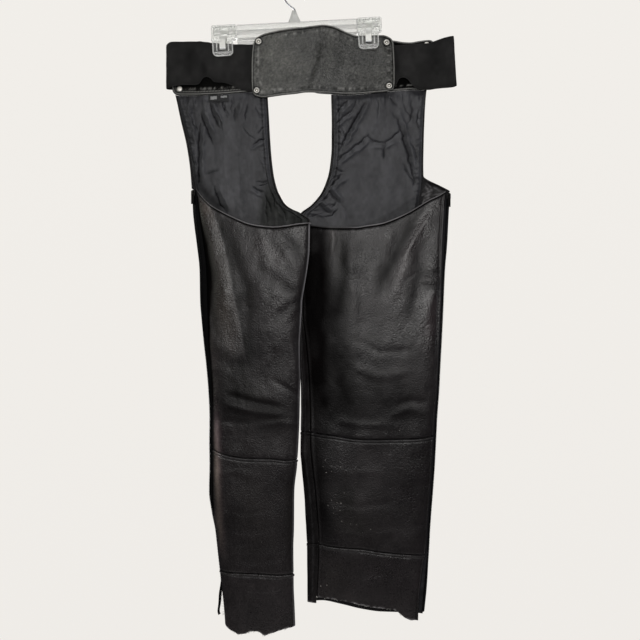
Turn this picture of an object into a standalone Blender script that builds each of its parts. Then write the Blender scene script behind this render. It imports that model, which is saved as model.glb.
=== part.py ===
"""Leather chaps hanging by the belt from a clear clip hanger.

Frame: +Z up, origin at the inside top of the hanger's hook, the seat side of
the chaps towards -Y and their front towards +Y.  The wearer's left leg is the
"L" leg, on -X.  All tables are in millimetres; meshes are made in metres.
"""
import math

import bmesh
import bpy
import numpy as np
from mathutils import Matrix, Vector

for _o in list(bpy.data.objects):
    bpy.data.objects.remove(_o, do_unlink=True)

MM = 0.001
GAP = 0.36           # seam gap between neighbouring pieces
LEATHER = 1.8        # leg leather
BELT_LEATHER = 2.0   # outer layer of the waistbands
FACING = 1.5         # inner layer of the waistbands
LUMBAR = 3.2         # doubled lumbar panel
WEB = 2.0            # wide elastic
NYLON = 1.0          # lining
TAPE = 1.2           # zip tape
CORNER = 60.0        # distance over which a flattened leg tube rounds to its edge
POWER = 2.6          # squareness of that rounding

# ------------------------------------------------------------------ leg tubes
# One row per level.  x_in, x_out: the tube's folded edges; x_seam: the inseam
# line on the seat side; x_zip: the back panels' edge beside the zip;
# y_in, y_out: depth of the two edges; cam, wall: how far the seat side and the
# front side stand off the line between the edges.
LEG_COLS = ("z", "x_in", "x_seam", "x_zip", "x_out", "y_in", "y_out", "cam", "wall")
LEG_L = (
    (-418, 33.0, 33.0, -205.5, -214.8, -22, 1, 4, 7),
    (-452, 33.0, 33.0, -201.5, -213.1, -22, 1, 8, 8),
    (-477, 33.0, 33.0, -198.3, -211.8, -22, 1, 10, 9),
    (-502, 32.8, 32.8, -194.4, -209.2, -22, 1, 12, 10),
    (-545, 32.3, 32.3, -187.7, -203.6, -21, 1, 15, 12),
    (-597, 27.2, 27.2, -181.7, -197.9, -19, 0, 18, 14),
    (-660, 17.6, 17.6, -179.4, -196.6, -16, 0, 20, 15),
    (-705, 15.2, 15.2, -178.2, -193.2, -13, 0, 20, 16),
    (-753, 12.0, 12.0, -177.0, -188.4, -10, 0, 20, 16),
    (-799, 11.6, 11.6, -173.0, -183.2, -9, 0, 19, 16),
    (-850, 10.0, 10.0, -170.2, -178.8, -8, 0, 19, 15),
    (-900, 9.0, 9.0, -169.8, -176.4, -7, 0, 18, 15),
    (-950, 7.0, 7.0, -170.2, -176.8, -6, 0, 17, 14),
    (-1002, 4.1, 4.1, -170.2, -176.2, -6, 0, 17, 14),
    (-1054, -0.4, -0.4, -169.6, -177.4, -5, 0, 17, 14),
    (-1100, -0.6, -0.6, -168.6, -171.0, -5, 0, 17, 13),
    (-1137, -1.0, -1.0, -163.8, -164.4, -5, 0, 16, 13),
    (-1170, -2.2, -2.2, -160.2, -160.7, -5, 0, 16, 13),
    (-1210, -2.0, -2.0, -155.9, -156.4, -5, 0, 16, 13),
    (-1251, -1.6, -1.6, -151.3, -151.8, -4, 0, 15, 12),
    (-1293, 0.2, 0.2, -146.6, -147.1, -4, 0, 15, 12),
    (-1356, 2.6, 2.6, -141.8, -142.3, -4, 0, 14, 11),
)
LEG_R = (
    (-418, 6.8, 9.5, 315.0, 325.2, 8, 1, 4, 7),
    (-452, 6.8, 9.5, 312.9, 323.3, 8, 1, 7, 8),
    (-477, 6.8, 10.0, 311.1, 321.7, 8, 1, 9, 9),
    (-502, 7.0, 11.5, 309.2, 320.5, 8, 1, 11, 10),
    (-545, 8.1, 13.0, 306.8, 318.1, 7, 1, 13, 12),
    (-597, 10.6, 15.3, 304.8, 312.9, 7, 0, 16, 14),
    (-660, 14.1, 18.6, 303.0, 309.8, 6, 0, 18, 15),
    (-705, 16.4, 22.6, 300.9, 307.8, 5, 0, 19, 16),
    (-753, 14.6, 27.1, 298.5, 305.4, 3, 0, 19, 16),
    (-799, 14.4, 30.2, 296.6, 302.8, 3, 0, 18, 16),
    (-850, 16.0, 32.8, 294.2, 300.2, 2, 0, 18, 15),
    (-900, 17.8, 34.8, 290.0, 296.6, 2, 0, 17, 15),
    (-950, 19.9, 36.6, 286.9, 294.2, 1, 0, 17, 14),
    (-1002, 22.8, 39.9, 283.8, 291.6, 1, 0, 17, 14),
    (-1054, 24.9, 43.7, 280.1, 288.0, 1, 0, 16, 14),
    (-1100, 26.6, 47.0, 277.0, 284.2, 0, 0, 16, 13),
    (-1151, 27.9, 50.2, 273.9, 280.8, 0, 0, 16, 13),
    (-1183, 28.2, 50.3, 270.6, 279.6, 0, 0, 16, 13),
    (-1220, 27.9, 48.9, 264.2, 277.9, 0, 0, 15, 13),
    (-1261, 27.8, 46.9, 259.2, 275.1, 0, 0, 15, 12),
    (-1293, 27.9, 45.7, 257.2, 271.9, 0, 0, 14, 12),
    (-1340, 28.0, 45.7, 256.2, 267.0, 0, 0, 13, 11),
)
# Thigh part of the front panels, an open sheet: its edge on the seat opening,
# its outer edge, their depths and the sheet's bulge towards the front.
THIGH_COLS = ("z", "x_edge", "x_out", "y_in", "y_out", "wall")
THIGH_L = (
    (-215, -56.0, -253.0, 3.0, 3.0, 0.0),
    (-236, -54.8, -248.6, 3.0, 3.0, 0.0),
    (-286, -52.3, -237.4, 2.0, 2.5, 2.0),
    (-338, -49.5, -224.9, -1.0, 2.0, 4.5),
    (-390, -44.4, -217.2, -5.0, 1.0, 6.5),
    (-427, -36.6, -214.4, -9.0, 1.0, 7.2),
    (-452, -25.2, -213.1, -13.0, 1.0, 8.0),
    (-463, -17.6, -212.5, -15.0, 1.0, 8.4),
    (-473, -3.6, -212.0, -18.0, 1.0, 8.8),
    (-479, 10.0, -211.7, -20.0, 1.0, 9.1),
    (-487, 22.0, -211.2, -21.5, 1.0, 9.4),
    (-495, 32.6, -210.4, -22.0, 1.0, 9.8),
    (-502, 32.8, -209.2, -22.0, 1.0, 10.0),
)
THIGH_R = (
    (-215, 76.0, 277.0, 2.5, 3.0, 0.0),
    (-236, 76.2, 274.6, 2.5, 3.0, 0.0),
    (-286, 77.4, 271.2, 3.0, 2.5, 2.0),
    (-338, 77.2, 269.2, 3.5, 2.0, 4.0),
    (-380, 73.6, 268.4, 4.5, 1.5, 5.5),
    (-402, 69.4, 268.8, 5.5, 1.0, 6.2),
    (-411, 66.4, 281.0, 5.7, 1.0, 6.5),
    (-419, 63.5, 298.0, 6.0, 1.0, 6.8),
    (-427, 60.0, 314.0, 6.3, 1.0, 7.0),
    (-434, 56.4, 324.4, 6.5, 1.0, 7.3),
    (-452, 43.1, 323.3, 7.0, 1.0, 8.0),
    (-463, 32.0, 322.6, 7.3, 1.0, 8.4),
    (-477, 13.5, 321.7, 7.8, 1.0, 9.0),
    (-486, 8.0, 321.2, 8.0, 1.0, 9.5),
    (-502, 7.0, 320.5, 8.0, 1.0, 10.0),
)

# Edges that run across a leg: x along the edge, z of the edge there.
EDGE_COLS = ("x", "z")
BACK_TOP_L = ((33, -501), (14, -503), (-14, -507), (-42, -509), (-69, -507), (-97, -502),
              (-123, -492), (-152, -478), (-180, -461), (-200, -438), (-206, -428))
BACK_TOP_R = ((7, -503), (34, -504), (58, -507), (92, -508), (126, -508), (148, -505), (182, -500),
              (211, -490), (238, -478), (260, -465), (283, -451), (305, -440), (315, -433))
KNEE_L = ((7, -989), (-13, -990), (-40, -987), (-95, -986), (-123, -983), (-145, -978), (-169, -968))
KNEE_R = ((36, -933), (54, -937), (86, -941), (117, -946), (149, -948), (233, -947), (265, -945), (287, -941))
CALF_L = ((-2, -1226), (-27, -1227), (-78, -1224), (-130, -1223), (-152, -1219))
CALF_R = ((50, -1164), (75, -1169), (107, -1172), (139, -1174), (170, -1179), (233, -1185), (270, -1187))
HEM_BACK_L = ((3, -1335), (-10, -1337), (-27, -1341), (-44, -1347), (-58, -1351), (-72, -1344), (-85, -1343),
              (-97, -1348), (-111, -1350), (-123, -1344), (-135, -1338), (-143, -1331))
HEM_BACK_R = ((46, -1274), (75, -1277), (100, -1281), (139, -1290), (181, -1297), (205, -1299),
              (213, -1303), (222, -1311), (232, -1318), (245, -1322), (256, -1322))
HEM_FRONT_L = ((3, -1331), (-27, -1337), (-58, -1344), (-85, -1338), (-111, -1343), (-143, -1326))
HEM_FRONT_R = ((29, -1287), (54, -1287), (97, -1295), (139, -1305), (181, -1311), (213, -1312), (268, -1313))
LINING_BELOW = 50.0  # the lining ends this far below the back panels' top edge

# ------------------------------------------------------------------- the belt
# Waistbands: x, top and bottom edge, mid depth of outer leather and of facing.
BAND_COLS = ("x", "top", "bottom", "outer", "facing")
BAND_L = (
    (-255, -150, -218, 3.05, -1.30), (-253, -139, -226, 3.05, -1.30), (-249, -134, -231, 3.05, -1.30),
    (-238, -132, -234, 3.05, -1.30), (-203, -132, -234, 3.05, -1.30), (-180, -132, -233, 1.70, -0.35),
    (-143, -132, -231, 1.70, -0.35), (-109, -132, -228, 1.90, -0.15), (-60, -132, -224, 3.00, 0.95),
    (-26, -132, -225, 3.90, 1.85), (-20, -137, -220, 4.00, 1.95),
)
BAND_R = (
    (38, -138, -222, 4.00, 1.95), (44, -131, -228, 3.90, 1.85), (76, -130, -231, 3.00, 0.95),
    (104, -129, -233, 0.90, -1.15), (126, -127, -232.7, -0.40, -2.45), (178, -124, -227, -0.40, -2.45),
    (203, -120, -225, 0.90, -1.15), (226, -123, -223, 1.90, -0.60), (240, -124, -222, 3.05, -1.30),
    (260, -121, -222, 3.05, -1.30), (280, -119, -220, 3.05, -1.30), (288, -122, -216, 3.05, -1.30),
    (290, -130, -208, 3.05, -1.30),
)
# Elastics, from their end behind the lumbar panel out to the side, round the
# fold and back between the two layers of the waistband's side end.
# lean: how far the lower edge lies further along +X than the upper edge.
WEB_COLS = ("x", "y", "top", "bottom", "lean")
WEB_L = (
    (-58, -5.2, -134, -226, 0), (-88, -5.2, -133, -226.5, 0), (-98, -4.5, -133, -225.5, 0), (-110, -3.4, -132, -222.5, 0),
    (-124, -2.5, -132, -216.5, 0), (-136, -2.4, -131, -211.5, 0), (-148, -2.4, -131, -208, 0), (-160, -2.4, -130, -207.5, 0),
    (-168, -2.4, -129, -206, 0), (-173, -2.7, -129, -200.5, 0), (-178, -3.3, -128, -197.5, 0), (-183.5, -4.3, -128, -196.5, 0),
    (-190, -6.0, -128, -200.5, 0), (-196, -7.4, -127, -210, 0), (-202, -8.6, -127, -214, 0), (-213, -10.4, -126, -215, 0),
    (-232, -12.4, -127, -215.5, 0), (-250, -12.6, -127, -218.5, 0), (-260, -10.4, -128, -221, 0), (-264.6, -6.6, -131, -222, 0),
    (-264.0, -2.6, -131, -222, 0), (-260.8, -0.1, -131, -222, 0), (-256.5, 0.75, -131, -222, 0),
    (-240, 0.75, -134, -222, 0), (-205, 0.75, -134, -222, 0),
)
WEB_R = (
    (189.5, -4.8, -132, -218, 0), (200, -5.2, -132, -219, 0), (211, -6.4, -132, -213, 0), (217, -7.2, -132, -202, 0),
    (225, -8.4, -131, -199, 0), (234, -9.7, -131, -203, 0), (241, -10.6, -131, -212, 0), (250, -11.7, -130, -221, 0),
    (262, -13.0, -130, -225, 0), (278, -14.2, -129, -226, 0), (292, -14.8, -124.5, -224, 1), (308, -14.4, -119, -222, 3),
    (322, -12.2, -115, -219, 5), (331, -8.0, -112.5, -216, 6), (333, -2.4, -112.5, -215, 6), (328.5, 2.2, -114, -216, 5),
    (318, 4.0, -117, -217, 4), (306, 2.8, -121, -218, 2), (297, 1.2, -124.5, -218, 1), (290.5, 0.75, -127, -218, 0),
    (270, 0.75, -130, -218, 0), (242, 0.75, -131, -218, 0),
)
# Lumbar panel: x, top and bottom edge, mid depth.
LUMBAR_COLS = ("x", "top", "bottom", "y")
LUMBAR_PANEL = (
    (-89, -172, -206, -8.1), (-88, -150, -222, -8.1), (-86.5, -134, -230, -8.1), (-84, -125, -234, -8.1),
    (-79, -117, -238, -8.2), (-65, -109, -241, -8.7), (-45, -104, -239, -9.6), (-23, -100, -236, -10.4),
    (0, -97, -234, -11.1), (22, -95, -231, -11.7), (45, -92, -231, -12.0), (63, -90.5, -232, -11.6),
    (83, -94, -233, -9.8), (98, -100, -234, -8.0), (112, -106, -234, -6.4), (124, -110, -234, -5.4),
    (131, -111, -234, -5.1), (153, -111, -232, -5.1), (180.5, -110, -230, -5.1), (189, -112, -229, -7.9),
    (197, -116, -227, -8.9), (203, -122, -225, -9.4), (206, -135, -221, -9.7), (208, -178, -211, -9.9),
)
# Snaps and rivets: name, x, z, the surface they sit on, and which way they face.
STUD_COLS = ("name", "x", "z", "on", "face")
STUDS = (
    ("snap_back_TL", -74, -125, "lumbar", -1), ("snap_back_BL", -78, -226, "lumbar", -1),
    ("snap_back_TR", 191, -127, "lumbar", -1), ("snap_back_BR", 196, -217, "lumbar", -1),
    ("rivet_in_L_low", -239, -221, "facing_L", -1), ("rivet_in_L_high", -239, -142, "facing_L", -1),
    ("rivet_in_R_low", 275, -211, "facing_R", -1), ("rivet_in_R_high", 275, -129.5, "facing_R", -1),
    ("rivet_out_L_low", -239, -221, "outer_L", 1), ("rivet_out_L_high", -239, -142, "outer_L", 1),
    ("rivet_out_R_low", 275, -211, "outer_R", 1), ("rivet_out_R_high", 275, -129.5, "outer_R", 1),
)
STUD_PROFILE = ((0.0, 0.0), (6.2, 0.0), (6.2, 0.7), (5.5, 1.7), (4.3, 2.2), (3.2, 2.0), (2.2, 1.1), (0.0, 0.9))
STUD_SIDES = 14

# Front closure: strap through a frame buckle, on the outside of the waistbands.
STRAP_Z, STRAP_WIDTH, STRAP = -181.0, 38.0, 2.4
STRAP_PATH = ((92, 4.9), (76, 5.7), (56, 6.2), (38, 6.5), (30, 6.5), (24, 7.2), (16, 9.2), (8, 11.4),
              (0, 13.4), (-6, 14.1), (-14, 14.1), (-48, 14.1))
BUCKLE_X, BUCKLE_Y, BUCKLE_R = (-10.0, 32.0), (9.2, 9.7), 1.6
BUCKLE_HALF_HEIGHT = 22.6
TAB, TAB_WIDTH, TAB_R = 1.3, 34.0, 2.55

# -------------------------------------------------------------------- the zips
ZIP_TOP = {"L": -430.6, "R": -436.6}
ZIP_END = {"L": -1250.0, "R": -1306.0}
SLIDER_Z = {"L": -438.0, "R": -444.0}
CHAIN_HALF, CHAIN_RISE = 2.2, 1.3
ZIP_TAIL = ((-154.0, -1255), (-155.6, -1283), (-158.0, -1304), (-157.4, -1314))  # x, z of its middle

# ------------------------------------------------------------------ the hanger
WIRE = 1.6
HOOK_R = 24.0
HOOK_STEM = ((0.5, -62.6), (0.6, -58.4), (0.1, -55.4), (-3.6, -51.6), (-9.8, -47.4), (-16.2, -40.9))  # x, z
BAR_ORIGIN = (0.0, 0.0, -81.3)
BAR_TILT = math.radians(3.0)
BAR_U = (-120.8, 127.4)        # the bar's ends along its own length
# Bar profile: depth below its top edge, half thickness.
BAR_PROFILE = ((0.0, 1.8), (1.2, 3.0), (9.6, 3.0), (11.0, 1.3), (20.8, 1.3), (22.2, 3.0), (28.4, 3.0), (29.4, 1.3),
               (30.6, 1.3), (31.6, 3.0), (34.4, 3.0), (35.6, 1.3), (41.0, 1.3), (41.8, 2.6), (43.0, 2.0))
TONGUE = (-2.0, -19.0, 2.6)    # top, bottom, half thickness of the bar's ends inside the clips
NECK = ((-1.5, 14.0, 4.6), (8.0, 9.5, 4.4), (24.0, 3.5, 3.5))  # height, half width, half thickness
JAW = 3.0
# Clips: middle along the bar, and for the seat-side and front-side jaws the
# inner face's depth at levels below the bar's top edge.
CLIPS = {
    "L": {"u": -147.6, "seat": ((1, -3.3), (-40, -3.7), (-64.5, -3.8)), "front": ((1, 3.05), (-40, 3.05), (-64.5, 3.05))},
    "R": {"u": 154.2, "seat": ((1, -3.3), (-20, -5.2), (-36, -7.1), (-64.5, -7.1)), "front": ((1, 3.05), (-20, 3.05), (-40, 0.95), (-64.5, 0.95))},
}
JAW_HALF = (26.0, 22.0)        # half width of the grip and of the mouth
JAW_STEP, JAW_END, JAW_ROUND = -32.0, -64.5, 10.0
SPRING = (6.0, 0.8, -23.2, -51.5)  # half width, thickness, bridge level, lower end of the legs


# =============================================================== small helpers
def smooth01(t):
    t = np.clip(t, 0.0, 1.0)
    return t * t * (3 - 2 * t)


class Track:
    """Monotone cubic curves through a table's columns, over its first column."""

    def __init__(self, rows, cols, use=None):
        a = np.array([[r[cols.index(c)] for c in (use or cols)] for r in rows], float)
        self.cols = list(use or cols)[1:]
        a = a[np.argsort(a[:, 0])]
        self.t, self.v = a[:, 0], a[:, 1:]
        h = np.diff(self.t)[:, None]
        d = np.diff(self.v, axis=0) / h
        m = np.zeros_like(self.v)
        m[0], m[-1] = d[0], d[-1]
        for i in range(1, len(self.t) - 1):
            same = d[i - 1] * d[i] > 0
            w1, w2 = 2 * h[i] + h[i - 1], h[i] + 2 * h[i - 1]
            with np.errstate(divide="ignore", invalid="ignore"):
                hm = (w1 + w2) / (w1 / d[i - 1] + w2 / d[i])
            m[i] = np.where(same, hm, 0.0)
        self.m = m

    def at(self, t):
        t = float(min(max(t, self.t[0]), self.t[-1]))
        i = int(min(max(np.searchsorted(self.t, t) - 1, 0), len(self.t) - 2))
        h = self.t[i + 1] - self.t[i]
        q = (t - self.t[i]) / h
        a = (1 + 2 * q) * (1 - q) ** 2 * self.v[i] + q * (1 - q) ** 2 * h * self.m[i]
        b = q * q * (3 - 2 * q) * self.v[i + 1] + q * q * (q - 1) * h * self.m[i + 1]
        return dict(zip(self.cols, a + b))


def material(name, color, roughness, metallic=0.0, alpha=1.0):
    mat = bpy.data.materials.get(name)
    if mat is None:
        mat = bpy.data.materials.new(name)
        mat.use_nodes = True
        b = mat.node_tree.nodes["Principled BSDF"]
        b.inputs["Base Color"].default_value = (*color, 1.0)
        b.inputs["Roughness"].default_value = roughness
        b.inputs["Metallic"].default_value = metallic
        if alpha < 1:
            b.inputs["Transmission Weight"].default_value = 1.0 - alpha
    return mat


LEG_LEATHER = ("leg_leather", (0.022, 0.020, 0.019), 0.42)
BELT = ("belt_leather", (0.030, 0.030, 0.028), 0.45)
NYLON_MAT = ("lining_nylon", (0.045, 0.045, 0.052), 0.5)
ELASTIC = ("elastic_web", (0.015, 0.015, 0.016), 0.85)
STEEL = ("snap_nickel", (0.62, 0.60, 0.56), 0.28, 1.0)
HOOK_STEEL = ("hook_steel", (0.55, 0.55, 0.56), 0.25, 1.0)
CLEAR = ("hanger_clear", (0.93, 0.93, 0.92), 0.08, 0.0, 0.3)
ZIP_BLACK = ("zip_black", (0.012, 0.012, 0.013), 0.7)
ZIP_METAL = ("zip_metal", (0.12, 0.12, 0.12), 0.35, 1.0)
LABEL_MAT = ("label_cloth", (0.02, 0.02, 0.02), 0.7)


def add_object(name, verts, faces, mat, smooth=True, angle=40):
    """One closed body from points in millimetres; its faces are turned outwards."""
    mesh = bpy.data.meshes.new(name)
    mesh.from_pydata([Vector(v) * MM for v in verts], [], faces)
    bm = bmesh.new()
    bm.from_mesh(mesh)
    bmesh.ops.recalc_face_normals(bm, faces=bm.faces)
    if bm.calc_volume(signed=True) < 0:
        bmesh.ops.reverse_faces(bm, faces=bm.faces)
    bmesh.ops.triangulate(bm, faces=bm.faces, quad_method="SHORT_EDGE")
    bm.to_mesh(mesh)
    bm.free()
    if smooth:
        mesh.shade_smooth()
        mesh.set_sharp_from_angle(angle=math.radians(angle))
    obj = bpy.data.objects.new(name, mesh)
    bpy.context.scene.collection.objects.link(obj)
    mesh.materials.append(material(*mat))
    return obj


def sheet(name, outer, inner, mat, **kw):
    """A closed wall between two grids of points of the same size."""
    outer, inner = np.asarray(outer, float), np.asarray(inner, float)
    n, m = outer.shape[:2]
    verts = [tuple(p) for p in outer.reshape(-1, 3)] + [tuple(p) for p in inner.reshape(-1, 3)]
    o = lambda i, j: i * m + j
    k = n * m
    faces = []
    for i in range(n - 1):
        for j in range(m - 1):
            a, b, c, d = o(i, j), o(i, j + 1), o(i + 1, j + 1), o(i + 1, j)
            faces += [(a, b, c, d), (d + k, c + k, b + k, a + k)]
    for i in range(n - 1):
        faces += [(o(i, 0), o(i + 1, 0), o(i + 1, 0) + k, o(i, 0) + k),
                  (o(i + 1, m - 1), o(i, m - 1), o(i, m - 1) + k, o(i + 1, m - 1) + k)]
    for j in range(m - 1):
        faces += [(o(0, j + 1), o(0, j), o(0, j) + k, o(0, j + 1) + k),
                  (o(n - 1, j), o(n - 1, j + 1), o(n - 1, j + 1) + k, o(n - 1, j) + k)]
    return add_object(name, verts, faces, mat, **kw)


# ================================================================ leg sections
class Section:
    """A leg tube cut level: the seat side from inner to outer edge, then back
    along the front side.  s is the distance along that loop."""

    def __init__(self, x_in, x_out, y_in, y_out, cam, wall, shift=None):
        side = 1.0 if x_out > x_in else -1.0
        w = abs(x_out - x_in)
        near = CORNER * (np.arange(13) / 12.0) ** POWER
        d = np.concatenate([near, np.linspace(CORNER, w - CORNER, 9)[1:-1], (w - near)[::-1]])
        line = y_in + (y_out - y_in) * d / w
        round_ = lambda q: (1 - (1 - np.clip(q, 0, 1)) ** POWER) ** (1 / POWER)
        rise = round_(d / CORNER) * round_((w - d) / CORNER)
        x = x_in + side * d
        extra = np.array([shift(v) for v in x]) if shift else 0.0
        seat = np.stack([x, line - cam * rise + extra], 1)
        front = np.stack([x, line + wall * rise + extra], 1)
        self.loop = np.concatenate([seat, front[::-1][1:]])
        t = np.gradient(self.loop, axis=0)
        t[0] = t[-1] = (0.0, -1.0)
        k = len(seat) - 1
        t[k] = (0.0, 1.0)
        t /= np.maximum(np.linalg.norm(t, axis=1), 1e-9)[:, None]
        self.n = side * np.stack([t[:, 1], -t[:, 0]], 1)
        self.s = np.concatenate([[0], np.cumsum(np.linalg.norm(np.diff(self.loop, axis=0), axis=1))])
        self.k, self.side = k, side
        self.tip, self.total = self.s[k], self.s[-1]

    def at(self, s):
        s = s % self.total if s < 0 or s > self.total else s
        p = [np.interp(s, self.s, self.loop[:, c]) for c in (0, 1)]
        n = np.array([np.interp(s, self.s, self.n[:, c]) for c in (0, 1)])
        n /= max(np.linalg.norm(n), 1e-9)
        return np.array(p), n

    def seat_s(self, x):
        xs = self.loop[: self.k + 1, 0] * self.side
        return float(np.interp(x * self.side, xs, self.s[: self.k + 1]))

    def front_s(self, x):
        xs = self.loop[self.k:, 0][::-1] * self.side
        return float(np.interp(x * self.side, xs, self.s[self.k:][::-1]))


TUBE = {"L": Track(LEG_L, LEG_COLS), "R": Track(LEG_R, LEG_COLS)}
THIGH = {"L": Track(THIGH_L, THIGH_COLS), "R": Track(THIGH_R, THIGH_COLS)}
BAND = {"L": Track(BAND_L, BAND_COLS), "R": Track(BAND_R, BAND_COLS)}
SIGN = {"L": -1.0, "R": 1.0}
CROTCH = -502.0
HALF = LEATHER / 2


def edge_track(rows):
    """z over the share of the way from an edge's first x to its last."""
    x0, x1 = rows[0][0], rows[-1][0]
    return Track([((x - x0) / (x1 - x0), z) for x, z in rows], ("f", "z"))


def tube_section(leg, z):
    v = TUBE[leg].at(z)
    g = SIGN[leg]
    return Section(v["x_in"] + g * HALF, v["x_out"] - g * HALF, v["y_in"], v["y_out"], v["cam"], v["wall"]), v


def front_section(leg, z):
    """Section for the front panel: the open thigh sheet above the crotch, the tube below."""
    if z <= CROTCH:
        return tube_section(leg, z)
    v = TUBE[leg].at(z)
    t = THIGH[leg].at(z)
    g = SIGN[leg]
    fade = float(smooth01((z + 300) / 64))
    band, line0 = BAND[leg], (t["x_edge"], t["x_out"], t["y_in"], t["y_out"])

    def shift(x):
        q = (x - line0[0]) / (line0[1] - line0[0])
        return fade * (band.at(x)["outer"] - (line0[2] + (line0[3] - line0[2]) * q))

    sec = Section(t["x_edge"] + g * HALF, t["x_out"] - g * HALF, t["y_in"], t["y_out"],
                  t["wall"] * 0.6, t["wall"], shift if fade > 0 else None)
    return sec, dict(v, x_in=t["x_edge"], x_seam=t["x_edge"], x_out=t["x_out"])


def band_width(leg, z, x_zip, x_out):
    """How much of the zip's width lies on the seat side of the leg's edge."""
    if abs(x_zip - x_out) < 1.2:
        return 0.2
    sec, _ = tube_section(leg, z)
    return max(0.2, sec.tip - sec.seat_s(x_zip))


ZIP_BAND = {
    leg: Track([(r[0], band_width(leg, r[0], r[LEG_COLS.index("x_zip")], r[LEG_COLS.index("x_out")])) for r in rows], ("z", "w"))
    for leg, rows in (("L", LEG_L), ("R", LEG_R))
}


def zip_places(leg, z, sec):
    """Where the back panels end, the chain's middle and where the front panel starts."""
    band = ZIP_BAND[leg].at(z)["w"]
    s_chain = sec.tip - band / 2 + max(0.0, 3.6 - band / 2)
    return sec.tip - band, s_chain, max(sec.tip + 5.0, s_chain + 5.0)


ENDS = (0.0, 1.2, 4.0, 10.0, 22.0, 42.0)


def spread(s0, s1, ends=ENDS, middle=2):
    a = [s0 + e for e in ends]
    b = [s1 - e for e in ends][::-1]
    return a + list(np.linspace(a[-1], b[0], middle + 2)[1:-1]) + b


def back_columns(leg, z, sec, v):
    start = GAP / 2 if leg == "L" else sec.seat_s(v["x_seam"]) + GAP / 2
    return spread(start, zip_places(leg, z, sec)[0] - GAP / 2 - 0.3)


def back_piece(name, leg, top, bottom, levels, upper=1, lower=(), cut_top=0.0, cut_bottom=0.0):
    """A piece of the seat side of a leg between two edges that run across it.
    Between them its rows are level, with some more above the first level and,
    at the given shares of the way to the bottom edge, below the last."""
    top, bottom = edge_track(top), edge_track(bottom)
    ref_sec, ref_v = tube_section(leg, -700.0)
    cols = back_columns(leg, -700.0, ref_sec, ref_v)
    xs = [ref_sec.at(s)[0][0] for s in cols]
    share = [(x - xs[0]) / (xs[-1] - xs[0]) for x in xs]
    outer, inner = [], []
    for i in range(upper + len(levels) + len(lower) + 1):
        ro, ri = [], []
        for j, f in enumerate(share):
            z0, z1 = top.at(f)["z"] - cut_top, bottom.at(f)["z"] + cut_bottom
            if i < upper:
                z = z0 + (levels[0] - z0) * i / upper
            else:
                z = (tuple(levels) + tuple(levels[-1] + (z1 - levels[-1]) * w for w in lower) + (z1,))[i - upper]
            sec, v = tube_section(leg, z)
            s = back_columns(leg, z, sec, v)[j]
            p, n = sec.at(s)
            ro.append((*(p + n * HALF), z))
            ri.append((*(p - n * HALF), z))
        outer.append(ro)
        inner.append(ri)
    return sheet(name, outer, inner, LEG_LEATHER)


BELOW = (-545, -597, -660, -705, -753, -799, -850, -900, -950, -1002, -1054, -1100, -1137, -1170, -1210, -1251, -1293)
HIP_Z = -522.0       # level seam of the front panels just below the crotch
FRONT_Z = {
    "L": (-258, -300, -338, -372, -402, -423, -428.6, -430.2, -452, -463, -473, -479, -487, -495, -503) + BELOW,
    "R": (-258, -300, -338, -372, -402, -411, -419, -427, -434.6, -436.2, -452, -463, -472, -478, -486, -503) + BELOW[:-1],
}


def levels_between(high, low):
    return tuple(z for z in BELOW if low < z < high)


def front_columns(leg, z, sec, v):
    """From the zip round the front of the leg to the inseam."""
    zip_start = ZIP_TOP[leg]
    s_front = sec.tip + GAP / 2 if z > zip_start + 1 else zip_places(leg, z, sec)[2] + GAP / 2 + 0.2
    turn = sec.seat_s(v["x_seam"]) if z <= CROTCH else 4.5
    cols = spread(s_front, sec.total)
    if leg == "R":
        cols = cols + [sec.total + turn * f for f in (0.15, 0.45)] + [sec.total + turn - GAP / 2]
    else:
        cols[-1] -= GAP / 2
    return cols


def front_piece(name, leg, top, bottom, high, low):
    """A piece of the front panel.  Its upper and lower edges are the belt's lower
    edge (None), a level, or a table of an edge across the leg; high and low limit
    the level rows between them."""
    outer, inner = [], []
    for level, move in ((top, -GAP / 2),) + tuple((z, 0.0) for z in FRONT_Z[leg] if low < z < high) + ((bottom, GAP / 2),):
        ro, ri = [], []
        edge = edge_track(level) if isinstance(level, tuple) else None
        ref = -236.0 if level is None else (level + move if edge is None else level[0][1] * 0.5 + level[-1][1] * 0.5)
        sec, v = front_section(leg, ref)
        cols = front_columns(leg, ref, sec, v)
        x0, x1 = (level[0][0], level[-1][0]) if edge else (0.0, 1.0)
        for j, s in enumerate(cols):
            p, n = sec.at(s)
            z = ref
            if level is None:
                z = BAND[leg].at(p[0])["bottom"] - GAP - 0.2
            elif edge:
                z = edge.at((p[0] - x0) / (x1 - x0))["z"] + (0.0 if level in (HEM_FRONT_L, HEM_FRONT_R) else move)
                sec2, v2 = front_section(leg, z)
                p, n = sec2.at(front_columns(leg, z, sec2, v2)[j])
            ro.append((*(p + n * HALF), z))
            ri.append((*(p - n * HALF), z))
        outer.append(ro)
        inner.append(ri)
    return sheet(name, outer, inner, LEG_LEATHER)


LINING_OUT = {  # z, the lining's outer edge
    "L": ((-220, -246), (-236, -243.5), (-286, -232.5), (-338, -220.0), (-390, -212.0), (-425, -206.0), (-480, -200.0), (-600, -190.0)),
    "R": ((-220, 272), (-236, 270.5), (-286, 267.0), (-338, 265.5), (-394, 265.0), (-410, 264.5), (-465, 258.0), (-560, 252.0)),
}
LINING_INSET = 4.0
LINING_BACK = (LEATHER / 2 + GAP + 0.1 + NYLON / 2, 1.3)   # at the belt, and more below it


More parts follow.
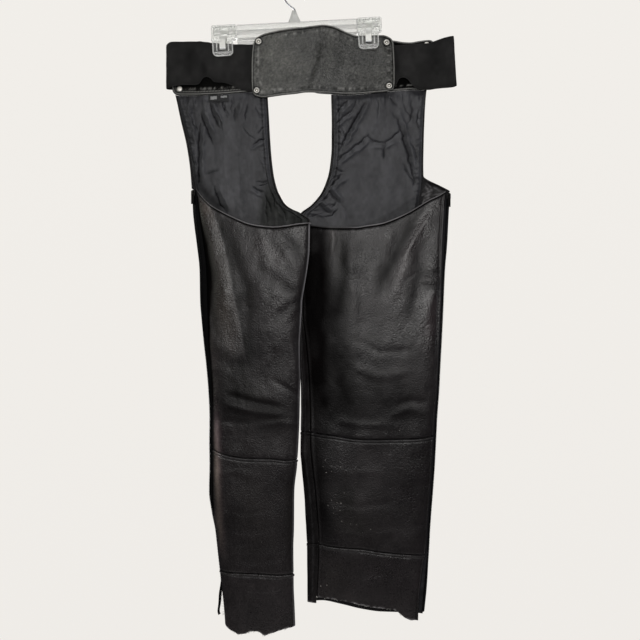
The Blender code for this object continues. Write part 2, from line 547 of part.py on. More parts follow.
def lining_piece(name, leg, back_top, rows=14):
    """The lining, moved off the front panel's own surface; it ends inside the leg."""
    g = SIGN[leg]
    out = Track(LINING_OUT[leg], ("z", "x"))
    low = edge_track(back_top)
    share = [0.0, 0.03, 0.1, 0.22, 0.36, 0.5, 0.64, 0.78, 0.9, 0.97, 1.0]
    outer, inner = [], []
    for i in range(rows + 1):
        ro, ri = [], []
        for f in share:
            xt = THIGH[leg].at(-236)
            xa, xb = xt["x_edge"] + g * LINING_INSET, out.at(-236)["x"]
            z0 = BAND[leg].at(xa + (xb - xa) * f)["bottom"] - GAP - 0.4
            z1 = low.at(f)["z"] - LINING_BELOW
            w = i / rows
            z = z0 + (z1 - z0) * (w ** 0.85)
            sec, v = front_section(leg, z)
            edge = THIGH[leg].at(z)["x_edge"] if z > CROTCH else v["x_in"]
            xa, xb = edge + g * (LINING_INSET + HALF), out.at(z)["x"]
            p, n = sec.at(sec.front_s(xa + (xb - xa) * f))
            back = LINING_BACK[0] + LINING_BACK[1] * float(smooth01((-236 - z) / 60))
            ro.append((*(p - n * (back - NYLON / 2)), z))
            ri.append((*(p - n * (back + NYLON / 2)), z))
        outer.append(ro)
        inner.append(ri)
    return sheet(name, outer, inner, NYLON_MAT)


def zip_piece(name, leg):
    """Zip tape round the leg's outer edge with the closed chain as a low rib."""
    top, end = ZIP_TOP[leg], ZIP_END[leg]
    outer, inner = [], []
    for z in (top,) + tuple(q for q in FRONT_Z[leg] if end + 8 < q < top - 3) + (end,):
        sec, v = tube_section(leg, z)
        s_zip, s_c, s_f = zip_places(leg, z, sec)
        s = [s_zip + GAP / 2, s_c - CHAIN_HALF - 0.4, s_c - CHAIN_HALF, s_c + CHAIN_HALF, s_c + CHAIN_HALF + 0.4,
             (s_c + CHAIN_HALF + 0.4 + s_f - GAP / 2) / 2, s_f - GAP / 2]
        up = [0, 0, CHAIN_RISE, CHAIN_RISE, 0, 0, 0]
        ro, ri = [], []
        for q, u in zip(s, up):
            p, n = sec.at(q)
            ro.append((*(p + n * (TAPE / 2 + u)), z))
            ri.append((*(p - n * TAPE / 2), z))
        outer.append(ro)
        inner.append(ri)
    return sheet(name, outer, inner, ZIP_BLACK)


# ==================================================================== the belt
def path_frames(points, closed=False):
    """Points of a smooth curve through a plan path, and the left-hand normals."""
    p = np.asarray(points, float)
    t = np.gradient(p, axis=0)
    t /= np.linalg.norm(t, axis=1)[:, None]
    return p, np.stack([-t[:, 1], t[:, 0]], 1)


def catmull(points, per):
    """A smooth curve through the rows of a table, per pieces between two rows."""
    p = np.asarray(points, float)
    q = np.concatenate([[2 * p[0] - p[1]], p, [2 * p[-1] - p[-2]]])
    out = []
    for i in range(1, len(q) - 2):
        a, b, c, d = q[i - 1], q[i], q[i + 1], q[i + 2]
        for k in range(per):
            t = k / per
            out.append(0.5 * (2 * b + (c - a) * t + (2 * a - 5 * b + 4 * c - d) * t ** 2 + (3 * b - a - 3 * c + d) * t ** 3))
    out.append(p[-1])
    return np.array(out)


def upright(name, plan, tops, bottoms, thick, mat, rows=3, lean=None, **kw):
    """A wall standing on a plan path, with its own upper and lower edge."""
    p, n = path_frames(plan)
    lean = np.zeros(len(p)) if lean is None else lean
    outer, inner = [], []
    for i in range(rows + 1):
        w = i / rows
        z = tops + (bottoms - tops) * w
        x = p[:, 0] + lean * (w - 0.5)
        outer.append(np.stack([x + n[:, 0] * thick / 2, p[:, 1] + n[:, 1] * thick / 2, z], 1))
        inner.append(np.stack([x - n[:, 0] * thick / 2, p[:, 1] - n[:, 1] * thick / 2, z], 1))
    return sheet(name, outer, inner, mat, **kw)


def band_piece(name, leg, layer, thick, rows=3):
    rows_ = BAND_L if leg == "L" else BAND_R
    xs = []
    for a, b in zip(rows_, rows_[1:]):
        k = max(1, int(round((b[0] - a[0]) / 24.0)))
        xs += [a[0] + (b[0] - a[0]) * i / k for i in range(k)]
    xs.append(rows_[-1][0])
    v = [BAND[leg].at(x) for x in xs]
    plan = [(x, q[layer]) for x, q in zip(xs, v)]
    return upright(name, plan, np.array([q["top"] for q in v]), np.array([q["bottom"] for q in v]), thick, BELT, rows)


def web_piece(name, table):
    a = catmull([r for r in table], 1)
    return upright(name, a[:, :2], a[:, 2], a[:, 3], WEB, ELASTIC, 3, a[:, 4])


def lumbar_piece():
    a = np.array(LUMBAR_PANEL, float)
    return upright("lumbar_panel", a[:, [0, 3]], a[:, 1], a[:, 2], LUMBAR, BELT, 4)


def turned(name, profile, place, face, mat, sides=STUD_SIDES):
    """A round piece turned about an axis along Y; profile is radius, height."""
    verts, faces, rings = [], [], []
    for r, h in profile:
        if r == 0:
            rings.append([len(verts)])
            verts.append((place[0], place[1] + face * h, place[2]))
        else:
            rings.append(list(range(len(verts), len(verts) + sides)))
            for k in range(sides):
                a = 2 * math.pi * k / sides
                verts.append((place[0] + r * math.cos(a), place[1] + face * h, place[2] + r * math.sin(a)))
    for r0, r1 in zip(rings, rings[1:]):
        for k in range(sides):
            k2 = (k + 1) % sides
            if len(r0) == 1:
                faces.append((r0[0], r1[k], r1[k2]))
            elif len(r1) == 1:
                faces.append((r0[k], r0[k2], r1[0]))
            else:
                faces.append((r0[k], r0[k2], r1[k2], r1[k]))
    return add_object(name, verts, faces, mat)


def tube_along(name, points, radius, mat, bevel_resolution=3):
    """A wire: a curve with a round bevel and closed ends, turned into a mesh."""
    cu = bpy.data.curves.new(name, "CURVE")
    cu.dimensions = "3D"
    cu.bevel_depth = radius * MM
    cu.bevel_resolution = bevel_resolution
    cu.use_fill_caps = True
    sp = cu.splines.new("POLY")
    sp.points.add(len(points) - 1)
    for q, p in zip(sp.points, points):
        q.co = (p[0] * MM, p[1] * MM, p[2] * MM, 1)
    obj = bpy.data.objects.new(name, cu)
    bpy.context.scene.collection.objects.link(obj)
    cu.materials.append(material(*mat))
    return obj


def as_mesh(obj):
    """The same object with its curve turned into a mesh."""
    bpy.context.view_layer.update()
    mesh = bpy.data.meshes.new_from_object(obj.evaluated_get(bpy.context.evaluated_depsgraph_get()))
    new = bpy.data.objects.new(obj.name + "_mesh", mesh)
    bpy.context.scene.collection.objects.link(new)
    bpy.data.objects.remove(obj, do_unlink=True)
    return new


def union(target, others):
    """Joins solids into the target with exact booleans, applied at once."""
    for other in others:
        mod = target.modifiers.new("join", "BOOLEAN")
        mod.operation, mod.solver, mod.object = "UNION", "EXACT", other
    return bake(target, others)


def cut(target, cutters):
    for other in cutters:
        mod = target.modifiers.new("cut", "BOOLEAN")
        mod.operation, mod.solver, mod.object = "DIFFERENCE", "EXACT", other
    return bake(target, cutters)


def bake(target, used):
    bpy.context.view_layer.update()
    deps = bpy.context.evaluated_depsgraph_get()
    mesh = bpy.data.meshes.new_from_object(target.evaluated_get(deps))
    target.modifiers.clear()
    old = target.data
    target.data = mesh
    mesh.name = old.name
    for o in used:
        bpy.data.objects.remove(o, do_unlink=True)
    return target


def block(name, x, y, z, mat):
    """A plain box between limits on each axis."""
    v = [(i, j, k) for i in x for j in y for k in z]
    f = [(0, 1, 3, 2), (4, 6, 7, 5), (0, 4, 5, 1), (2, 3, 7, 6), (0, 2, 6, 4), (1, 5, 7, 3)]
    return add_object(name, v, f, mat, smooth=False)


# =================================================================== building
for leg in ("L", "R"):
    top = BACK_TOP_L if leg == "L" else BACK_TOP_R
    knee = KNEE_L if leg == "L" else KNEE_R
    calf = CALF_L if leg == "L" else CALF_R
    hem = HEM_BACK_L if leg == "L" else HEM_BACK_R
    back_piece("back_thigh_" + leg, leg, top, knee, levels_between(-520, -960 if leg == "L" else -925), 4, (), 0.0, GAP / 2)
    back_piece("back_calf_" + leg, leg, knee, calf, levels_between(-995 if leg == "L" else -952, -1212 if leg == "L" else -1155), 1, (0.65,), GAP / 2, GAP / 2)
    back_piece("back_cuff_" + leg, leg, calf, hem, (-1251, -1293) if leg == "L" else (-1210, -1251), 1, () if leg == "L" else (0.6,), GAP / 2, 0.0)
    front_piece("front_hip_" + leg, leg, None, HIP_Z, 0, HIP_Z + 8)
    front_piece("front_thigh_" + leg, leg, HIP_Z, knee, HIP_Z - 8, -960 if leg == "L" else -925)
    front_piece("front_calf_" + leg, leg, knee, calf, -995 if leg == "L" else -952, -1212 if leg == "L" else -1155)
    front_piece("front_cuff_" + leg, leg, calf, HEM_FRONT_L if leg == "L" else HEM_FRONT_R, -1230 if leg == "L" else -1190, -1300 if leg == "L" else -1260)
    lining_piece("lining_" + leg, leg, top)
    zip_piece("zip_" + leg, leg)
    band_piece("waistband_" + leg, leg, "outer", BELT_LEATHER)
    band_piece("waistband_facing_" + leg, leg, "facing", FACING)

web_piece("elastic_L", WEB_L)
web_piece("elastic_R", WEB_R)
lumbar_piece()

# zip tail below the left leg's last teeth, hanging beside the leather's edge
tail = catmull([(x, z) for x, z in ZIP_TAIL], 2)
sheet("zip_tail_L",
      [[(x - 1.4, y, z) for y in (-3.0, 5.0)] for x, z in tail],
      [[(x + 1.4, y, z) for y in (-3.0, 5.0)] for x, z in tail], ZIP_BLACK)

# size label under the left waistband, on the lining
sheet("label_L",
      [[(x, -1.15, z) for x in (-178, -157, -136)] for z in (-235.2, -241.5, -247.6)],
      [[(x, -2.15, z) for x in (-178, -157, -136)] for z in (-235.2, -241.5, -247.6)], LABEL_MAT)

# snaps and rivets
lumbar_track = Track([(r[0], r[3]) for r in LUMBAR_PANEL], ("x", "y"))
for name, x, z, on, face in STUDS:
    if on == "lumbar":
        y = min(lumbar_track.at(x + q)["y"] for q in (-6.2, -3, 0, 3, 6.2)) - LUMBAR / 2 - GAP
    elif on.startswith("facing"):
        y = BAND[on[-1]].at(x)["facing"] - FACING / 2 - GAP
    else:
        y = BAND[on[-1]].at(x)["outer"] + BELT_LEATHER / 2 + GAP
    turned(name, STUD_PROFILE, (x, y, z), face, STEEL)

# front closure
strap = catmull(STRAP_PATH, 2)
upright("front_strap", strap, np.full(len(strap), STRAP_Z + STRAP_WIDTH / 2),
        np.full(len(strap), STRAP_Z - STRAP_WIDTH / 2), STRAP, BELT, 1)
heel, far = BUCKLE_X
arc = [(heel + TAB_R * math.cos(a), BUCKLE_Y[0] + TAB_R * math.sin(a)) for a in np.linspace(-math.pi / 2, math.pi / 2, 9)]
tab = [(heel - 38, BUCKLE_Y[0] - TAB_R), (heel - 18, BUCKLE_Y[0] - TAB_R)] + arc + [(heel - 14, BUCKLE_Y[0] + TAB_R), (heel - 27, BUCKLE_Y[0] + TAB_R)]
upright("buckle_tab", tab, np.full(len(tab), STRAP_Z + TAB_WIDTH / 2), np.full(len(tab), STRAP_Z - TAB_WIDTH / 2), TAB, BELT, 1)


def frame_ring():
    """Round bar bent to a rectangle with rounded corners, closed on itself."""
    h, r, path = BUCKLE_HALF_HEIGHT, 4.0, []
    for cx, cz, a0 in ((far - r, h - r, 0), (heel + r, h - r, 90), (heel + r, -h + r, 180), (far - r, -h + r, 270)):
        for a in (0, 30, 60, 90):
            t = math.radians(a0 + a)
            path.append((cx + r * math.cos(t), cz + r * math.sin(t)))
    verts, faces, sides = [], [], 8
    n = len(path)
    for i, (x, z) in enumerate(path):
        (xa, za), (xb, zb) = path[i - 1], path[(i + 1) % n]
        t = np.array((xb - xa, zb - za)) / math.hypot(xb - xa, zb - za)
        out = (t[1], -t[0])
        y = BUCKLE_Y[0] + (BUCKLE_Y[1] - BUCKLE_Y[0]) * (x - heel) / (far - heel)
        for k in range(sides):
            a = 2 * math.pi * (k + 0.5) / sides
            q = BUCKLE_R * math.cos(a)
            verts.append((x + out[0] * q, y + BUCKLE_R * math.sin(a), STRAP_Z + z + out[1] * q))
    for i in range(n):
        for k in range(sides):
            a, b = i * sides + k, i * sides + (k + 1) % sides
            c, d = ((i + 1) % n) * sides + (k + 1) % sides, ((i + 1) % n) * sides + k
            faces.append((a, b, c, d))
    return add_object("buckle_frame", verts, faces, STEEL)


ring = frame_ring()
union(ring, [block("prong", (18.0, far + 2.2), (10.7, 12.6), (STRAP_Z - 1.5, STRAP_Z + 1.5), STEEL)])


# zip sliders and their pull tabs; n points off the zip, t is the hinge's axis
def slider_frame(leg):
    z = SLIDER_Z[leg]
    sec, v = tube_section(leg, z)
    s = zip_places(leg, z, sec)[1]
    p, n = sec.at(s)
    base = p + n * (TAPE / 2 + CHAIN_RISE + GAP)
    # the hinge's axis: turning about it by a positive angle swings a hanging tab off the zip
    t = np.cross((0.0, 0.0, -1.0), (n[0], n[1], 0.0))
    return np.array((base[0], base[1], z)), np.array((n[0], n[1], 0.0)), t


def place_local(obj, leg):
    """Local x off the zip, local y along the hinge, local z up."""
    o, n, t = slider_frame(leg)
    m = Matrix(((n[0], t[0], 0, o[0] * MM), (n[1], t[1], 0, o[1] * MM), (0, 0, 1, o[2] * MM), (0, 0, 0, 1)))
    if m.to_3x3().determinant() < 0:
        m = m @ Matrix.Diagonal((1, -1, 1, 1))
    obj.data.transform(m)
    return obj


HINGE = (3.9, 1.4)   # hinge line off the slider's foot, and above its middle
for leg in ("L", "R"):
    body = block("zip_slider_" + leg, (0.0, 2.6), (-4.4, 4.4), (-5.5, 5.5), ZIP_METAL)
    bev = body.modifiers.new("edges", "BEVEL")
    bev.width, bev.segments = 0.0008, 2
    bake(body, [])
    arch = block("arch", (2.2, 6.2), (-1.0, 1.0), (-2.6, 5.2), ZIP_METAL)
    window = block("window", (2.7, 5.2), (-3.0, 3.0), (-1.4, 4.0), ZIP_METAL)
    cut(arch, [window])
    union(body, [arch])
    place_local(body, leg)
    tab_plate = block("zip_pull_" + leg, (HINGE[0] - 0.7, HINGE[0] + 0.7), (-3.0, 3.0), (HINGE[1] - 24.0, HINGE[1] + 0.7), ZIP_METAL)
    hole = block("hole", (0.0, 9.0), (-1.6, 1.6), (HINGE[1] - 6.2, HINGE[1] - 0.7), ZIP_METAL)
    cut(tab_plate, [hole])
    place_local(tab_plate, leg)
    o, n, t = slider_frame(leg)
    pivot = Vector(o + n * HINGE[0] + np.array((0, 0, HINGE[1]))) * MM
    tab_plate.data.transform(Matrix.Translation(-pivot))
    tab_plate.location = pivot

# ------------------------------------------------------------------ the hanger
hook_pts = [(x, 0.0, z) for x, z in HOOK_STEM]
hook_c = -(HOOK_R - WIRE)
for k in range(19):
    a = math.radians(206 - 236 * k / 18)
    hook_pts.append((HOOK_R * math.cos(a), 0.0, hook_c + HOOK_R * math.sin(a)))
hook_pts = catmull(hook_pts, 2)
tube_along("hanger_hook", hook_pts, WIRE, HOOK_STEEL, 3)

tilt = bpy.data.objects.new("hanger_tilt", None)
bpy.context.scene.collection.objects.link(tilt)
tilt.location = Vector(BAR_ORIGIN) * MM
tilt.rotation_euler = (0.0, -BAR_TILT, 0.0)


def bar_solid():
    prof = [(h, -d) for d, h in BAR_PROFILE] + [(-h, -d) for d, h in BAR_PROFILE][::-1]
    n = len(prof)
    verts = [(BAR_U[0], y, v) for y, v in prof] + [(BAR_U[1], y, v) for y, v in prof]
    faces = [tuple(range(n)), tuple(range(2 * n - 1, n - 1, -1))]
    faces += [(i, (i + 1) % n, n + (i + 1) % n, n + i) for i in range(n)]
    return add_object("hanger_bar", verts, faces, CLEAR)


def neck_solid():
    verts, faces = [], []
    for v, hw, ht in NECK:
        for k in range(12):
            a = 2 * math.pi * (k + 0.5) / 12
            c, s = math.cos(a), math.sin(a)
            verts.append((hw * math.copysign(abs(c) ** 0.8, c), ht * math.copysign(abs(s) ** 0.8, s), v))
    for i in range(len(NECK) - 1):
        faces += [(i * 12 + k, i * 12 + (k + 1) % 12, (i + 1) * 12 + (k + 1) % 12, (i + 1) * 12 + k) for k in range(12)]
    faces += [tuple(range(11, -1, -1)), tuple(range((len(NECK) - 1) * 12, len(NECK) * 12))]
    return add_object("neck", verts, faces, CLEAR)


bar = bar_solid()
union(bar, [
    neck_solid(),
    block("tongue_L", (-168.0, BAR_U[0] + 4), (-TONGUE[2], TONGUE[2]), (TONGUE[1], TONGUE[0]), CLEAR),
    block("tongue_R", (BAR_U[1] - 4, 174.0), (-TONGUE[2], TONGUE[2]), (TONGUE[1], TONGUE[0]), CLEAR),
])
foot = Vector((HOOK_STEM[0][0], 0, HOOK_STEM[0][1])) - Vector(BAR_ORIGIN)
head = Vector((HOOK_STEM[1][0], 0, HOOK_STEM[1][1] + 4)) - Vector(BAR_ORIGIN)
turn = Matrix.Rotation(BAR_TILT, 3, "Y")
bore = tube_along("bore", [tuple(turn @ foot - Vector((0, 0, 0.8))), tuple(turn @ head + Vector((0, 0, 6)))], WIRE + 0.6, CLEAR, 3)
cut(bar, [as_mesh(bore)])
bar.parent = tilt


def jaw_outline():
    """Half widths down a jaw: the wide grip, a step in, and a rounded mouth."""
    out = [(0.6, JAW_HALF[0] - 2.5), (-2.0, JAW_HALF[0]), (-29.0, JAW_HALF[0]), (JAW_STEP, JAW_HALF[1])]
    for a in (0, 25, 50, 75, 88):
        t = math.radians(a)
        out.append((JAW_END + JAW_ROUND - JAW_ROUND * math.sin(t), JAW_HALF[1] - JAW_ROUND + JAW_ROUND * math.cos(t)))
    return out


def jaw(name, u, faces_at, out):
    """One jaw: a plate whose inner face follows the given depths."""
    depth = Track(faces_at, ("v", "y"))
    rows_o, rows_i = [], []
    levels = jaw_outline()
    # extra levels so that the plate can bend where the mouth starts
    levels = levels[:2] + [(-20.0, JAW_HALF[0])] + levels[2:4] + [(-38.0, JAW_HALF[1]), (-46.0, JAW_HALF[1])] + levels[4:]
    for v, hw in levels:
        y = depth.at(v)["y"]
        row = [u - hw, u - hw * 0.4, u + hw * 0.4, u + hw]
        rows_i.append([(x, y, v) for x in row])
        rows_o.append([(x, y + out * JAW, v) for x in row])
    obj = sheet(name, rows_o, rows_i, CLEAR, smooth=False)
    return obj


for leg, c in CLIPS.items():
    u = c["u"]
    half, thick, bridge, low = SPRING
    for which, out in (("seat", -1), ("front", 1)):
        obj = jaw("clip_%s_%s" % (leg, which), u, c[which], out)
        cut(obj, [block("slot", (u - half - 0.5, u + half + 0.5), (-20, 20), (bridge - 3.2, bridge + 2.4), CLEAR)])
        obj.parent = tilt
    ys, yf = Track(c["seat"], ("v", "y")), Track(c["front"], ("v", "y"))
    levels = [low, -44.0, -36.0, -29.0, bridge - 0.4]
    seat = [(ys.at(v)["y"] - JAW - GAP - 0.1, v) for v in levels]
    front = [(yf.at(v)["y"] + JAW + GAP + 0.1, v) for v in levels]
    line = seat + front[::-1]
    a = np.array(line)
    t = np.gradient(a, axis=0)
    t /= np.linalg.norm(t, axis=1)[:, None]
    nrm = np.stack([-t[:, 1], t[:, 0]], 1)
    # keep both faces of the strip outside the jaws: only offset it outwards
    outside = a + nrm * thick
    spring = sheet("clip_%s_spring" % leg,
                   [[(x, p[0], p[1]) for x in (u - half, u + half)] for p in a],
                   [[(x, p[0], p[1]) for x in (u - half, u + half)] for p in outside], HOOK_STEEL, smooth=False)
    spring.parent = tilt
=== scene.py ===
"""Looks of the leather chaps on their clear clip hanger.

Frame: +Z up, origin at the inside top of the hanger's hook, the seat side of
the chaps towards -Y and their front towards +Y.  The wearer's left leg is the
"L" leg, on -X.  Tables are in millimetres; meshes are made in metres.
"""
import math

import bmesh
import bpy
import numpy as np
from mathutils import Matrix, Vector


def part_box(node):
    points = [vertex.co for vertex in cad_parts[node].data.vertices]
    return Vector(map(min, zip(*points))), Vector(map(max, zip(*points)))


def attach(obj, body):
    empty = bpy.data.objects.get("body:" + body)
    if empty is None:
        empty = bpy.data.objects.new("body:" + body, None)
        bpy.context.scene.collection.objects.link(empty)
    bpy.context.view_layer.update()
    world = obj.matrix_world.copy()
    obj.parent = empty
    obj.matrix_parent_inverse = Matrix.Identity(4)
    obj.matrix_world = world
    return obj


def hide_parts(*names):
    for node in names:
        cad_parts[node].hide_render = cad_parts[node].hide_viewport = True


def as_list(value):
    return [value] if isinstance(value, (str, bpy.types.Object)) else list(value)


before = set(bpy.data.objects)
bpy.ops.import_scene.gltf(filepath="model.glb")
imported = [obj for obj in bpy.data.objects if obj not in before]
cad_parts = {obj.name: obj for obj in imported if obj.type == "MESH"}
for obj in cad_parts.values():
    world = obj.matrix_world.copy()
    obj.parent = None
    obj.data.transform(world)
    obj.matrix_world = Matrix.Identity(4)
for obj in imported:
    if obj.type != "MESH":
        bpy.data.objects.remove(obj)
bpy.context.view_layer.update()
scene = bpy.context.scene

# ============================================================== camera and light
cam_data = bpy.data.cameras.new("camera")
cam_data.sensor_width, cam_data.lens = 36.0, 51.38
cam_data.clip_end = 50.0
camera = bpy.data.objects.new("camera", cam_data)
camera.location = (0.053, -1.9, -0.701)
camera.rotation_euler = (math.pi / 2, 0.0, 0.0)
scene.collection.objects.link(camera)
scene.camera = camera
scene.view_settings.view_transform = "Standard"
scene.view_settings.look = "None"


def area_light(name, place, target, size, power, color=(1, 1, 1)):
    data = bpy.data.lights.new(name, "AREA")
    data.shape = "RECTANGLE"
    data.size, data.size_y = size
    data.energy, data.color = power, color
    obj = bpy.data.objects.new(name, data)
    obj.location = place
    obj.rotation_euler = (Vector(target) - Vector(place)).to_track_quat("-Z", "Y").to_euler()
    scene.collection.objects.link(obj)
    return obj


area_light("key", (0.10, -1.95, -0.20), (0.07, 0, -0.50), (1.25, 0.90), 15.0, (1.0, 0.985, 0.965))
area_light("left", (-1.45, -0.95, -0.25), (-0.1, 0, -0.6), (0.35, 1.3), 2.3, (0.99, 1.0, 0.86))
area_light("right", (1.7, -0.5, -0.3), (0.2, 0, -0.6), (0.4, 1.4), 2.0, (0.95, 0.97, 1.0))
area_light("top", (0.0, -0.55, 0.9), (0.05, 0, -0.4), (1.2, 0.5), 5.0)
wall_light = area_light("wall_side", (-0.1, 1.9, -0.1), (0.03, 0, -0.62), (1.3, 0.9), 34.0)
wall_light.visible_camera = False
wall_light.visible_transmission = False

world = bpy.data.worlds.new("world")
scene.world = world
world.use_nodes = True
wt = world.node_tree
wt.nodes.clear()
w_out = wt.nodes.new("ShaderNodeOutputWorld")
w_bg = wt.nodes.new("ShaderNodeBackground")
w_geo = wt.nodes.new("ShaderNodeTexCoord")
w_sep = wt.nodes.new("ShaderNodeSeparateXYZ")
w_map = wt.nodes.new("ShaderNodeMapRange")
w_ramp = wt.nodes.new("ShaderNodeValToRGB")
wt.links.new(w_geo.outputs["Generated"], w_sep.inputs[0])
wt.links.new(w_sep.outputs["Z"], w_map.inputs["Value"])
w_map.inputs["From Min"].default_value = -0.45
w_map.inputs["From Max"].default_value = 0.45
wt.links.new(w_map.outputs[0], w_ramp.inputs["Fac"])
for e, c in zip(w_ramp.color_ramp.elements, ((0.86, 0.835, 0.80, 1), (0.885, 0.86, 0.82, 1))):
    e.color = c
wt.links.new(w_ramp.outputs["Color"], w_bg.inputs["Color"])
w_bg.inputs["Strength"].default_value = 1.0
# the room that lights the object is dimmer than the pale ground it is seen against
w_dim = wt.nodes.new("ShaderNodeBackground")
w_dim.inputs["Color"].default_value = (0.93, 0.94, 1.0, 1)
w_dim.inputs["Strength"].default_value = 0.085
w_path = wt.nodes.new("ShaderNodeLightPath")
w_any = wt.nodes.new("ShaderNodeMath")
w_any.operation = "MAXIMUM"
wt.links.new(w_path.outputs["Is Camera Ray"], w_any.inputs[0])
wt.links.new(w_path.outputs["Is Transmission Ray"], w_any.inputs[1])
w_mix = wt.nodes.new("ShaderNodeMixShader")
wt.links.new(w_any.outputs[0], w_mix.inputs["Fac"])
wt.links.new(w_dim.outputs[0], w_mix.inputs[1])
wt.links.new(w_bg.outputs[0], w_mix.inputs[2])
wt.links.new(w_mix.outputs[0], w_out.inputs["Surface"])

floor_mesh = bpy.data.meshes.new("floor")
fb = bmesh.new()
bmesh.ops.create_circle(fb, cap_ends=True, radius=0.62, segments=96)
fb.to_mesh(floor_mesh)
fb.free()
floor = bpy.data.objects.new("floor", floor_mesh)
floor.location = (0.03, 0.0, -1.62)
scene.collection.objects.link(floor)
fm = bpy.data.materials.new("floor_pale")
fm.use_nodes = True
fm.node_tree.nodes["Principled BSDF"].inputs["Base Color"].default_value = (0.86, 0.83, 0.81, 1)
fm.node_tree.nodes["Principled BSDF"].inputs["Roughness"].default_value = 0.85
# the floor is seen as pale as the ground about it, and lights the object no more for that
fm_path = fm.node_tree.nodes.new("ShaderNodeLightPath")
fm_glow = fm.node_tree.nodes.new("ShaderNodeMath")
fm_glow.operation = "MULTIPLY"
fm_glow.inputs[1].default_value = 0.42
fm.node_tree.links.new(fm_path.outputs["Is Camera Ray"], fm_glow.inputs[0])
fm.node_tree.links.new(fm_glow.outputs[0], fm.node_tree.nodes["Principled BSDF"].inputs["Emission Strength"])
fm.node_tree.nodes["Principled BSDF"].inputs["Emission Color"].default_value = (0.86, 0.835, 0.80, 1)
floor_mesh.materials.append(fm)


# ============================================================ sizes and tables
MM = 0.001
GAP = 0.36           # seam gap between neighbouring pieces
LEATHER = 1.8        # leg leather
BELT_LEATHER = 2.0   # outer layer of the waistbands
FACING = 1.5         # inner layer of the waistbands
LUMBAR = 3.2         # doubled lumbar panel
WEB = 2.0            # wide elastic
NYLON = 1.0          # lining
TAPE = 1.2           # zip tape
CORNER = 60.0        # distance over which a flattened leg tube rounds to its edge
POWER = 2.6          # squareness of that rounding

# ------------------------------------------------------------------ leg tubes
# One row per level.  x_in, x_out: the tube's folded edges; x_seam: the inseam
# line on the seat side; x_zip: the back panels' edge beside the zip;
# y_in, y_out: depth of the two edges; cam, wall: how far the seat side and the
# front side stand off the line between the edges.
LEG_COLS = ("z", "x_in", "x_seam", "x_zip", "x_out", "y_in", "y_out", "cam", "wall")
LEG_L = (
    (-418, 33.0, 33.0, -205.5, -214.8, -22, 1, 4, 7),
    (-452, 33.0, 33.0, -201.5, -213.1, -22, 1, 8, 8),
    (-477, 33.0, 33.0, -198.3, -211.8, -22, 1, 10, 9),
    (-502, 32.8, 32.8, -194.4, -209.2, -22, 1, 12, 10),
    (-545, 32.3, 32.3, -187.7, -203.6, -21, 1, 15, 12),
    (-597, 27.2, 27.2, -181.7, -197.9, -19, 0, 18, 14),
    (-660, 17.6, 17.6, -179.4, -196.6, -16, 0, 20, 15),
    (-705, 15.2, 15.2, -178.2, -193.2, -13, 0, 20, 16),
    (-753, 12.0, 12.0, -177.0, -188.4, -10, 0, 20, 16),
    (-799, 11.6, 11.6, -173.0, -183.2, -9, 0, 19, 16),
    (-850, 10.0, 10.0, -170.2, -178.8, -8, 0, 19, 15),
    (-900, 9.0, 9.0, -169.8, -176.4, -7, 0, 18, 15),
    (-950, 7.0, 7.0, -170.2, -176.8, -6, 0, 17, 14),
    (-1002, 4.1, 4.1, -170.2, -176.2, -6, 0, 17, 14),
    (-1054, -0.4, -0.4, -169.6, -177.4, -5, 0, 17, 14),
    (-1100, -0.6, -0.6, -168.6, -171.0, -5, 0, 17, 13),
    (-1137, -1.0, -1.0, -163.8, -164.4, -5, 0, 16, 13),
    (-1170, -2.2, -2.2, -160.2, -160.7, -5, 0, 16, 13),
    (-1210, -2.0, -2.0, -155.9, -156.4, -5, 0, 16, 13),
    (-1251, -1.6, -1.6, -151.3, -151.8, -4, 0, 15, 12),
    (-1293, 0.2, 0.2, -146.6, -147.1, -4, 0, 15, 12),
    (-1356, 2.6, 2.6, -141.8, -142.3, -4, 0, 14, 11),
)
LEG_R = (
    (-418, 6.8, 9.5, 315.0, 325.2, 8, 1, 4, 7),
    (-452, 6.8, 9.5, 312.9, 323.3, 8, 1, 7, 8),
    (-477, 6.8, 10.0, 311.1, 321.7, 8, 1, 9, 9),
    (-502, 7.0, 11.5, 309.2, 320.5, 8, 1, 11, 10),
    (-545, 8.1, 13.0, 306.8, 318.1, 7, 1, 13, 12),
    (-597, 10.6, 15.3, 304.8, 312.9, 7, 0, 16, 14),
    (-660, 14.1, 18.6, 303.0, 309.8, 6, 0, 18, 15),
    (-705, 16.4, 22.6, 300.9, 307.8, 5, 0, 19, 16),
    (-753, 14.6, 27.1, 298.5, 305.4, 3, 0, 19, 16),
    (-799, 14.4, 30.2, 296.6, 302.8, 3, 0, 18, 16),
    (-850, 16.0, 32.8, 294.2, 300.2, 2, 0, 18, 15),
    (-900, 17.8, 34.8, 290.0, 296.6, 2, 0, 17, 15),
    (-950, 19.9, 36.6, 286.9, 294.2, 1, 0, 17, 14),
    (-1002, 22.8, 39.9, 283.8, 291.6, 1, 0, 17, 14),
    (-1054, 24.9, 43.7, 280.1, 288.0, 1, 0, 16, 14),
    (-1100, 26.6, 47.0, 277.0, 284.2, 0, 0, 16, 13),
    (-1151, 27.9, 50.2, 273.9, 280.8, 0, 0, 16, 13),
    (-1183, 28.2, 50.3, 270.6, 279.6, 0, 0, 16, 13),
    (-1220, 27.9, 48.9, 264.2, 277.9, 0, 0, 15, 13),
    (-1261, 27.8, 46.9, 259.2, 275.1, 0, 0, 15, 12),
    (-1293, 27.9, 45.7, 257.2, 271.9, 0, 0, 14, 12),
    (-1340, 28.0, 45.7, 256.2, 267.0, 0, 0, 13, 11),
)
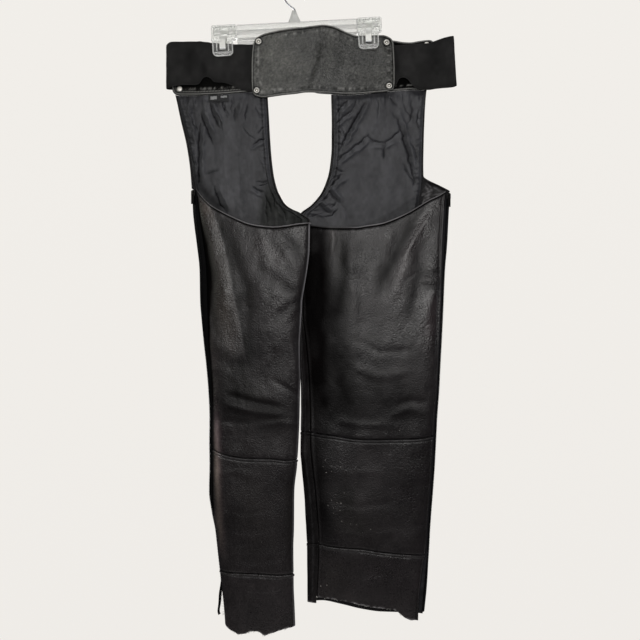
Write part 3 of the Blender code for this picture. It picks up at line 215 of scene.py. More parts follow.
# Thigh part of the front panels, an open sheet: its edge on the seat opening,
# its outer edge, their depths and the sheet's bulge towards the front.
THIGH_COLS = ("z", "x_edge", "x_out", "y_in", "y_out", "wall")
THIGH_L = (
    (-215, -56.0, -253.0, 3.0, 3.0, 0.0),
    (-236, -54.8, -248.6, 3.0, 3.0, 0.0),
    (-286, -52.3, -237.4, 2.0, 2.5, 2.0),
    (-338, -49.5, -224.9, -1.0, 2.0, 4.5),
    (-390, -44.4, -217.2, -5.0, 1.0, 6.5),
    (-427, -36.6, -214.4, -9.0, 1.0, 7.2),
    (-452, -25.2, -213.1, -13.0, 1.0, 8.0),
    (-463, -17.6, -212.5, -15.0, 1.0, 8.4),
    (-473, -3.6, -212.0, -18.0, 1.0, 8.8),
    (-479, 10.0, -211.7, -20.0, 1.0, 9.1),
    (-487, 22.0, -211.2, -21.5, 1.0, 9.4),
    (-495, 32.6, -210.4, -22.0, 1.0, 9.8),
    (-502, 32.8, -209.2, -22.0, 1.0, 10.0),
)
THIGH_R = (
    (-215, 76.0, 277.0, 2.5, 3.0, 0.0),
    (-236, 76.2, 274.6, 2.5, 3.0, 0.0),
    (-286, 77.4, 271.2, 3.0, 2.5, 2.0),
    (-338, 77.2, 269.2, 3.5, 2.0, 4.0),
    (-380, 73.6, 268.4, 4.5, 1.5, 5.5),
    (-402, 69.4, 268.8, 5.5, 1.0, 6.2),
    (-411, 66.4, 281.0, 5.7, 1.0, 6.5),
    (-419, 63.5, 298.0, 6.0, 1.0, 6.8),
    (-427, 60.0, 314.0, 6.3, 1.0, 7.0),
    (-434, 56.4, 324.4, 6.5, 1.0, 7.3),
    (-452, 43.1, 323.3, 7.0, 1.0, 8.0),
    (-463, 32.0, 322.6, 7.3, 1.0, 8.4),
    (-477, 13.5, 321.7, 7.8, 1.0, 9.0),
    (-486, 8.0, 321.2, 8.0, 1.0, 9.5),
    (-502, 7.0, 320.5, 8.0, 1.0, 10.0),
)

# Edges that run across a leg: x along the edge, z of the edge there.
EDGE_COLS = ("x", "z")
BACK_TOP_L = ((33, -501), (14, -503), (-14, -507), (-42, -509), (-69, -507), (-97, -502),
              (-123, -492), (-152, -478), (-180, -461), (-200, -438), (-206, -428))
BACK_TOP_R = ((7, -503), (34, -504), (58, -507), (92, -508), (126, -508), (148, -505), (182, -500),
              (211, -490), (238, -478), (260, -465), (283, -451), (305, -440), (315, -433))
KNEE_L = ((7, -989), (-13, -990), (-40, -987), (-95, -986), (-123, -983), (-145, -978), (-169, -968))
KNEE_R = ((36, -933), (54, -937), (86, -941), (117, -946), (149, -948), (233, -947), (265, -945), (287, -941))
CALF_L = ((-2, -1226), (-27, -1227), (-78, -1224), (-130, -1223), (-152, -1219))
CALF_R = ((50, -1164), (75, -1169), (107, -1172), (139, -1174), (170, -1179), (233, -1185), (270, -1187))
HEM_BACK_L = ((3, -1335), (-10, -1337), (-27, -1341), (-44, -1347), (-58, -1351), (-72, -1344), (-85, -1343),
              (-97, -1348), (-111, -1350), (-123, -1344), (-135, -1338), (-143, -1331))
HEM_BACK_R = ((46, -1274), (75, -1277), (100, -1281), (139, -1290), (181, -1297), (205, -1299),
              (213, -1303), (222, -1311), (232, -1318), (245, -1322), (256, -1322))
HEM_FRONT_L = ((3, -1331), (-27, -1337), (-58, -1344), (-85, -1338), (-111, -1343), (-143, -1326))
HEM_FRONT_R = ((29, -1287), (54, -1287), (97, -1295), (139, -1305), (181, -1311), (213, -1312), (268, -1313))
LINING_BELOW = 50.0  # the lining ends this far below the back panels' top edge

# ------------------------------------------------------------------- the belt
# Waistbands: x, top and bottom edge, mid depth of outer leather and of facing.
BAND_COLS = ("x", "top", "bottom", "outer", "facing")
BAND_L = (
    (-255, -150, -218, 3.05, -1.30), (-253, -139, -226, 3.05, -1.30), (-249, -134, -231, 3.05, -1.30),
    (-238, -132, -234, 3.05, -1.30), (-203, -132, -234, 3.05, -1.30), (-180, -132, -233, 1.70, -0.35),
    (-143, -132, -231, 1.70, -0.35), (-109, -132, -228, 1.90, -0.15), (-60, -132, -224, 3.00, 0.95),
    (-26, -132, -225, 3.90, 1.85), (-20, -137, -220, 4.00, 1.95),
)
BAND_R = (
    (38, -138, -222, 4.00, 1.95), (44, -131, -228, 3.90, 1.85), (76, -130, -231, 3.00, 0.95),
    (104, -129, -233, 0.90, -1.15), (126, -127, -232.7, -0.40, -2.45), (178, -124, -227, -0.40, -2.45),
    (203, -120, -225, 0.90, -1.15), (226, -123, -223, 1.90, -0.60), (240, -124, -222, 3.05, -1.30),
    (260, -121, -222, 3.05, -1.30), (280, -119, -220, 3.05, -1.30), (288, -122, -216, 3.05, -1.30),
    (290, -130, -208, 3.05, -1.30),
)
# Elastics, from their end behind the lumbar panel out to the side, round the
# fold and back between the two layers of the waistband's side end.
# lean: how far the lower edge lies further along +X than the upper edge.
WEB_COLS = ("x", "y", "top", "bottom", "lean")
WEB_L = (
    (-58, -5.2, -134, -226, 0), (-88, -5.2, -133, -226.5, 0), (-98, -4.5, -133, -225.5, 0), (-110, -3.4, -132, -222.5, 0),
    (-124, -2.5, -132, -216.5, 0), (-136, -2.4, -131, -211.5, 0), (-148, -2.4, -131, -208, 0), (-160, -2.4, -130, -207.5, 0),
    (-168, -2.4, -129, -206, 0), (-173, -2.7, -129, -200.5, 0), (-178, -3.3, -128, -197.5, 0), (-183.5, -4.3, -128, -196.5, 0),
    (-190, -6.0, -128, -200.5, 0), (-196, -7.4, -127, -210, 0), (-202, -8.6, -127, -214, 0), (-213, -10.4, -126, -215, 0),
    (-232, -12.4, -127, -215.5, 0), (-250, -12.6, -127, -218.5, 0), (-260, -10.4, -128, -221, 0), (-264.6, -6.6, -131, -222, 0),
    (-264.0, -2.6, -131, -222, 0), (-260.8, -0.1, -131, -222, 0), (-256.5, 0.75, -131, -222, 0),
    (-240, 0.75, -134, -222, 0), (-205, 0.75, -134, -222, 0),
)
WEB_R = (
    (189.5, -4.8, -132, -218, 0), (200, -5.2, -132, -219, 0), (211, -6.4, -132, -213, 0), (217, -7.2, -132, -202, 0),
    (225, -8.4, -131, -199, 0), (234, -9.7, -131, -203, 0), (241, -10.6, -131, -212, 0), (250, -11.7, -130, -221, 0),
    (262, -13.0, -130, -225, 0), (278, -14.2, -129, -226, 0), (292, -14.8, -124.5, -224, 1), (308, -14.4, -119, -222, 3),
    (322, -12.2, -115, -219, 5), (331, -8.0, -112.5, -216, 6), (333, -2.4, -112.5, -215, 6), (328.5, 2.2, -114, -216, 5),
    (318, 4.0, -117, -217, 4), (306, 2.8, -121, -218, 2), (297, 1.2, -124.5, -218, 1), (290.5, 0.75, -127, -218, 0),
    (270, 0.75, -130, -218, 0), (242, 0.75, -131, -218, 0),
)
# Lumbar panel: x, top and bottom edge, mid depth.
LUMBAR_COLS = ("x", "top", "bottom", "y")
LUMBAR_PANEL = (
    (-89, -172, -206, -8.1), (-88, -150, -222, -8.1), (-86.5, -134, -230, -8.1), (-84, -125, -234, -8.1),
    (-79, -117, -238, -8.2), (-65, -109, -241, -8.7), (-45, -104, -239, -9.6), (-23, -100, -236, -10.4),
    (0, -97, -234, -11.1), (22, -95, -231, -11.7), (45, -92, -231, -12.0), (63, -90.5, -232, -11.6),
    (83, -94, -233, -9.8), (98, -100, -234, -8.0), (112, -106, -234, -6.4), (124, -110, -234, -5.4),
    (131, -111, -234, -5.1), (153, -111, -232, -5.1), (180.5, -110, -230, -5.1), (189, -112, -229, -7.9),
    (197, -116, -227, -8.9), (203, -122, -225, -9.4), (206, -135, -221, -9.7), (208, -178, -211, -9.9),
)
# Snaps and rivets: name, x, z, the surface they sit on, and which way they face.
STUD_COLS = ("name", "x", "z", "on", "face")
STUDS = (
    ("snap_back_TL", -74, -125, "lumbar", -1), ("snap_back_BL", -78, -226, "lumbar", -1),
    ("snap_back_TR", 191, -127, "lumbar", -1), ("snap_back_BR", 196, -217, "lumbar", -1),
    ("rivet_in_L_low", -239, -221, "facing_L", -1), ("rivet_in_L_high", -239, -142, "facing_L", -1),
    ("rivet_in_R_low", 275, -211, "facing_R", -1), ("rivet_in_R_high", 275, -129.5, "facing_R", -1),
    ("rivet_out_L_low", -239, -221, "outer_L", 1), ("rivet_out_L_high", -239, -142, "outer_L", 1),
    ("rivet_out_R_low", 275, -211, "outer_R", 1), ("rivet_out_R_high", 275, -129.5, "outer_R", 1),
)
STUD_PROFILE = ((0.0, 0.0), (6.2, 0.0), (6.2, 0.7), (5.5, 1.7), (4.3, 2.2), (3.2, 2.0), (2.2, 1.1), (0.0, 0.9))
STUD_SIDES = 14

# Front closure: strap through a frame buckle, on the outside of the waistbands.
STRAP_Z, STRAP_WIDTH, STRAP = -181.0, 38.0, 2.4
STRAP_PATH = ((92, 4.9), (76, 5.7), (56, 6.2), (38, 6.5), (30, 6.5), (24, 7.2), (16, 9.2), (8, 11.4),
              (0, 13.4), (-6, 14.1), (-14, 14.1), (-48, 14.1))
BUCKLE_X, BUCKLE_Y, BUCKLE_R = (-10.0, 32.0), (9.2, 9.7), 1.6
BUCKLE_HALF_HEIGHT = 22.6
TAB, TAB_WIDTH, TAB_R = 1.3, 34.0, 2.55

# -------------------------------------------------------------------- the zips
ZIP_TOP = {"L": -430.6, "R": -436.6}
ZIP_END = {"L": -1250.0, "R": -1306.0}
SLIDER_Z = {"L": -438.0, "R": -444.0}
CHAIN_HALF, CHAIN_RISE = 2.2, 1.3
ZIP_TAIL = ((-154.0, -1255), (-155.6, -1283), (-158.0, -1304), (-157.4, -1314))  # x, z of its middle

# ------------------------------------------------------------------ the hanger
WIRE = 1.6
HOOK_R = 24.0
HOOK_STEM = ((0.5, -62.6), (0.6, -58.4), (0.1, -55.4), (-3.6, -51.6), (-9.8, -47.4), (-16.2, -40.9))  # x, z
BAR_ORIGIN = (0.0, 0.0, -81.3)
BAR_TILT = math.radians(3.0)
BAR_U = (-120.8, 127.4)        # the bar's ends along its own length
# Bar profile: depth below its top edge, half thickness.
BAR_PROFILE = ((0.0, 1.8), (1.2, 3.0), (9.6, 3.0), (11.0, 1.3), (20.8, 1.3), (22.2, 3.0), (28.4, 3.0), (29.4, 1.3),
               (30.6, 1.3), (31.6, 3.0), (34.4, 3.0), (35.6, 1.3), (41.0, 1.3), (41.8, 2.6), (43.0, 2.0))
TONGUE = (-2.0, -19.0, 2.6)    # top, bottom, half thickness of the bar's ends inside the clips
NECK = ((-1.5, 14.0, 4.6), (8.0, 9.5, 4.4), (24.0, 3.5, 3.5))  # height, half width, half thickness
JAW = 3.0
# Clips: middle along the bar, and for the seat-side and front-side jaws the
# inner face's depth at levels below the bar's top edge.
CLIPS = {
    "L": {"u": -147.6, "seat": ((1, -3.3), (-40, -3.7), (-64.5, -3.8)), "front": ((1, 3.05), (-40, 3.05), (-64.5, 3.05))},
    "R": {"u": 154.2, "seat": ((1, -3.3), (-20, -5.2), (-36, -7.1), (-64.5, -7.1)), "front": ((1, 3.05), (-20, 3.05), (-40, 0.95), (-64.5, 0.95))},
}
JAW_HALF = (26.0, 22.0)        # half width of the grip and of the mouth
JAW_STEP, JAW_END, JAW_ROUND = -32.0, -64.5, 10.0
SPRING = (6.0, 0.8, -23.2, -51.5)  # half width, thickness, bridge level, lower end of the legs



# =============================================================== small helpers
def smooth01(t):
    t = np.clip(t, 0.0, 1.0)
    return t * t * (3 - 2 * t)


class Track:
    """Monotone cubic curves through a table's columns, over its first column."""

    def __init__(self, rows, cols, use=None):
        a = np.array([[r[cols.index(c)] for c in (use or cols)] for r in rows], float)
        self.cols = list(use or cols)[1:]
        a = a[np.argsort(a[:, 0])]
        self.t, self.v = a[:, 0], a[:, 1:]
        h = np.diff(self.t)[:, None]
        d = np.diff(self.v, axis=0) / h
        m = np.zeros_like(self.v)
        m[0], m[-1] = d[0], d[-1]
        for i in range(1, len(self.t) - 1):
            same = d[i - 1] * d[i] > 0
            w1, w2 = 2 * h[i] + h[i - 1], h[i] + 2 * h[i - 1]
            with np.errstate(divide="ignore", invalid="ignore"):
                hm = (w1 + w2) / (w1 / d[i - 1] + w2 / d[i])
            m[i] = np.where(same, hm, 0.0)
        self.m = m

    def at(self, t):
        t = float(min(max(t, self.t[0]), self.t[-1]))
        i = int(min(max(np.searchsorted(self.t, t) - 1, 0), len(self.t) - 2))
        h = self.t[i + 1] - self.t[i]
        q = (t - self.t[i]) / h
        a = (1 + 2 * q) * (1 - q) ** 2 * self.v[i] + q * (1 - q) ** 2 * h * self.m[i]
        b = q * q * (3 - 2 * q) * self.v[i + 1] + q * q * (q - 1) * h * self.m[i + 1]
        return dict(zip(self.cols, a + b))



# ================================================================ leg sections
class Section:
    """A leg tube cut level: the seat side from inner to outer edge, then back
    along the front side.  s is the distance along that loop."""

    def __init__(self, x_in, x_out, y_in, y_out, cam, wall, shift=None):
        side = 1.0 if x_out > x_in else -1.0
        w = abs(x_out - x_in)
        near = CORNER * (np.arange(41) / 40.0) ** POWER
        d = np.concatenate([near, np.linspace(CORNER, w - CORNER, 33)[1:-1], (w - near)[::-1]])
        line = y_in + (y_out - y_in) * d / w
        round_ = lambda q: (1 - (1 - np.clip(q, 0, 1)) ** POWER) ** (1 / POWER)
        rise = round_(d / CORNER) * round_((w - d) / CORNER)
        x = x_in + side * d
        extra = np.array([shift(v) for v in x]) if shift else 0.0
        seat = np.stack([x, line - cam * rise + extra], 1)
        front = np.stack([x, line + wall * rise + extra], 1)
        self.loop = np.concatenate([seat, front[::-1][1:]])
        t = np.gradient(self.loop, axis=0)
        t[0] = t[-1] = (0.0, -1.0)
        k = len(seat) - 1
        t[k] = (0.0, 1.0)
        t /= np.maximum(np.linalg.norm(t, axis=1), 1e-9)[:, None]
        self.n = side * np.stack([t[:, 1], -t[:, 0]], 1)
        self.s = np.concatenate([[0], np.cumsum(np.linalg.norm(np.diff(self.loop, axis=0), axis=1))])
        self.k, self.side = k, side
        self.tip, self.total = self.s[k], self.s[-1]

    def at(self, s):
        s = s % self.total if s < 0 or s > self.total else s
        p = [np.interp(s, self.s, self.loop[:, c]) for c in (0, 1)]
        n = np.array([np.interp(s, self.s, self.n[:, c]) for c in (0, 1)])
        n /= max(np.linalg.norm(n), 1e-9)
        return np.array(p), n

    def many(self, s):
        """Points and normals at several distances along the loop."""
        s = np.asarray(s, float)
        s = np.where((s < 0) | (s > self.total), s % self.total, s)
        p = np.stack([np.interp(s, self.s, self.loop[:, c]) for c in (0, 1)], 1)
        n = np.stack([np.interp(s, self.s, self.n[:, c]) for c in (0, 1)], 1)
        return p, n / np.maximum(np.linalg.norm(n, axis=1), 1e-9)[:, None]

    def seat_s(self, x):
        xs = self.loop[: self.k + 1, 0] * self.side
        return float(np.interp(x * self.side, xs, self.s[: self.k + 1]))

    def front_s(self, x):
        xs = self.loop[self.k:, 0][::-1] * self.side
        return float(np.interp(x * self.side, xs, self.s[self.k:][::-1]))


TUBE = {"L": Track(LEG_L, LEG_COLS), "R": Track(LEG_R, LEG_COLS)}
THIGH = {"L": Track(THIGH_L, THIGH_COLS), "R": Track(THIGH_R, THIGH_COLS)}
BAND = {"L": Track(BAND_L, BAND_COLS), "R": Track(BAND_R, BAND_COLS)}
SIGN = {"L": -1.0, "R": 1.0}
CROTCH = -502.0
HALF = LEATHER / 2


def edge_track(rows):
    """z over the share of the way from an edge's first x to its last."""
    x0, x1 = rows[0][0], rows[-1][0]
    return Track([((x - x0) / (x1 - x0), z) for x, z in rows], ("f", "z"))


def tube_section(leg, z):
    v = TUBE[leg].at(z)
    g = SIGN[leg]
    return Section(v["x_in"] + g * HALF, v["x_out"] - g * HALF, v["y_in"], v["y_out"], v["cam"], v["wall"]), v


def front_section(leg, z):
    """Section for the front panel: the open thigh sheet above the crotch, the tube below."""
    if z <= CROTCH:
        return tube_section(leg, z)
    v = TUBE[leg].at(z)
    t = THIGH[leg].at(z)
    g = SIGN[leg]
    fade = float(smooth01((z + 300) / 64))
    band, line0 = BAND[leg], (t["x_edge"], t["x_out"], t["y_in"], t["y_out"])

    def shift(x):
        q = (x - line0[0]) / (line0[1] - line0[0])
        return fade * (band.at(x)["outer"] - (line0[2] + (line0[3] - line0[2]) * q))

    sec = Section(t["x_edge"] + g * HALF, t["x_out"] - g * HALF, t["y_in"], t["y_out"],
                  t["wall"] * 0.6, t["wall"], shift if fade > 0 else None)
    return sec, dict(v, x_in=t["x_edge"], x_seam=t["x_edge"], x_out=t["x_out"])


def band_width(leg, z, x_zip, x_out):
    """How much of the zip's width lies on the seat side of the leg's edge."""
    if abs(x_zip - x_out) < 1.2:
        return 0.2
    sec, _ = tube_section(leg, z)
    return max(0.2, sec.tip - sec.seat_s(x_zip))


ZIP_BAND = {
    leg: Track([(r[0], band_width(leg, r[0], r[LEG_COLS.index("x_zip")], r[LEG_COLS.index("x_out")])) for r in rows], ("z", "w"))
    for leg, rows in (("L", LEG_L), ("R", LEG_R))
}


def zip_places(leg, z, sec):
    """Where the back panels end, the chain's middle and where the front panel starts."""
    band = ZIP_BAND[leg].at(z)["w"]
    s_chain = sec.tip - band / 2 + max(0.0, 3.6 - band / 2)
    return sec.tip - band, s_chain, max(sec.tip + 5.0, s_chain + 5.0)


LINING_OUT = {  # z, the lining's outer edge
    "L": ((-220, -246), (-236, -243.5), (-286, -232.5), (-338, -220.0), (-390, -212.0), (-425, -206.0), (-480, -200.0), (-600, -190.0)),
    "R": ((-220, 272), (-236, 270.5), (-286, 267.0), (-338, 265.5), (-394, 265.0), (-410, 264.5), (-465, 258.0), (-560, 252.0)),
}
LINING_INSET = 4.0
LINING_BACK = (LEATHER / 2 + GAP + 0.1 + NYLON / 2, 1.3)   # at the belt, and more below it




def catmull(points, per):
    """A smooth curve through the rows of a table, per pieces between two rows."""
    p = np.asarray(points, float)
    q = np.concatenate([[2 * p[0] - p[1]], p, [2 * p[-1] - p[-2]]])
    out = []
    for i in range(1, len(q) - 2):
        a, b, c, d = q[i - 1], q[i], q[i + 1], q[i + 2]
        for k in range(per):
            t = k / per
            out.append(0.5 * (2 * b + (c - a) * t + (2 * a - 5 * b + 4 * c - d) * t ** 2 + (3 * b - a - 3 * c + d) * t ** 3))
    out.append(p[-1])
    return np.array(out)




# ================================================================ fine surfaces
LEVEL = 2.0          # spacing of the sampled levels
GRIDS = {}           # the middle of each cloth piece's wall, in millimetres


def px_of(x):
    return x / 2.08 + 294.5


def py_of(z):
    return -z / 2.08 - 17.0


def spaced(length, step, ends=(0.0, 0.35, 0.9, 1.8, 3.0, 4.4, 6.0, 8.0, 10.5)):
    """Positions along a length, closer together near both ends."""
    n = max(2, int(round((length - 2 * ends[-1]) / step)))
    mid = np.linspace(ends[-1], length - ends[-1], n + 1)
    return np.concatenate([ends[:-1], mid, [length - e for e in ends[:-1]][::-1]])


def value_noise(u, v, seed):
    """Smooth noise from -1 to 1 over two coordinates, one bump a unit."""
    rng = np.random.RandomState(seed)
    table = rng.uniform(-1, 1, (256, 256))
    iu, iv = np.floor(u).astype(int), np.floor(v).astype(int)
    fu, fv = u - iu, v - iv
    fu, fv = fu * fu * fu * (fu * (fu * 6 - 15) + 10), fv * fv * fv * (fv * (fv * 6 - 15) + 10)
    g = lambda a, b: table[a % 256, b % 256]
    return (g(iu, iv) * (1 - fu) + g(iu + 1, iv) * fu) * (1 - fv) + (g(iu, iv + 1) * (1 - fu) + g(iu + 1, iv + 1) * fu) * fv


def distance_to(x, y, pts, closed=False):
    """Distance to a polyline, and how far along it the nearest point is."""
    pts = np.asarray(pts, float)
    if closed:
        pts = np.concatenate([pts, pts[:1]])
    best = np.full(np.shape(x), 1e9)
    along = np.zeros(np.shape(x))
    run = 0.0
    for (ax, ay), (bx, by) in zip(pts[:-1], pts[1:]):
        ln = math.hypot(bx - ax, by - ay)
        if ln < 1e-9:
            continue
        t = np.clip(((x - ax) * (bx - ax) + (y - ay) * (by - ay)) / ln ** 2, 0, 1)
        d = np.hypot(x - ax - t * (bx - ax), y - ay - t * (by - ay))
        m = d < best
        best = np.where(m, d, best)
        along = np.where(m, run + t * ln, along)
        run += ln
    return best, along, run


def folds(px, py, rows):
    """Height of listed folds: each row is (height mm, half width px,
    sharpness, points...), a ridge if the height is positive and a trough if not.
    Each fades out towards both its ends."""
    out = np.zeros(np.shape(px))
    for height, width, power, *pts in rows:
        d, s, total = distance_to(px, py, pts)
        q = np.clip(s / total, 0, 1)
        fade = np.clip(np.sin(np.pi * (0.08 + 0.84 * q)) * 1.35, 0, 1)
        out += height * fade * np.exp(-(d / width) ** power)
    return out


def fold_edges(px, py, rows):
    """Painted light and shade beside listed fold edges that run down the cloth: each row is (painted light to the
    left, its width, painted shade to the right, its width, points...)."""
    out = np.zeros(np.shape(px))
    for light, wide, dark, narrow, *pts in rows:
        xs, ys = [q[0] for q in pts], [q[1] for q in pts]
        d = px - np.interp(py, ys, xs)
        fade = smooth01((py - ys[0]) / 10.0) * smooth01((ys[-1] - py) / 16.0)
        side = light * np.exp(-(d / wide) ** 4) * smooth01((1.2 - d) / 2.4) - dark * np.exp(-(d / narrow) ** 2) * smooth01((d + 0.6) / 2.4)
        out += fade * side
    return out


def set_fields(mesh, fields):
    """Point attributes that the materials read: light and shade painted in stops along with random unevenness, paling
    from 0 to 1 for scuffs and painted highlights, and a warm tint from 0 to 1.
    """
    for key, values in fields.items():
        att = mesh.attributes.new(key, "FLOAT", "POINT")
        att.data.foreach_set("value", np.asarray(values, np.float32).ravel())


def sheet_object(name, outer, inner, mats, inner_slot=0, rim_slot=0, angle=55, rim_slots=None, **fields):
    """A closed wall between two grids of points in millimetres.
    Each field is given on the outer grid, or as a pair for both grids."""
    n, m = outer.shape[:2]
    k = n * m
    GRIDS[name] = 0.5 * (outer + inner)
    verts = np.concatenate([outer.reshape(-1, 3), inner.reshape(-1, 3)]) * MM
    idx = np.arange(k).reshape(n, m)
    a, b, c, d = idx[:-1, :-1], idx[:-1, 1:], idx[1:, 1:], idx[1:, :-1]
    top = np.stack([a, b, c, d], -1).reshape(-1, 4)
    bot = top[:, ::-1] + k
    sides = []
    for e, flip in ((idx[0, :], 1), (idx[-1, :], 0), (idx[:, 0], 0), (idx[:, -1], 1)):
        q = np.stack([e[:-1], e[1:], e[1:] + k, e[:-1] + k], -1)
        sides.append(q[:, ::-1] if flip else q)
    faces = np.concatenate([top, bot] + sides)
    v0 = verts[faces[:, 0]]
    vol = (np.einsum("ij,ij->i", v0, np.cross(verts[faces[:, 1]], verts[faces[:, 2]]))
           + np.einsum("ij,ij->i", v0, np.cross(verts[faces[:, 2]], verts[faces[:, 3]]))).sum()
    if vol < 0:
        faces = faces[:, ::-1]
    mesh = bpy.data.meshes.new(name)
    mesh.vertices.add(len(verts))
    mesh.vertices.foreach_set("co", verts.astype(np.float32).ravel())
    mesh.loops.add(faces.size)
    mesh.loops.foreach_set("vertex_index", faces.astype(np.int32).ravel())
    mesh.polygons.add(len(faces))
    mesh.polygons.foreach_set("loop_start", np.arange(0, faces.size, 4, dtype=np.int32))
    mesh.polygons.foreach_set("loop_total", np.full(len(faces), 4, np.int32))
    slots = [np.full(len(top), 0), np.broadcast_to(np.asarray(inner_slot), (n - 1, m - 1)).reshape(-1)]
    for i, s in enumerate(sides):
        slots.append(np.full(len(s), (rim_slots or [rim_slot] * 4)[i]))
    mesh.polygons.foreach_set("material_index", np.concatenate(slots).astype(np.int32))
    mesh.update(calc_edges=True)
    mesh.validate()
    both = {}
    for key, val in fields.items():
        a_, b_ = val if isinstance(val, tuple) else (val, 0.0)
        both[key] = np.concatenate([np.broadcast_to(q, (n, m)).reshape(-1) for q in (a_, b_)])
    set_fields(mesh, both)
    mesh.shade_smooth()
    mesh.set_sharp_from_angle(angle=math.radians(angle))
    for mat in (mats if isinstance(mats, (list, tuple)) else [mats]):
        mesh.materials.append(mat)
    obj = bpy.data.objects.new(name, mesh)
    bpy.context.scene.collection.objects.link(obj)
    return obj


def raw_object(name, verts, faces, mat, smooth=True, angle=40):
    """A mesh from points in millimetres, its faces turned outwards."""
    mesh = bpy.data.meshes.new(name)
    mesh.from_pydata([tuple(np.asarray(v) * MM) for v in verts], [], [tuple(int(i) for i in f) for f in faces])
    bm = bmesh.new()
    bm.from_mesh(mesh)
    bmesh.ops.recalc_face_normals(bm, faces=bm.faces)
    bm.to_mesh(mesh)
    bm.free()
    if smooth:
        mesh.shade_smooth()
        mesh.set_sharp_from_angle(angle=math.radians(angle))
    mesh.materials.append(mat)
    obj = bpy.data.objects.new(name, mesh)
    bpy.context.scene.collection.objects.link(obj)
    return obj


def stitches(name, runs, mat, pitch=3.4, length=2.5, radius=0.36, lift=0.15):
    """Thread along paths: each run is (points, normals), one small lens a stitch."""
    V, F = [], []
    for pts, nrm in runs:
        pts, nrm = np.asarray(pts, float), np.asarray(nrm, float)
        s = np.concatenate([[0], np.cumsum(np.linalg.norm(np.diff(pts, axis=0), axis=1))])
        n = int(s[-1] // pitch)
        if n < 1:
            continue
        at = lambda q, a: np.stack([np.interp(q, s, a[:, i]) for i in range(3)], -1)
        mid = (np.arange(n) + 0.5) * s[-1] / n
        c, p0, p1, m = at(mid, pts), at(mid - length / 2, pts), at(mid + length / 2, pts), at(mid, nrm)
        for ci, a, b, ni in zip(c, p0, p1, m):
            t = b - a
            ln = np.linalg.norm(t)
            if ln < 1e-6:
                continue
            t /= ln
            ni = ni - t * np.dot(ni, t)
            ni /= max(np.linalg.norm(ni), 1e-9)
            w = np.cross(t, ni)
            k = len(V)
            o = ci + ni * lift
            V.append(a - ni * 0.1)
            for q in (-0.32, 0.32):
                e = o + t * q * length
                V += [e + w * radius, e + ni * radius, e - w * radius, e - ni * radius]
            V.append(b - ni * 0.1)
            for i in range(4):
                j = (i + 1) % 4
                F += [(k, k + 1 + j, k + 1 + i), (k + 1 + i, k + 1 + j, k + 5 + j, k + 5 + i), (k + 9, k + 5 + i, k + 5 + j)]
    return raw_object(name, V, F, mat, angle=180)


class Surface:
    """A leg surface sampled at close levels, over its own columns."""

    def __init__(self, leg, high, low, section, columns):
        self.z = np.arange(high, low - LEVEL, -LEVEL)
        P, N = [], []
        for z in self.z:
            sec, v = section(leg, z)
            s = np.asarray(columns(leg, z, sec, v))
            p, n = sec.many(s)
            P.append(p)
            N.append(n)
        self.P, self.N = np.array(P), np.array(N)

    def at(self, z, f=None):
        """Position and level normal at levels z (rows, columns)."""
        t = np.clip((self.z[0] - z) / LEVEL, 0, len(self.z) - 1.001)
        i = t.astype(int)
        w = (t - i)[..., None]
        j = np.broadcast_to(np.arange(self.P.shape[1]), z.shape)
        p = self.P[i, j] * (1 - w) + self.P[i + 1, j] * w
        n = self.N[i, j] * (1 - w) + self.N[i + 1, j] * w
        n /= np.linalg.norm(n, axis=-1, keepdims=True)
        return p, n


def to_points(p, z):
    return np.concatenate([p, z[..., None]], -1)


def wall(p, n, z, d_out, d_in, thick, round_edges=True):
    """Outer and inner grids of a wall about a surface, its edges rounded."""
    t = np.full(z.shape, thick / 2)
    if round_edges:
        for sl in (np.s_[0, :], np.s_[-1, :], np.s_[:, 0], np.s_[:, -1]):
            t[sl] = thick * 0.24
        for sl in (np.s_[1, 1:-1], np.s_[-2, 1:-1], np.s_[1:-1, 1], np.s_[1:-1, -2]):
            t[sl] = np.minimum(t[sl], thick * 0.43)
    o = p + n * (t + d_out)[..., None]
    i = p - n * (t - d_in)[..., None]
    return to_points(o, z), to_points(i, z)


# =================================================================== materials
def new_material(name):
    mat = bpy.data.materials.new(name)
    mat.use_nodes = True
    tree = mat.node_tree
    bsdf = tree.nodes["Principled BSDF"]
    return mat, tree, bsdf


def node(tree, kind, inputs=(), **props):
    n = tree.nodes.new(kind)
    for k, v in props.items():
        setattr(n, k, v)
    for key, val in dict(inputs).items():
        if isinstance(val, bpy.types.NodeSocket):
            tree.links.new(val, n.inputs[key])
        else:
            n.inputs[key].default_value = val
    return n


def coords(tree, scale=(1, 1, 1)):
    tc = node(tree, "ShaderNodeTexCoord")
    mp = node(tree, "ShaderNodeMapping", {"Vector": tc.outputs["Object"], "Scale": scale})
    return mp.outputs["Vector"]


def ramp(tree, fac, stops):
    r = node(tree, "ShaderNodeValToRGB", {"Fac": fac})
    e = r.color_ramp.elements
    while len(e) > len(stops):
        e.remove(e[-1])
    while len(e) < len(stops):
        e.new(0.5)
    for el, (pos, col) in zip(e, stops):
        el.position = pos
        el.color = (*col, 1.0) if len(col) == 3 else col
    return r.outputs["Color"]


def grey(v):
    return (v, v, v)


def read(tree, name):
    return node(tree, "ShaderNodeAttribute", attribute_name=name).outputs["Fac"]


def math_node(tree, op, a, b=0.0, clamp=False):
    return node(tree, "ShaderNodeMath", {0: a, 1: b}, operation=op, use_clamp=clamp).outputs[0]


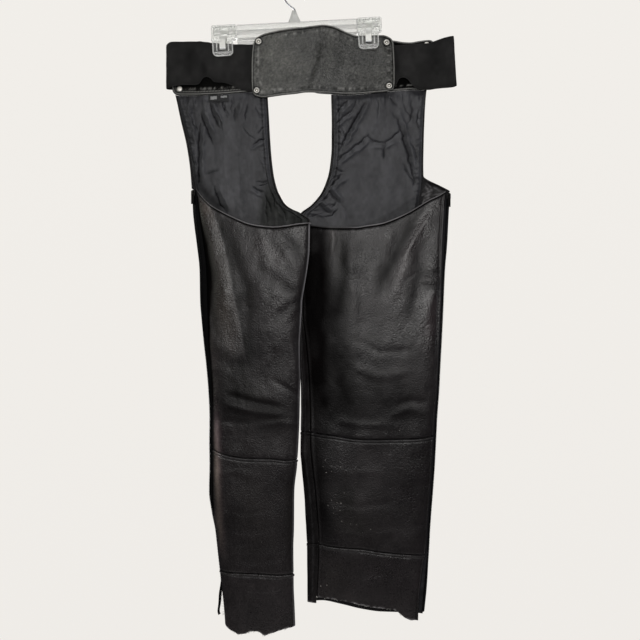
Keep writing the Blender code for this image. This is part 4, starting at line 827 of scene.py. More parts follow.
def toned(tree, color, worn_and_highlight_colour, warm_tint=(0.93, 1.0, 0.80)):
    """The colour scaled by the painted light and shade in stops, warmed by the warm field, and paled towards a colour
    that serves for scuffs and painted highlights.
    """
    stops = math_node(tree, "POWER", 2.0, read(tree, "tone"))
    c = node(tree, "ShaderNodeVectorMath", {0: color, "Scale": stops}, operation="SCALE").outputs[0]
    w = node(tree, "ShaderNodeVectorMath", {0: c, 1: warm_tint}, operation="MULTIPLY").outputs[0]
    m1 = node(tree, "ShaderNodeMix", data_type="RGBA")
    tree.links.new(read(tree, "warm"), m1.inputs[0])
    tree.links.new(c, m1.inputs[6])
    tree.links.new(w, m1.inputs[7])
    m2 = node(tree, "ShaderNodeMix", data_type="RGBA")
    tree.links.new(read(tree, "wear"), m2.inputs[0])
    tree.links.new(m1.outputs[2], m2.inputs[6])
    m2.inputs[7].default_value = (*worn_and_highlight_colour, 1.0)
    return m2.outputs[2]


def shine(tree, spec):
    """Gloss that follows the painted shading: less where it paints shade, in creases and shaded parts, and more where
    it paints light.
    """
    gain = math_node(tree, "MULTIPLY", math_node(tree, "MINIMUM", read(tree, "tone"), 0.45), 0.42 * spec)
    return math_node(tree, "MAXIMUM", math_node(tree, "ADD", gain, spec), 0.06 * spec, clamp=True)


def leather(name, dark, light, rough, grain=2.0, depth=0.28, mottle=0.35, spec=0.5, patch=9.0, pebble=0.3, worn_and_highlight_colour=(0.29, 0.28, 0.27)):
    """Grained leather: pebbles, fine creases between them, and softer unevenness."""
    mat, tree, b = new_material(name)
    v = coords(tree)
    broad = node(tree, "ShaderNodeTexNoise", {"Vector": v, "Scale": patch, "Detail": 4.0, "Roughness": 0.55}).outputs["Fac"]
    fine = node(tree, "ShaderNodeTexNoise", {"Vector": v, "Scale": 250.0, "Detail": 3.0, "Roughness": 0.7}).outputs["Fac"]
    mid = node(tree, "ShaderNodeTexNoise", {"Vector": v, "Scale": 62.0, "Detail": 2.0, "Roughness": 0.5}).outputs["Fac"]
    cells = node(tree, "ShaderNodeTexVoronoi", {"Vector": v, "Scale": 1000.0 / grain, "Randomness": 1.0},
                 feature="F1").outputs["Distance"]
    mixed = math_node(tree, "MULTIPLY", broad, fine)
    # the base colour takes the painted light and shade, and the pale colour of scuffs and painted highlights, from the
    # point fields
    tree.links.new(toned(tree, ramp(tree, mixed, ((0.14, dark), (0.40, light))), worn_and_highlight_colour), b.inputs["Base Color"])
    r0 = node(tree, "ShaderNodeSeparateColor", {"Color": ramp(tree, broad, ((0.3, grey(rough - 0.06)), (0.7, grey(rough + 0.08))))}).outputs[0]
    r1 = math_node(tree, "ADD", r0, math_node(tree, "MULTIPLY", math_node(tree, "SUBTRACT", fine, 0.5), 0.34))
    # the roughness follows the painted shading: smoother where it paints light
    r2 = math_node(tree, "SUBTRACT", r1, math_node(tree, "MULTIPLY", read(tree, "tone"), 0.06))
    tree.links.new(math_node(tree, "MAXIMUM", r2, 0.2, clamp=True), b.inputs["Roughness"])
    tree.links.new(shine(tree, spec), b.inputs["Specular IOR Level"])
    bump1 = node(tree, "ShaderNodeBump", {"Height": cells, "Strength": 1.0, "Distance": -depth * MM})
    bump2 = node(tree, "ShaderNodeBump", {"Height": mid, "Strength": 1.0, "Distance": mottle * MM, "Normal": bump1.outputs["Normal"]})
    bump3 = node(tree, "ShaderNodeBump", {"Height": fine, "Strength": 1.0, "Distance": pebble * MM, "Normal": bump2.outputs["Normal"]})
    tree.links.new(bump3.outputs["Normal"], b.inputs["Normal"])
    return mat


def suede(name, color):
    mat, tree, b = new_material(name)
    v = coords(tree)
    nap = node(tree, "ShaderNodeTexNoise", {"Vector": v, "Scale": 420.0, "Detail": 4.0, "Roughness": 0.65}).outputs["Fac"]
    tree.links.new(ramp(tree, nap, ((0.35, tuple(c * 0.6 for c in color)), (0.65, tuple(c * 1.35 for c in color)))), b.inputs["Base Color"])
    b.inputs["Roughness"].default_value = 0.93
    b.inputs["Specular IOR Level"].default_value = 0.25
    bump = node(tree, "ShaderNodeBump", {"Height": nap, "Strength": 1.0, "Distance": 0.3 * MM})
    tree.links.new(bump.outputs["Normal"], b.inputs["Normal"])
    return mat


def woven(name, color, rough, pitch=(0.7, 0.7), depth=0.08, sheen=0.0, streak=0.0, spec=0.5):
    """Cloth with threads along Z and across it, at the given pitch in mm."""
    mat, tree, b = new_material(name)
    v = coords(tree)
    sep = node(tree, "ShaderNodeSeparateXYZ", {"Vector": v})
    wave = []
    for out, p in (("X", pitch[0]), ("Z", pitch[1])):
        m = node(tree, "ShaderNodeMath", {0: sep.outputs[out], 1: 2000.0 * math.pi / p}, operation="MULTIPLY")
        wave.append(node(tree, "ShaderNodeMath", {0: m.outputs[0]}, operation="SINE").outputs[0])
    both = node(tree, "ShaderNodeMath", {0: wave[0], 1: wave[1]}, operation="MULTIPLY").outputs[0]
    noise = node(tree, "ShaderNodeTexNoise", {"Vector": coords(tree, (60, 60, 12 if streak else 60)), "Scale": 1.0, "Detail": 4.0}).outputs["Fac"]
    # the cloth's colour takes the painted light and shade from the point fields, and pales towards four times its
    # colour for scuffs and painted highlights
    tree.links.new(toned(tree, ramp(tree, noise, ((0.3, tuple(c * (0.82 - streak) for c in color)), (0.7, tuple(c * (1.16 + streak) for c in color)))),
                         tuple(min(1.0, c * 4) for c in color)), b.inputs["Base Color"])
    b.inputs["Roughness"].default_value = rough
    tree.links.new(shine(tree, spec), b.inputs["Specular IOR Level"])
    b.inputs["Sheen Weight"].default_value = sheen
    b.inputs["Sheen Roughness"].default_value = 0.4
    bump = node(tree, "ShaderNodeBump", {"Height": both, "Strength": 1.0, "Distance": depth * MM})
    tree.links.new(bump.outputs["Normal"], b.inputs["Normal"])
    return mat


def metal(name, color, rough, scratch=120.0):
    mat, tree, b = new_material(name)
    v = coords(tree)
    n = node(tree, "ShaderNodeTexNoise", {"Vector": v, "Scale": scratch, "Detail": 3.0}).outputs["Fac"]
    tree.links.new(ramp(tree, n, ((0.3, tuple(c * 0.82 for c in color)), (0.7, color))), b.inputs["Base Color"])
    tree.links.new(ramp(tree, n, ((0.3, grey(rough * 0.8)), (0.7, grey(rough * 1.35)))), b.inputs["Roughness"])
    b.inputs["Metallic"].default_value = 1.0
    return mat


def clear_plastic(name, bands=None, cloud_and_painted_highlight=(0.96, 0.96, 0.94, 1)):
    """Clear moulded plastic: its rims and ribs are cloudier and paler than its faces, a paleness that also paints their
    highlights.  The bands are stops (level in mm, cloudiness) across a bar below its top edge."""
    mat, tree, b = new_material(name)
    v = coords(tree)
    n = node(tree, "ShaderNodeTexNoise", {"Vector": v, "Scale": 260.0, "Detail": 2.0}).outputs["Fac"]
    rim = read(tree, "rim")
    if bands:
        sep = node(tree, "ShaderNodeSeparateXYZ", {"Vector": v})
        up = math_node(tree, "MULTIPLY", sep.outputs["Z"], math.cos(BAR_TILT))
        side = math_node(tree, "MULTIPLY", sep.outputs["X"], -math.sin(BAR_TILT))
        level = math_node(tree, "ADD", up, side)
        base = BAR_ORIGIN[2] * MM * math.cos(BAR_TILT)
        down = math_node(tree, "MULTIPLY", math_node(tree, "SUBTRACT", base, level), 1.0 / (45.0 * MM))
        rim = node(tree, "ShaderNodeSeparateColor", {"Color": ramp(tree, down, [(q / 45.0, grey(g)) for q, g in bands])}).outputs[0]
    mix = node(tree, "ShaderNodeMix", data_type="RGBA")
    tree.links.new(rim, mix.inputs[0])
    mix.inputs[6].default_value = (0.92, 0.93, 0.92, 1)
    mix.inputs[7].default_value = cloud_and_painted_highlight
    tree.links.new(mix.outputs[2], b.inputs["Base Color"])
    tree.links.new(ramp(tree, n, ((0.3, grey(0.03)), (0.7, grey(0.10)))), b.inputs["Roughness"])
    b.inputs["IOR"].default_value = 1.49
    tree.links.new(math_node(tree, "SUBTRACT", 0.94, math_node(tree, "MULTIPLY", rim, 0.66), clamp=True), b.inputs["Transmission Weight"])
    bump = node(tree, "ShaderNodeBump", {"Height": n, "Strength": 1.0, "Distance": 0.06 * MM})
    tree.links.new(bump.outputs["Normal"], b.inputs["Normal"])
    return mat


M_LEG = leather("leg_leather", (0.0084, 0.0062, 0.0066), (0.0178, 0.0136, 0.0142), 0.33, grain=2.6, depth=0.36, mottle=0.26, pebble=0.4, worn_and_highlight_colour=(0.42, 0.405, 0.42))
M_BELT = leather("belt_leather", (0.0155, 0.0157, 0.0139), (0.048, 0.0475, 0.0418), 0.42, grain=2.8, depth=0.62, mottle=0.36, pebble=0.74, worn_and_highlight_colour=(0.34, 0.335, 0.315))
M_SUEDE = suede("leather_flesh_side", (0.022, 0.021, 0.022))
M_RAW = suede("leather_cut_edge", (0.24, 0.225, 0.21))
M_NYLON = woven("lining_nylon", (0.036, 0.036, 0.041), 0.44, pitch=(0.9, 0.9), depth=0.05, sheen=0.15)
M_WEB = woven("elastic_web", (0.0196, 0.0188, 0.0185), 0.86, pitch=(2.0, 1.1), depth=0.22, sheen=0.05, spec=0.3)
# the zip tape is black, and darker than dyed tape would be, which paints the shade the zips lie in
M_TAPE = woven("zip_tape", (0.0036, 0.0036, 0.004), 0.85, pitch=(1.4, 1.0), depth=0.15, spec=0.12)
M_TEETH = metal("zip_teeth", (0.035, 0.035, 0.037), 0.42)
M_THREAD = woven("thread_black", (0.02, 0.02, 0.021), 0.6, pitch=(0.8, 0.8), depth=0.05)
M_NICKEL = metal("snap_nickel", (0.88, 0.855, 0.80), 0.50)
M_ZIPMETAL = metal("zip_metal", (0.055, 0.053, 0.052), 0.36)
M_STEEL = metal("hook_steel", (0.48, 0.48, 0.50), 0.28)
M_SPRING = metal("spring_strip", (0.80, 0.80, 0.76), 0.40)
M_DARK = metal("snap_groove", (0.13, 0.115, 0.085), 0.6)
M_PULL = metal("zip_pull_dark", (0.022, 0.021, 0.021), 0.42)
M_FRAY = suede("leather_fray", (0.62, 0.60, 0.56))
# the spring's lip catches the light from above, and its metal is paler than the spring's, which paints its highlight
# brighter
M_LIP = metal("spring_lip_bright", (0.95, 0.96, 0.96), 0.5)
M_CLEAR = clear_plastic("hanger_clear")
# the bar's pale bands paint the highlights along its ribs, and its clear bands the darker lines between them
M_BAR = clear_plastic("hanger_bar_clear", cloud_and_painted_highlight=(0.70, 0.70, 0.68, 1), bands=((0.0, 0.75), (2.2, 0.2), (7.5, 0.05), (10.5, 0.0), (11.6, 0.9), (14.0, 0.6), (20.5, 0.35), (21.6, 0.05),
                                           (27.0, 0.1), (28.6, 0.95), (31.0, 0.75), (33.0, 0.0), (36.0, 0.35), (41.5, 0.5)))
M_TAG = woven("tag_black", (0.012, 0.012, 0.013), 0.55, pitch=(0.8, 0.8), depth=0.1)
M_MARK = woven("tag_pale", (0.35, 0.35, 0.35), 0.7, pitch=(0.8, 0.8), depth=0.1)

ROOT = "garment_and_hanger"


def piece(obj, slot_name, *nodes):
    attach(obj, ROOT)
    if nodes:
        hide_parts(*nodes)
    return obj


# ========================================================== folds
# Heights in mm, half widths in picture units of 2.08 mm, points in the same units.
LEG_FOLDS = {
    "L": (
        (1.5, 7.5, 2, (199, 192), (207, 222), (219, 262), (228, 300), (238, 334)),
        (-1.2, 5.0, 2, (201, 232), (206, 262), (212, 300), (216, 330)),
        (-1.8, 7.0, 2, (222, 226), (234, 256), (246, 290), (248, 330)),
        (1.6, 7.0, 2, (262, 236), (268, 262), (262, 300)),
        (-1.5, 6.0, 2, (254, 264), (274, 280), (300, 298)),
        (-1.2, 4.5, 2, (276, 318), (290, 306), (304, 300)),
        (-1.2, 4.0, 2, (280, 236), (292, 246), (304, 256)),
        (1.4, 4.5, 2, (214, 432), (216, 470), (219, 527)),
        (1.4, 4.0, 2, (282, 246), (292, 262), (300, 276)),
        (-1.6, 3.0, 2, (273, 379), (285, 386), (298, 396)),
        (-2.2, 3.2, 2, (230, 394), (255, 401), (282, 406)),
        (1.8, 3.0, 2, (228, 404), (254, 411), (284, 414)),
        (-0.7, 3.0, 2, (216, 418), (240, 422), (262, 420)),
        (1.3, 2.8, 2, (262, 424), (282, 421), (298, 424)),
        (-0.6, 5.0, 2, (212, 356), (232, 366), (252, 364)),
        (0.5, 6.0, 2, (210, 340), (226, 350), (244, 352)),
        (1.3, 3.4, 2, (214, 474), (236, 470), (262, 476)),
        (-1.2, 3.0, 2, (218, 506), (246, 512), (272, 508)),
        (1.2, 3.4, 2, (222, 532), (250, 536), (280, 530)),
        (-1.1, 2.6, 2, (226, 556), (256, 560), (288, 556)),
        (1.1, 2.6, 2, (236, 588), (262, 594), (284, 590)),
        (-1.0, 3.0, 2, (240, 606), (252, 618), (256, 630)),
        (1.0, 2.6, 2, (268, 600), (272, 616), (270, 628)),
        (1.3, 3.2, 2, (288, 330), (294, 352), (296, 376)),
        (-1.2, 3.2, 2, (204, 300), (212, 316), (216, 336)),
    ),
    "R": (
        (0.9, 2.6, 2, (434, 202), (425, 221), (413, 241), (403, 257)),
        (-0.4, 1.6, 2, (430, 208), (419, 227), (406, 247)),
        (-1.7, 6.5, 2, (430, 204), (412, 226), (400, 243), (392, 258), (384, 275), (375, 294)),
        (2.4, 6.5, 2, (420, 222), (408, 248), (400, 276), (388, 304)),
        (0.9, 6.0, 2, (410, 206), (392, 232), (378, 256)),
        (-2.4, 7.0, 2, (432, 232), (422, 258), (417, 290), (412, 318)),
        (-0.8, 1.0, 1.5, (404, 279), (410, 277), (416, 273)),
        (1.8, 5.0, 2, (438, 284), (430, 300), (424, 324)),
        (-1.4, 2.2, 2, (423, 274), (434, 273), (443, 272)),
        (1.2, 2.2, 2, (420, 280), (432, 281), (442, 280)),
        (-1.2, 2.0, 2, (420, 286), (430, 288), (441, 288)),
        (2.0, 6.0, 2, (352, 232), (350, 262), (354, 300), (352, 330)),
        (-2.4, 6.0, 2, (318, 228), (320, 262), (318, 300)),
        (1.8, 2.4, 2, (332, 226), (333, 240), (331, 256)),
        (-0.7, 2.6, 2, (339, 228), (339, 256), (335, 284)),
        (-0.6, 3.2, 2, (340, 232), (342, 262), (340, 292)),
        (1.6, 8.0, 2, (382, 236), (376, 268), (372, 308)),
        (1.4, 4.0, 2, (392, 414), (408, 408), (424, 412)),
        (-1.2, 3.4, 2, (396, 404), (410, 400), (426, 402)),
        (1.2, 3.2, 2, (340, 420), (362, 424), (388, 424)),
        (-1.3, 3.2, 2, (416, 484), (428, 483), (436, 481)),
        (-1.3, 3.2, 2, (412, 524), (424, 523), (432, 521)),
        (1.1, 3.4, 2, (322, 466), (348, 472), (380, 470)),
        (-1.1, 3.2, 2, (330, 500), (360, 506), (394, 500)),
        (1.1, 3.2, 2, (336, 530), (368, 534), (400, 530)),
        (1.1, 3.2, 2, (328, 574), (360, 580), (392, 576)),
        (-1.1, 3.2, 2, (330, 592), (358, 600), (390, 598)),
        (-1.2, 4.0, 2, (356, 340), (380, 352), (412, 350)),
        (1.3, 5.0, 2, (350, 366), (378, 376), (410, 372)),
        (-1.0, 3.0, 2, (326, 372), (340, 388), (346, 404)),
    ),
}
# On the front side, which the picture does not show, in the same units.
FRONT_FOLDS = {
    "L": (
        (2.4, 5.0, 2, (202, 180), (216, 214), (228, 262)), (-2.0, 5.0, 2, (214, 176), (232, 214), (242, 256)),
        (1.8, 5.0, 2, (286, 236), (276, 270), (270, 310)), (-1.6, 3.4, 2, (224, 398), (252, 406), (284, 400)),
        (1.8, 3.4, 2, (222, 408), (250, 416), (288, 410)), (-1.6, 3.2, 2, (230, 424), (262, 430), (290, 424)),
        (1.4, 4.0, 2, (214, 330), (236, 350), (262, 358)), (-1.2, 3.2, 2, (226, 520), (256, 528), (286, 522)),
        (1.4, 4.0, 2, (196, 110), (204, 140), (206, 170)), (-1.4, 4.0, 2, (262, 108), (256, 140), (262, 176)),
        (1.2, 3.2, 2, (236, 580), (262, 586), (290, 580)), (1.6, 4.5, 2, (226, 104), (230, 134), (226, 168)),
    ),
    "R": (
        (2.4, 5.0, 2, (434, 208), (416, 236), (402, 276)), (-2.0, 5.0, 2, (424, 206), (404, 236), (392, 270)),
        (-1.6, 3.4, 2, (326, 384), (356, 392), (400, 388)), (1.8, 3.4, 2, (324, 396), (358, 404), (408, 398)),
        (-1.6, 3.2, 2, (334, 410), (370, 416), (412, 412)), (1.4, 4.0, 2, (326, 300), (346, 322), (372, 330)),
        (1.2, 3.4, 2, (342, 520), (372, 528), (404, 520)), (1.4, 4.0, 2, (404, 108), (410, 140), (416, 172)),
        (-1.4, 4.0, 2, (346, 106), (350, 140), (340, 172)), (1.6, 4.5, 2, (376, 104), (372, 134), (378, 170)),
        (-1.2, 3.2, 2, (348, 576), (376, 582), (400, 578)),
    ),
}
LINING_FOLDS = {
    "L": (
        (-2.4, 1.5, 1.5, (209.5, 102), (213, 114), (219.5, 129)), (2.6, 2.0, 2, (213, 101), (217, 112), (223, 124)),
        (-2.6, 1.8, 1.5, (201, 114), (206, 128), (213.5, 144)), (2.6, 2.4, 2, (204, 108), (210, 124), (217, 138)),
        (-2.6, 1.5, 1.6, (200.5, 124), (198.6, 144), (198.8, 184)), (2.4, 3.0, 2, (204, 130), (203, 150), (203, 180)),
        (-2.4, 3.0, 2, (192, 99), (193, 112), (195, 128)), (2.2, 2.4, 2, (187, 106), (192, 122), (196, 146)),
        (-1.6, 1.4, 1.5, (236, 108), (234.6, 120)), (-1.6, 1.4, 1.5, (247, 104), (245.5, 121)),
        (1.6, 2.2, 2, (241, 102), (239.5, 118)), (-2.4, 1.3, 1.4, (252.5, 146), (259, 141), (266, 139)),
        (2.0, 1.8, 2, (250, 150), (259, 146), (266, 143)), (-1.8, 1.2, 1.4, (258, 134), (263, 128), (267, 126)),
        (-2.2, 1.3, 1.4, (253, 188), (258, 191), (264, 193)), (1.8, 1.8, 2, (252, 192), (258, 195), (264, 196)),
        (-2.0, 1.5, 1.5, (214, 186), (219, 200), (225.5, 211)), (1.6, 3.0, 2, (219, 186), (224, 198), (231, 210)),
        (-1.2, 2.4, 2, (206, 173.5), (213, 172), (219, 170)), (1.4, 8.0, 2, (226, 118), (224, 160), (230, 206)),
        (-1.2, 6.0, 2, (241, 124), (238, 160), (242, 212)), (1.2, 6.0, 2, (251, 154), (249, 180), (256, 212)),
        (-1.6, 1.6, 1.6, (257, 182), (263, 183), (270, 181)), (-1.6, 1.3, 1.5, (222, 100), (224, 108), (230, 116)),
        (-1.4, 1.2, 1.5, (255, 107), (259, 115), (262, 120)), (1.4, 1.8, 2, (262, 160), (266, 168), (270, 178)),
        (-1.5, 1.4, 1.5, (266, 196), (270, 205), (272, 214)), (-1.3, 1.6, 1.5, (281, 203), (283, 210), (287, 217)),
        (1.3, 1.6, 2, (275, 199), (278, 207), (281, 216)), (-1.3, 0.9, 1.5, (267.6, 199), (267.2, 212), (268.4, 224)),
        (-1.4, 0.9, 1.5, (274.6, 194), (276.4, 206)), (-1.2, 0.9, 1.5, (285.4, 213), (286, 222)), (-1.5, 0.9, 1.5, (257.8, 186.4), (264.2, 185.8), (269, 183)),
        (-1.5, 1.0, 1.5, (226, 102), (224.6, 110), (228, 118)), (-1.3, 1.0, 1.5, (232, 99), (231, 108), (233, 114)),
        (-1.6, 1.2, 1.5, (189.5, 112), (193, 124), (199, 133)), (-1.5, 1.0, 1.5, (216, 112), (221, 121), (222, 132)),
        (-1.4, 0.9, 1.5, (244, 128), (249, 136), (256, 139)), (-1.3, 0.9, 1.5, (259, 150), (264, 152), (268, 150)),
        (-1.5, 1.0, 1.5, (187, 148), (192, 158), (194, 170)), (1.4, 1.6, 2, (190, 146), (195, 157), (198, 168)),
    ),
    "R": (
        (-1.8, 1.0, 1.5, (332, 207.4), (334, 205), (335.8, 202.2)), (-1.6, 1.0, 1.5, (327.4, 187.4), (330.8, 181), (336, 176)),
        (-1.6, 1.0, 1.5, (317.4, 201.4), (322, 198.6), (327.4, 196.6)), (-1.6, 1.0, 1.5, (302.5, 216.8), (312.9, 215.7), (324, 212.4)),
        (-1.6, 1.0, 1.5, (321.8, 216.8), (332, 215.8), (337.5, 209)), (-1.2, 3.0, 2, (334, 197), (344, 208), (352, 224)),
        (-1.7, 1.0, 1.5, (324, 206.4), (329, 204.6), (334, 206)), (-1.4, 0.9, 1.5, (340, 128), (345, 134), (352, 137)),
        (-1.4, 0.9, 1.5, (356, 100), (354, 106), (350, 112)), (-1.4, 1.0, 1.5, (404, 104), (407, 112), (413, 120)),
        (-1.3, 0.9, 1.5, (410, 142), (415, 150), (417, 160)), (-1.4, 0.9, 1.5, (376, 99), (379, 107), (378, 116)),
        (-2.6, 1.7, 1.5, (364.5, 104), (352, 126), (338.5, 150)), (2.4, 2.4, 2, (368, 105), (357, 126), (344, 148)),
        (-2.0, 1.4, 1.5, (348.5, 100), (341, 108), (336, 115)), (1.8, 1.9, 2, (353, 101), (345, 110), (339, 117)),
        (-2.2, 1.4, 1.5, (352, 110.5), (343, 117), (335, 124)), (1.8, 2.0, 2, (354, 115), (345, 121), (337, 128)),
        (-2.4, 1.6, 1.5, (393.5, 113), (401, 130), (408, 155), (415, 184)), (2.4, 2.6, 2, (399, 112), (406, 130), (412, 152), (418, 176)),
        (-1.8, 1.3, 1.5, (389, 99), (394, 103), (398, 107)), (-2.0, 1.4, 1.5, (366.5, 134.5), (370, 139), (374, 142), (385, 143)),
        (-2.0, 1.4, 1.5, (385, 143), (392, 138), (400, 131.5)), (1.8, 2.0, 2, (372, 147), (384, 148), (394, 143)),
        (-2.2, 1.5, 1.5, (368, 135), (358, 144), (349, 151), (335, 161)), (2.0, 2.2, 2, (369, 140), (360, 149), (350, 156), (338, 165)),
        (-1.8, 1.4, 1.5, (385, 144), (384, 151), (382.5, 159)), (-2.6, 1.5, 1.5, (327, 189), (333, 196), (340, 202.5)),
        (2.4, 2.0, 2, (330, 187), (337, 193), (343, 199)), (-2.6, 1.5, 1.5, (316.5, 203), (323, 208), (330, 213)),
        (2.4, 1.8, 2, (319, 200), (326, 205), (333, 210)), (-2.0, 1.6, 1.5, (342, 175), (334, 182), (328, 189)),
        (1.8, 2.4, 2, (346, 178), (338, 185), (333, 192)), (-2.0, 1.4, 1.5, (403, 164.5), (409, 174), (415, 184)),
        (1.3, 8.0, 2, (376, 112), (372, 128), (368, 134)), (1.3, 9.0, 2, (384, 160), (388, 186), (384, 214)),
        (-1.2, 8.0, 2, (360, 168), (362, 192), (358, 216)), (-1.6, 1.2, 1.4, (419, 110), (416, 122), (420, 132)),
        (-1.6, 1.2, 1.4, (332, 128), (338, 131), (342, 136)), (-1.8, 1.3, 1.4, (330, 140), (336, 143), (342, 144)),
        (1.8, 1.6, 2, (312, 212), (318, 214), (326, 217)), (-1.5, 1.2, 1.5, (334, 166), (338, 170), (344, 172)),
        (-1.5, 1.6, 1.6, (411, 100), (412, 112), (408, 124)), (1.5, 2.0, 2, (418, 150), (420, 164), (422, 178)),
    ),
}


# Light and shade painted in stops along folds and over lit and shaded parts: (amount, half width, sharpness, points...)
LEG_PAINTED_SHADING = {
    "L": (
        (1.3, 8.0, 2, (198, 172), (206, 202), (212, 222)), (0.7, 6.0, 2, (258, 240), (268, 250), (276, 262)),
        (0.5, 14.0, 2, (218, 296), (224, 318), (229, 350)),
        (-4.6, 6.4, 2, (190, 200), (198.5, 232), (203, 247), (205.5, 262), (207.5, 278), (206.5, 300), (203.5, 320), (202.5, 348)),
        (0.3, 13.0, 2, (250, 238), (256, 262), (264, 286)), (-1.0, 15.0, 2, (214, 398), (250, 414), (294, 412)),
        (0.5, 17.0, 2, (276, 240), (272, 270), (282, 300), (286, 330)), (-0.7, 6.0, 2, (284, 238), (296, 248), (304, 262)),
        (-0.8, 7.0, 2, (254, 266), (274, 282), (302, 300)), (-0.5, 9.0, 2, (244, 330), (238, 380), (236, 410)),
        (-0.6, 6.0, 2, (230, 394), (256, 402), (284, 406)), (-0.6, 6.0, 2, (232, 236), (244, 270), (250, 312)),
        (-0.7, 5.0, 2, (276, 320), (290, 308), (304, 302)), (3.1, 4.4, 2, (217, 404), (218, 436), (218.5, 476), (220, 516), (223, 552)), (1.2, 3.8, 2, (217, 412), (218, 446), (218.5, 486)),
        (0.7, 6.0, 2, (214, 400), (216, 430)), (0.9, 4.5, 2, (211, 334), (213.5, 362), (215.5, 388), (217, 410)),
        (-0.4, 14.0, 2, (246, 350), (246, 388)),
    ),
    "R": (
        (-2.05, 14.0, 3, (315, 178), (314, 240), (312, 300), (316, 380), (322, 440)), (-1.6, 13.0, 2, (328, 262), (334, 306), (340, 360), (344, 430)),
        (-1.0, 5.5, 2, (340, 226), (345, 250), (344, 280), (340, 310)), (-0.95, 34.0, 2, (344, 392), (390, 404), (424, 400)),
        (0.1, 20.0, 2, (374, 244), (372, 280), (376, 312)), (1.0, 2.6, 2, (331, 227), (333, 238), (332, 252)),
        (-1.35, 4.8, 2, (428, 200), (419, 213), (409, 229), (399, 246), (392.5, 258), (385, 275), (377, 292)), (-1.0, 4.6, 2, (420, 266), (415, 284), (406, 314)),
        (1.25, 6.2, 2, (432, 204), (417, 231), (408, 251), (399, 276), (394, 300)), (1.7, 8.0, 2, (434, 292), (430, 312), (428, 340)), (0.5, 9.0, 2, (430, 326), (428, 372)),
        (0.8, 1.0, 2, (405, 276), (411, 274)), (-1.7, 9.0, 2, (316, 440), (320, 486), (326, 540)), (-0.5, 10.0, 2, (342, 480), (348, 520)),
        (-0.8, 2.4, 2, (424, 274), (434, 272), (444, 272)), (-0.6, 2.4, 2, (422, 288), (432, 288), (442, 288)), (-0.35, 22.0, 2, (356, 236), (362, 280)),
    ),
}
# Fold edges: painted light to the left and its width, painted shade to the right and its width, points.
LEG_EDGES = {
    "L": ((1.2, 20.0, 0.95, 11.0, (208, 198), (215, 217), (221, 232), (225, 247), (228.5, 262), (231, 276), (233.5, 290), (236, 304), (240, 320), (243, 336), (247, 364)),),
    "R": (),
}
# Warm, brown parts: (amount, half width, sharpness, points...)
LEG_WARM = {
    "L": ((1.1, 17.0, 2, (199, 186), (209, 222), (219, 262), (224, 300), (228, 352)), (0.7, 20.0, 2, (240, 360), (244, 410)),
          (0.8, 5.0, 2, (214, 424), (217, 470), (219, 520), (223, 556)), (0.4, 22.0, 2, (246, 470), (256, 530), (262, 560)),
          (0.5, 7.0, 2, (292, 470), (290, 520), (290, 560))),
    "R": ((0.7, 12.0, 2, (342, 486), (352, 520), (366, 534)), (0.5, 16.0, 2, (330, 560), (338, 590)),
          (0.6, 9.0, 2, (334, 226), (340, 260), (346, 320)), (0.4, 20.0, 2, (344, 360), (356, 410))),
}


def leg_relief(leg, px, py, front=False):
    rows = FRONT_FOLDS[leg] if front else LEG_FOLDS[leg]
    calm = 1.0 - 0.55 * smooth01((py - 432) / 26.0)
    out = folds(px, py, rows) * calm
    k = 11 if leg == "L" else 29
    if front:
        k += 100
    out += (1.1 * value_noise(px / 34.0 + 3, py / 46.0, k) + 0.6 * value_noise(px / 14.0, py / 20.0, k + 1)) * (0.45 + 0.55 * calm)
    out += (0.26 * value_noise(px / 5.5, py / 7.5, k + 2) + 0.12 * value_noise(px / 2.6, py / 3.0, k + 3)) * calm
    return out


# How far each leg's inner edge hangs towards -X of its section: level in picture units, mm.
INNER_EDGE = {
    "L": ((364, 0.0), (376, 1.8), (420, 1.8), (470, 1.6), (500, 0.0)),
    "R": ((226, 0.0), (300, -2.0), (320, -4.6), (350, -3.4), (380, -2.2), (410, -3.4), (425, -5.2), (440, -7.7), (455, -9.6),
          (470, -8.4), (485, -6.3), (500, -5.0), (515, -4.8), (545, -2.8), (575, -1.8), (660, -1.2)),
}


def fall_back(leg, p, n, z, px, py):
    """The right leg's seat side falls back towards the wall beside the left leg."""
    edge = INNER_EDGE[leg]
    move = np.interp(py, [q[0] for q in edge], [q[1] for q in edge])
    p = p.copy()
    p[..., 0] += move * (smooth01((320.0 - px) / 15.0) if leg == "R" else smooth01((px - 289.0) / 8.0))
    if leg == "L":
        return p
    deep = 7.5 + 5.0 * smooth01((-553 - z) / 40.0)
    q = np.clip(1 - (px - 301.0) / 44.0, 0, 1.2) ** 2
    dip = deep * q * smooth01((-497 - z) / 12.0) * (1 - 0.55 * smooth01((py - 400) / 70.0))
    moved = p.copy()
    moved[..., 1] += dip * np.clip(-n[..., 1] * 1.25 - 0.15, 0, 1)
    return moved


def rolled(t, width=4.0, height=1.9):
    """Height of a turned and stitched edge, t from the edge."""
    roll = np.clip(1 - ((t - width * 0.46) / (width * 0.54)) ** 2, 0, 1) ** 0.5
    return height * roll - 1.0 * np.exp(-((t - width - 0.9) / 1.2) ** 2)


def crest(t, at, width):
    return np.exp(-((t - at) / width) ** 2)


def seam_low(t, allowance=5.6):
    """The lower piece of a lapped seam: a groove, a raised allowance and a topstitch."""
    up = 1.5 * np.clip(1 - ((t - allowance * 0.52) / (allowance * 0.52)) ** 4, 0, 1) ** 0.5
    return up - 1.1 * np.exp(-(t / 1.0) ** 2) - 0.8 * np.exp(-((t - allowance - 0.6) / 1.0) ** 2)


def seam_high(t):
    """The upper piece of a lapped seam sinks towards it."""
    return -1.3 * np.exp(-(t / 1.5) ** 2) - 0.5 * np.exp(-(t / 5.0) ** 2)


# ------------------------------------------------------------------- leg pieces
BACK_ROWS = {}


def fine_back_columns(leg, z, sec, v):
    start = GAP / 2 if leg == "L" else sec.seat_s(v["x_seam"]) + GAP / 2
    end = zip_places(leg, z, sec)[0] - GAP / 2 - 0.3
    return start + (end - start) * BACK_ROWS[leg]


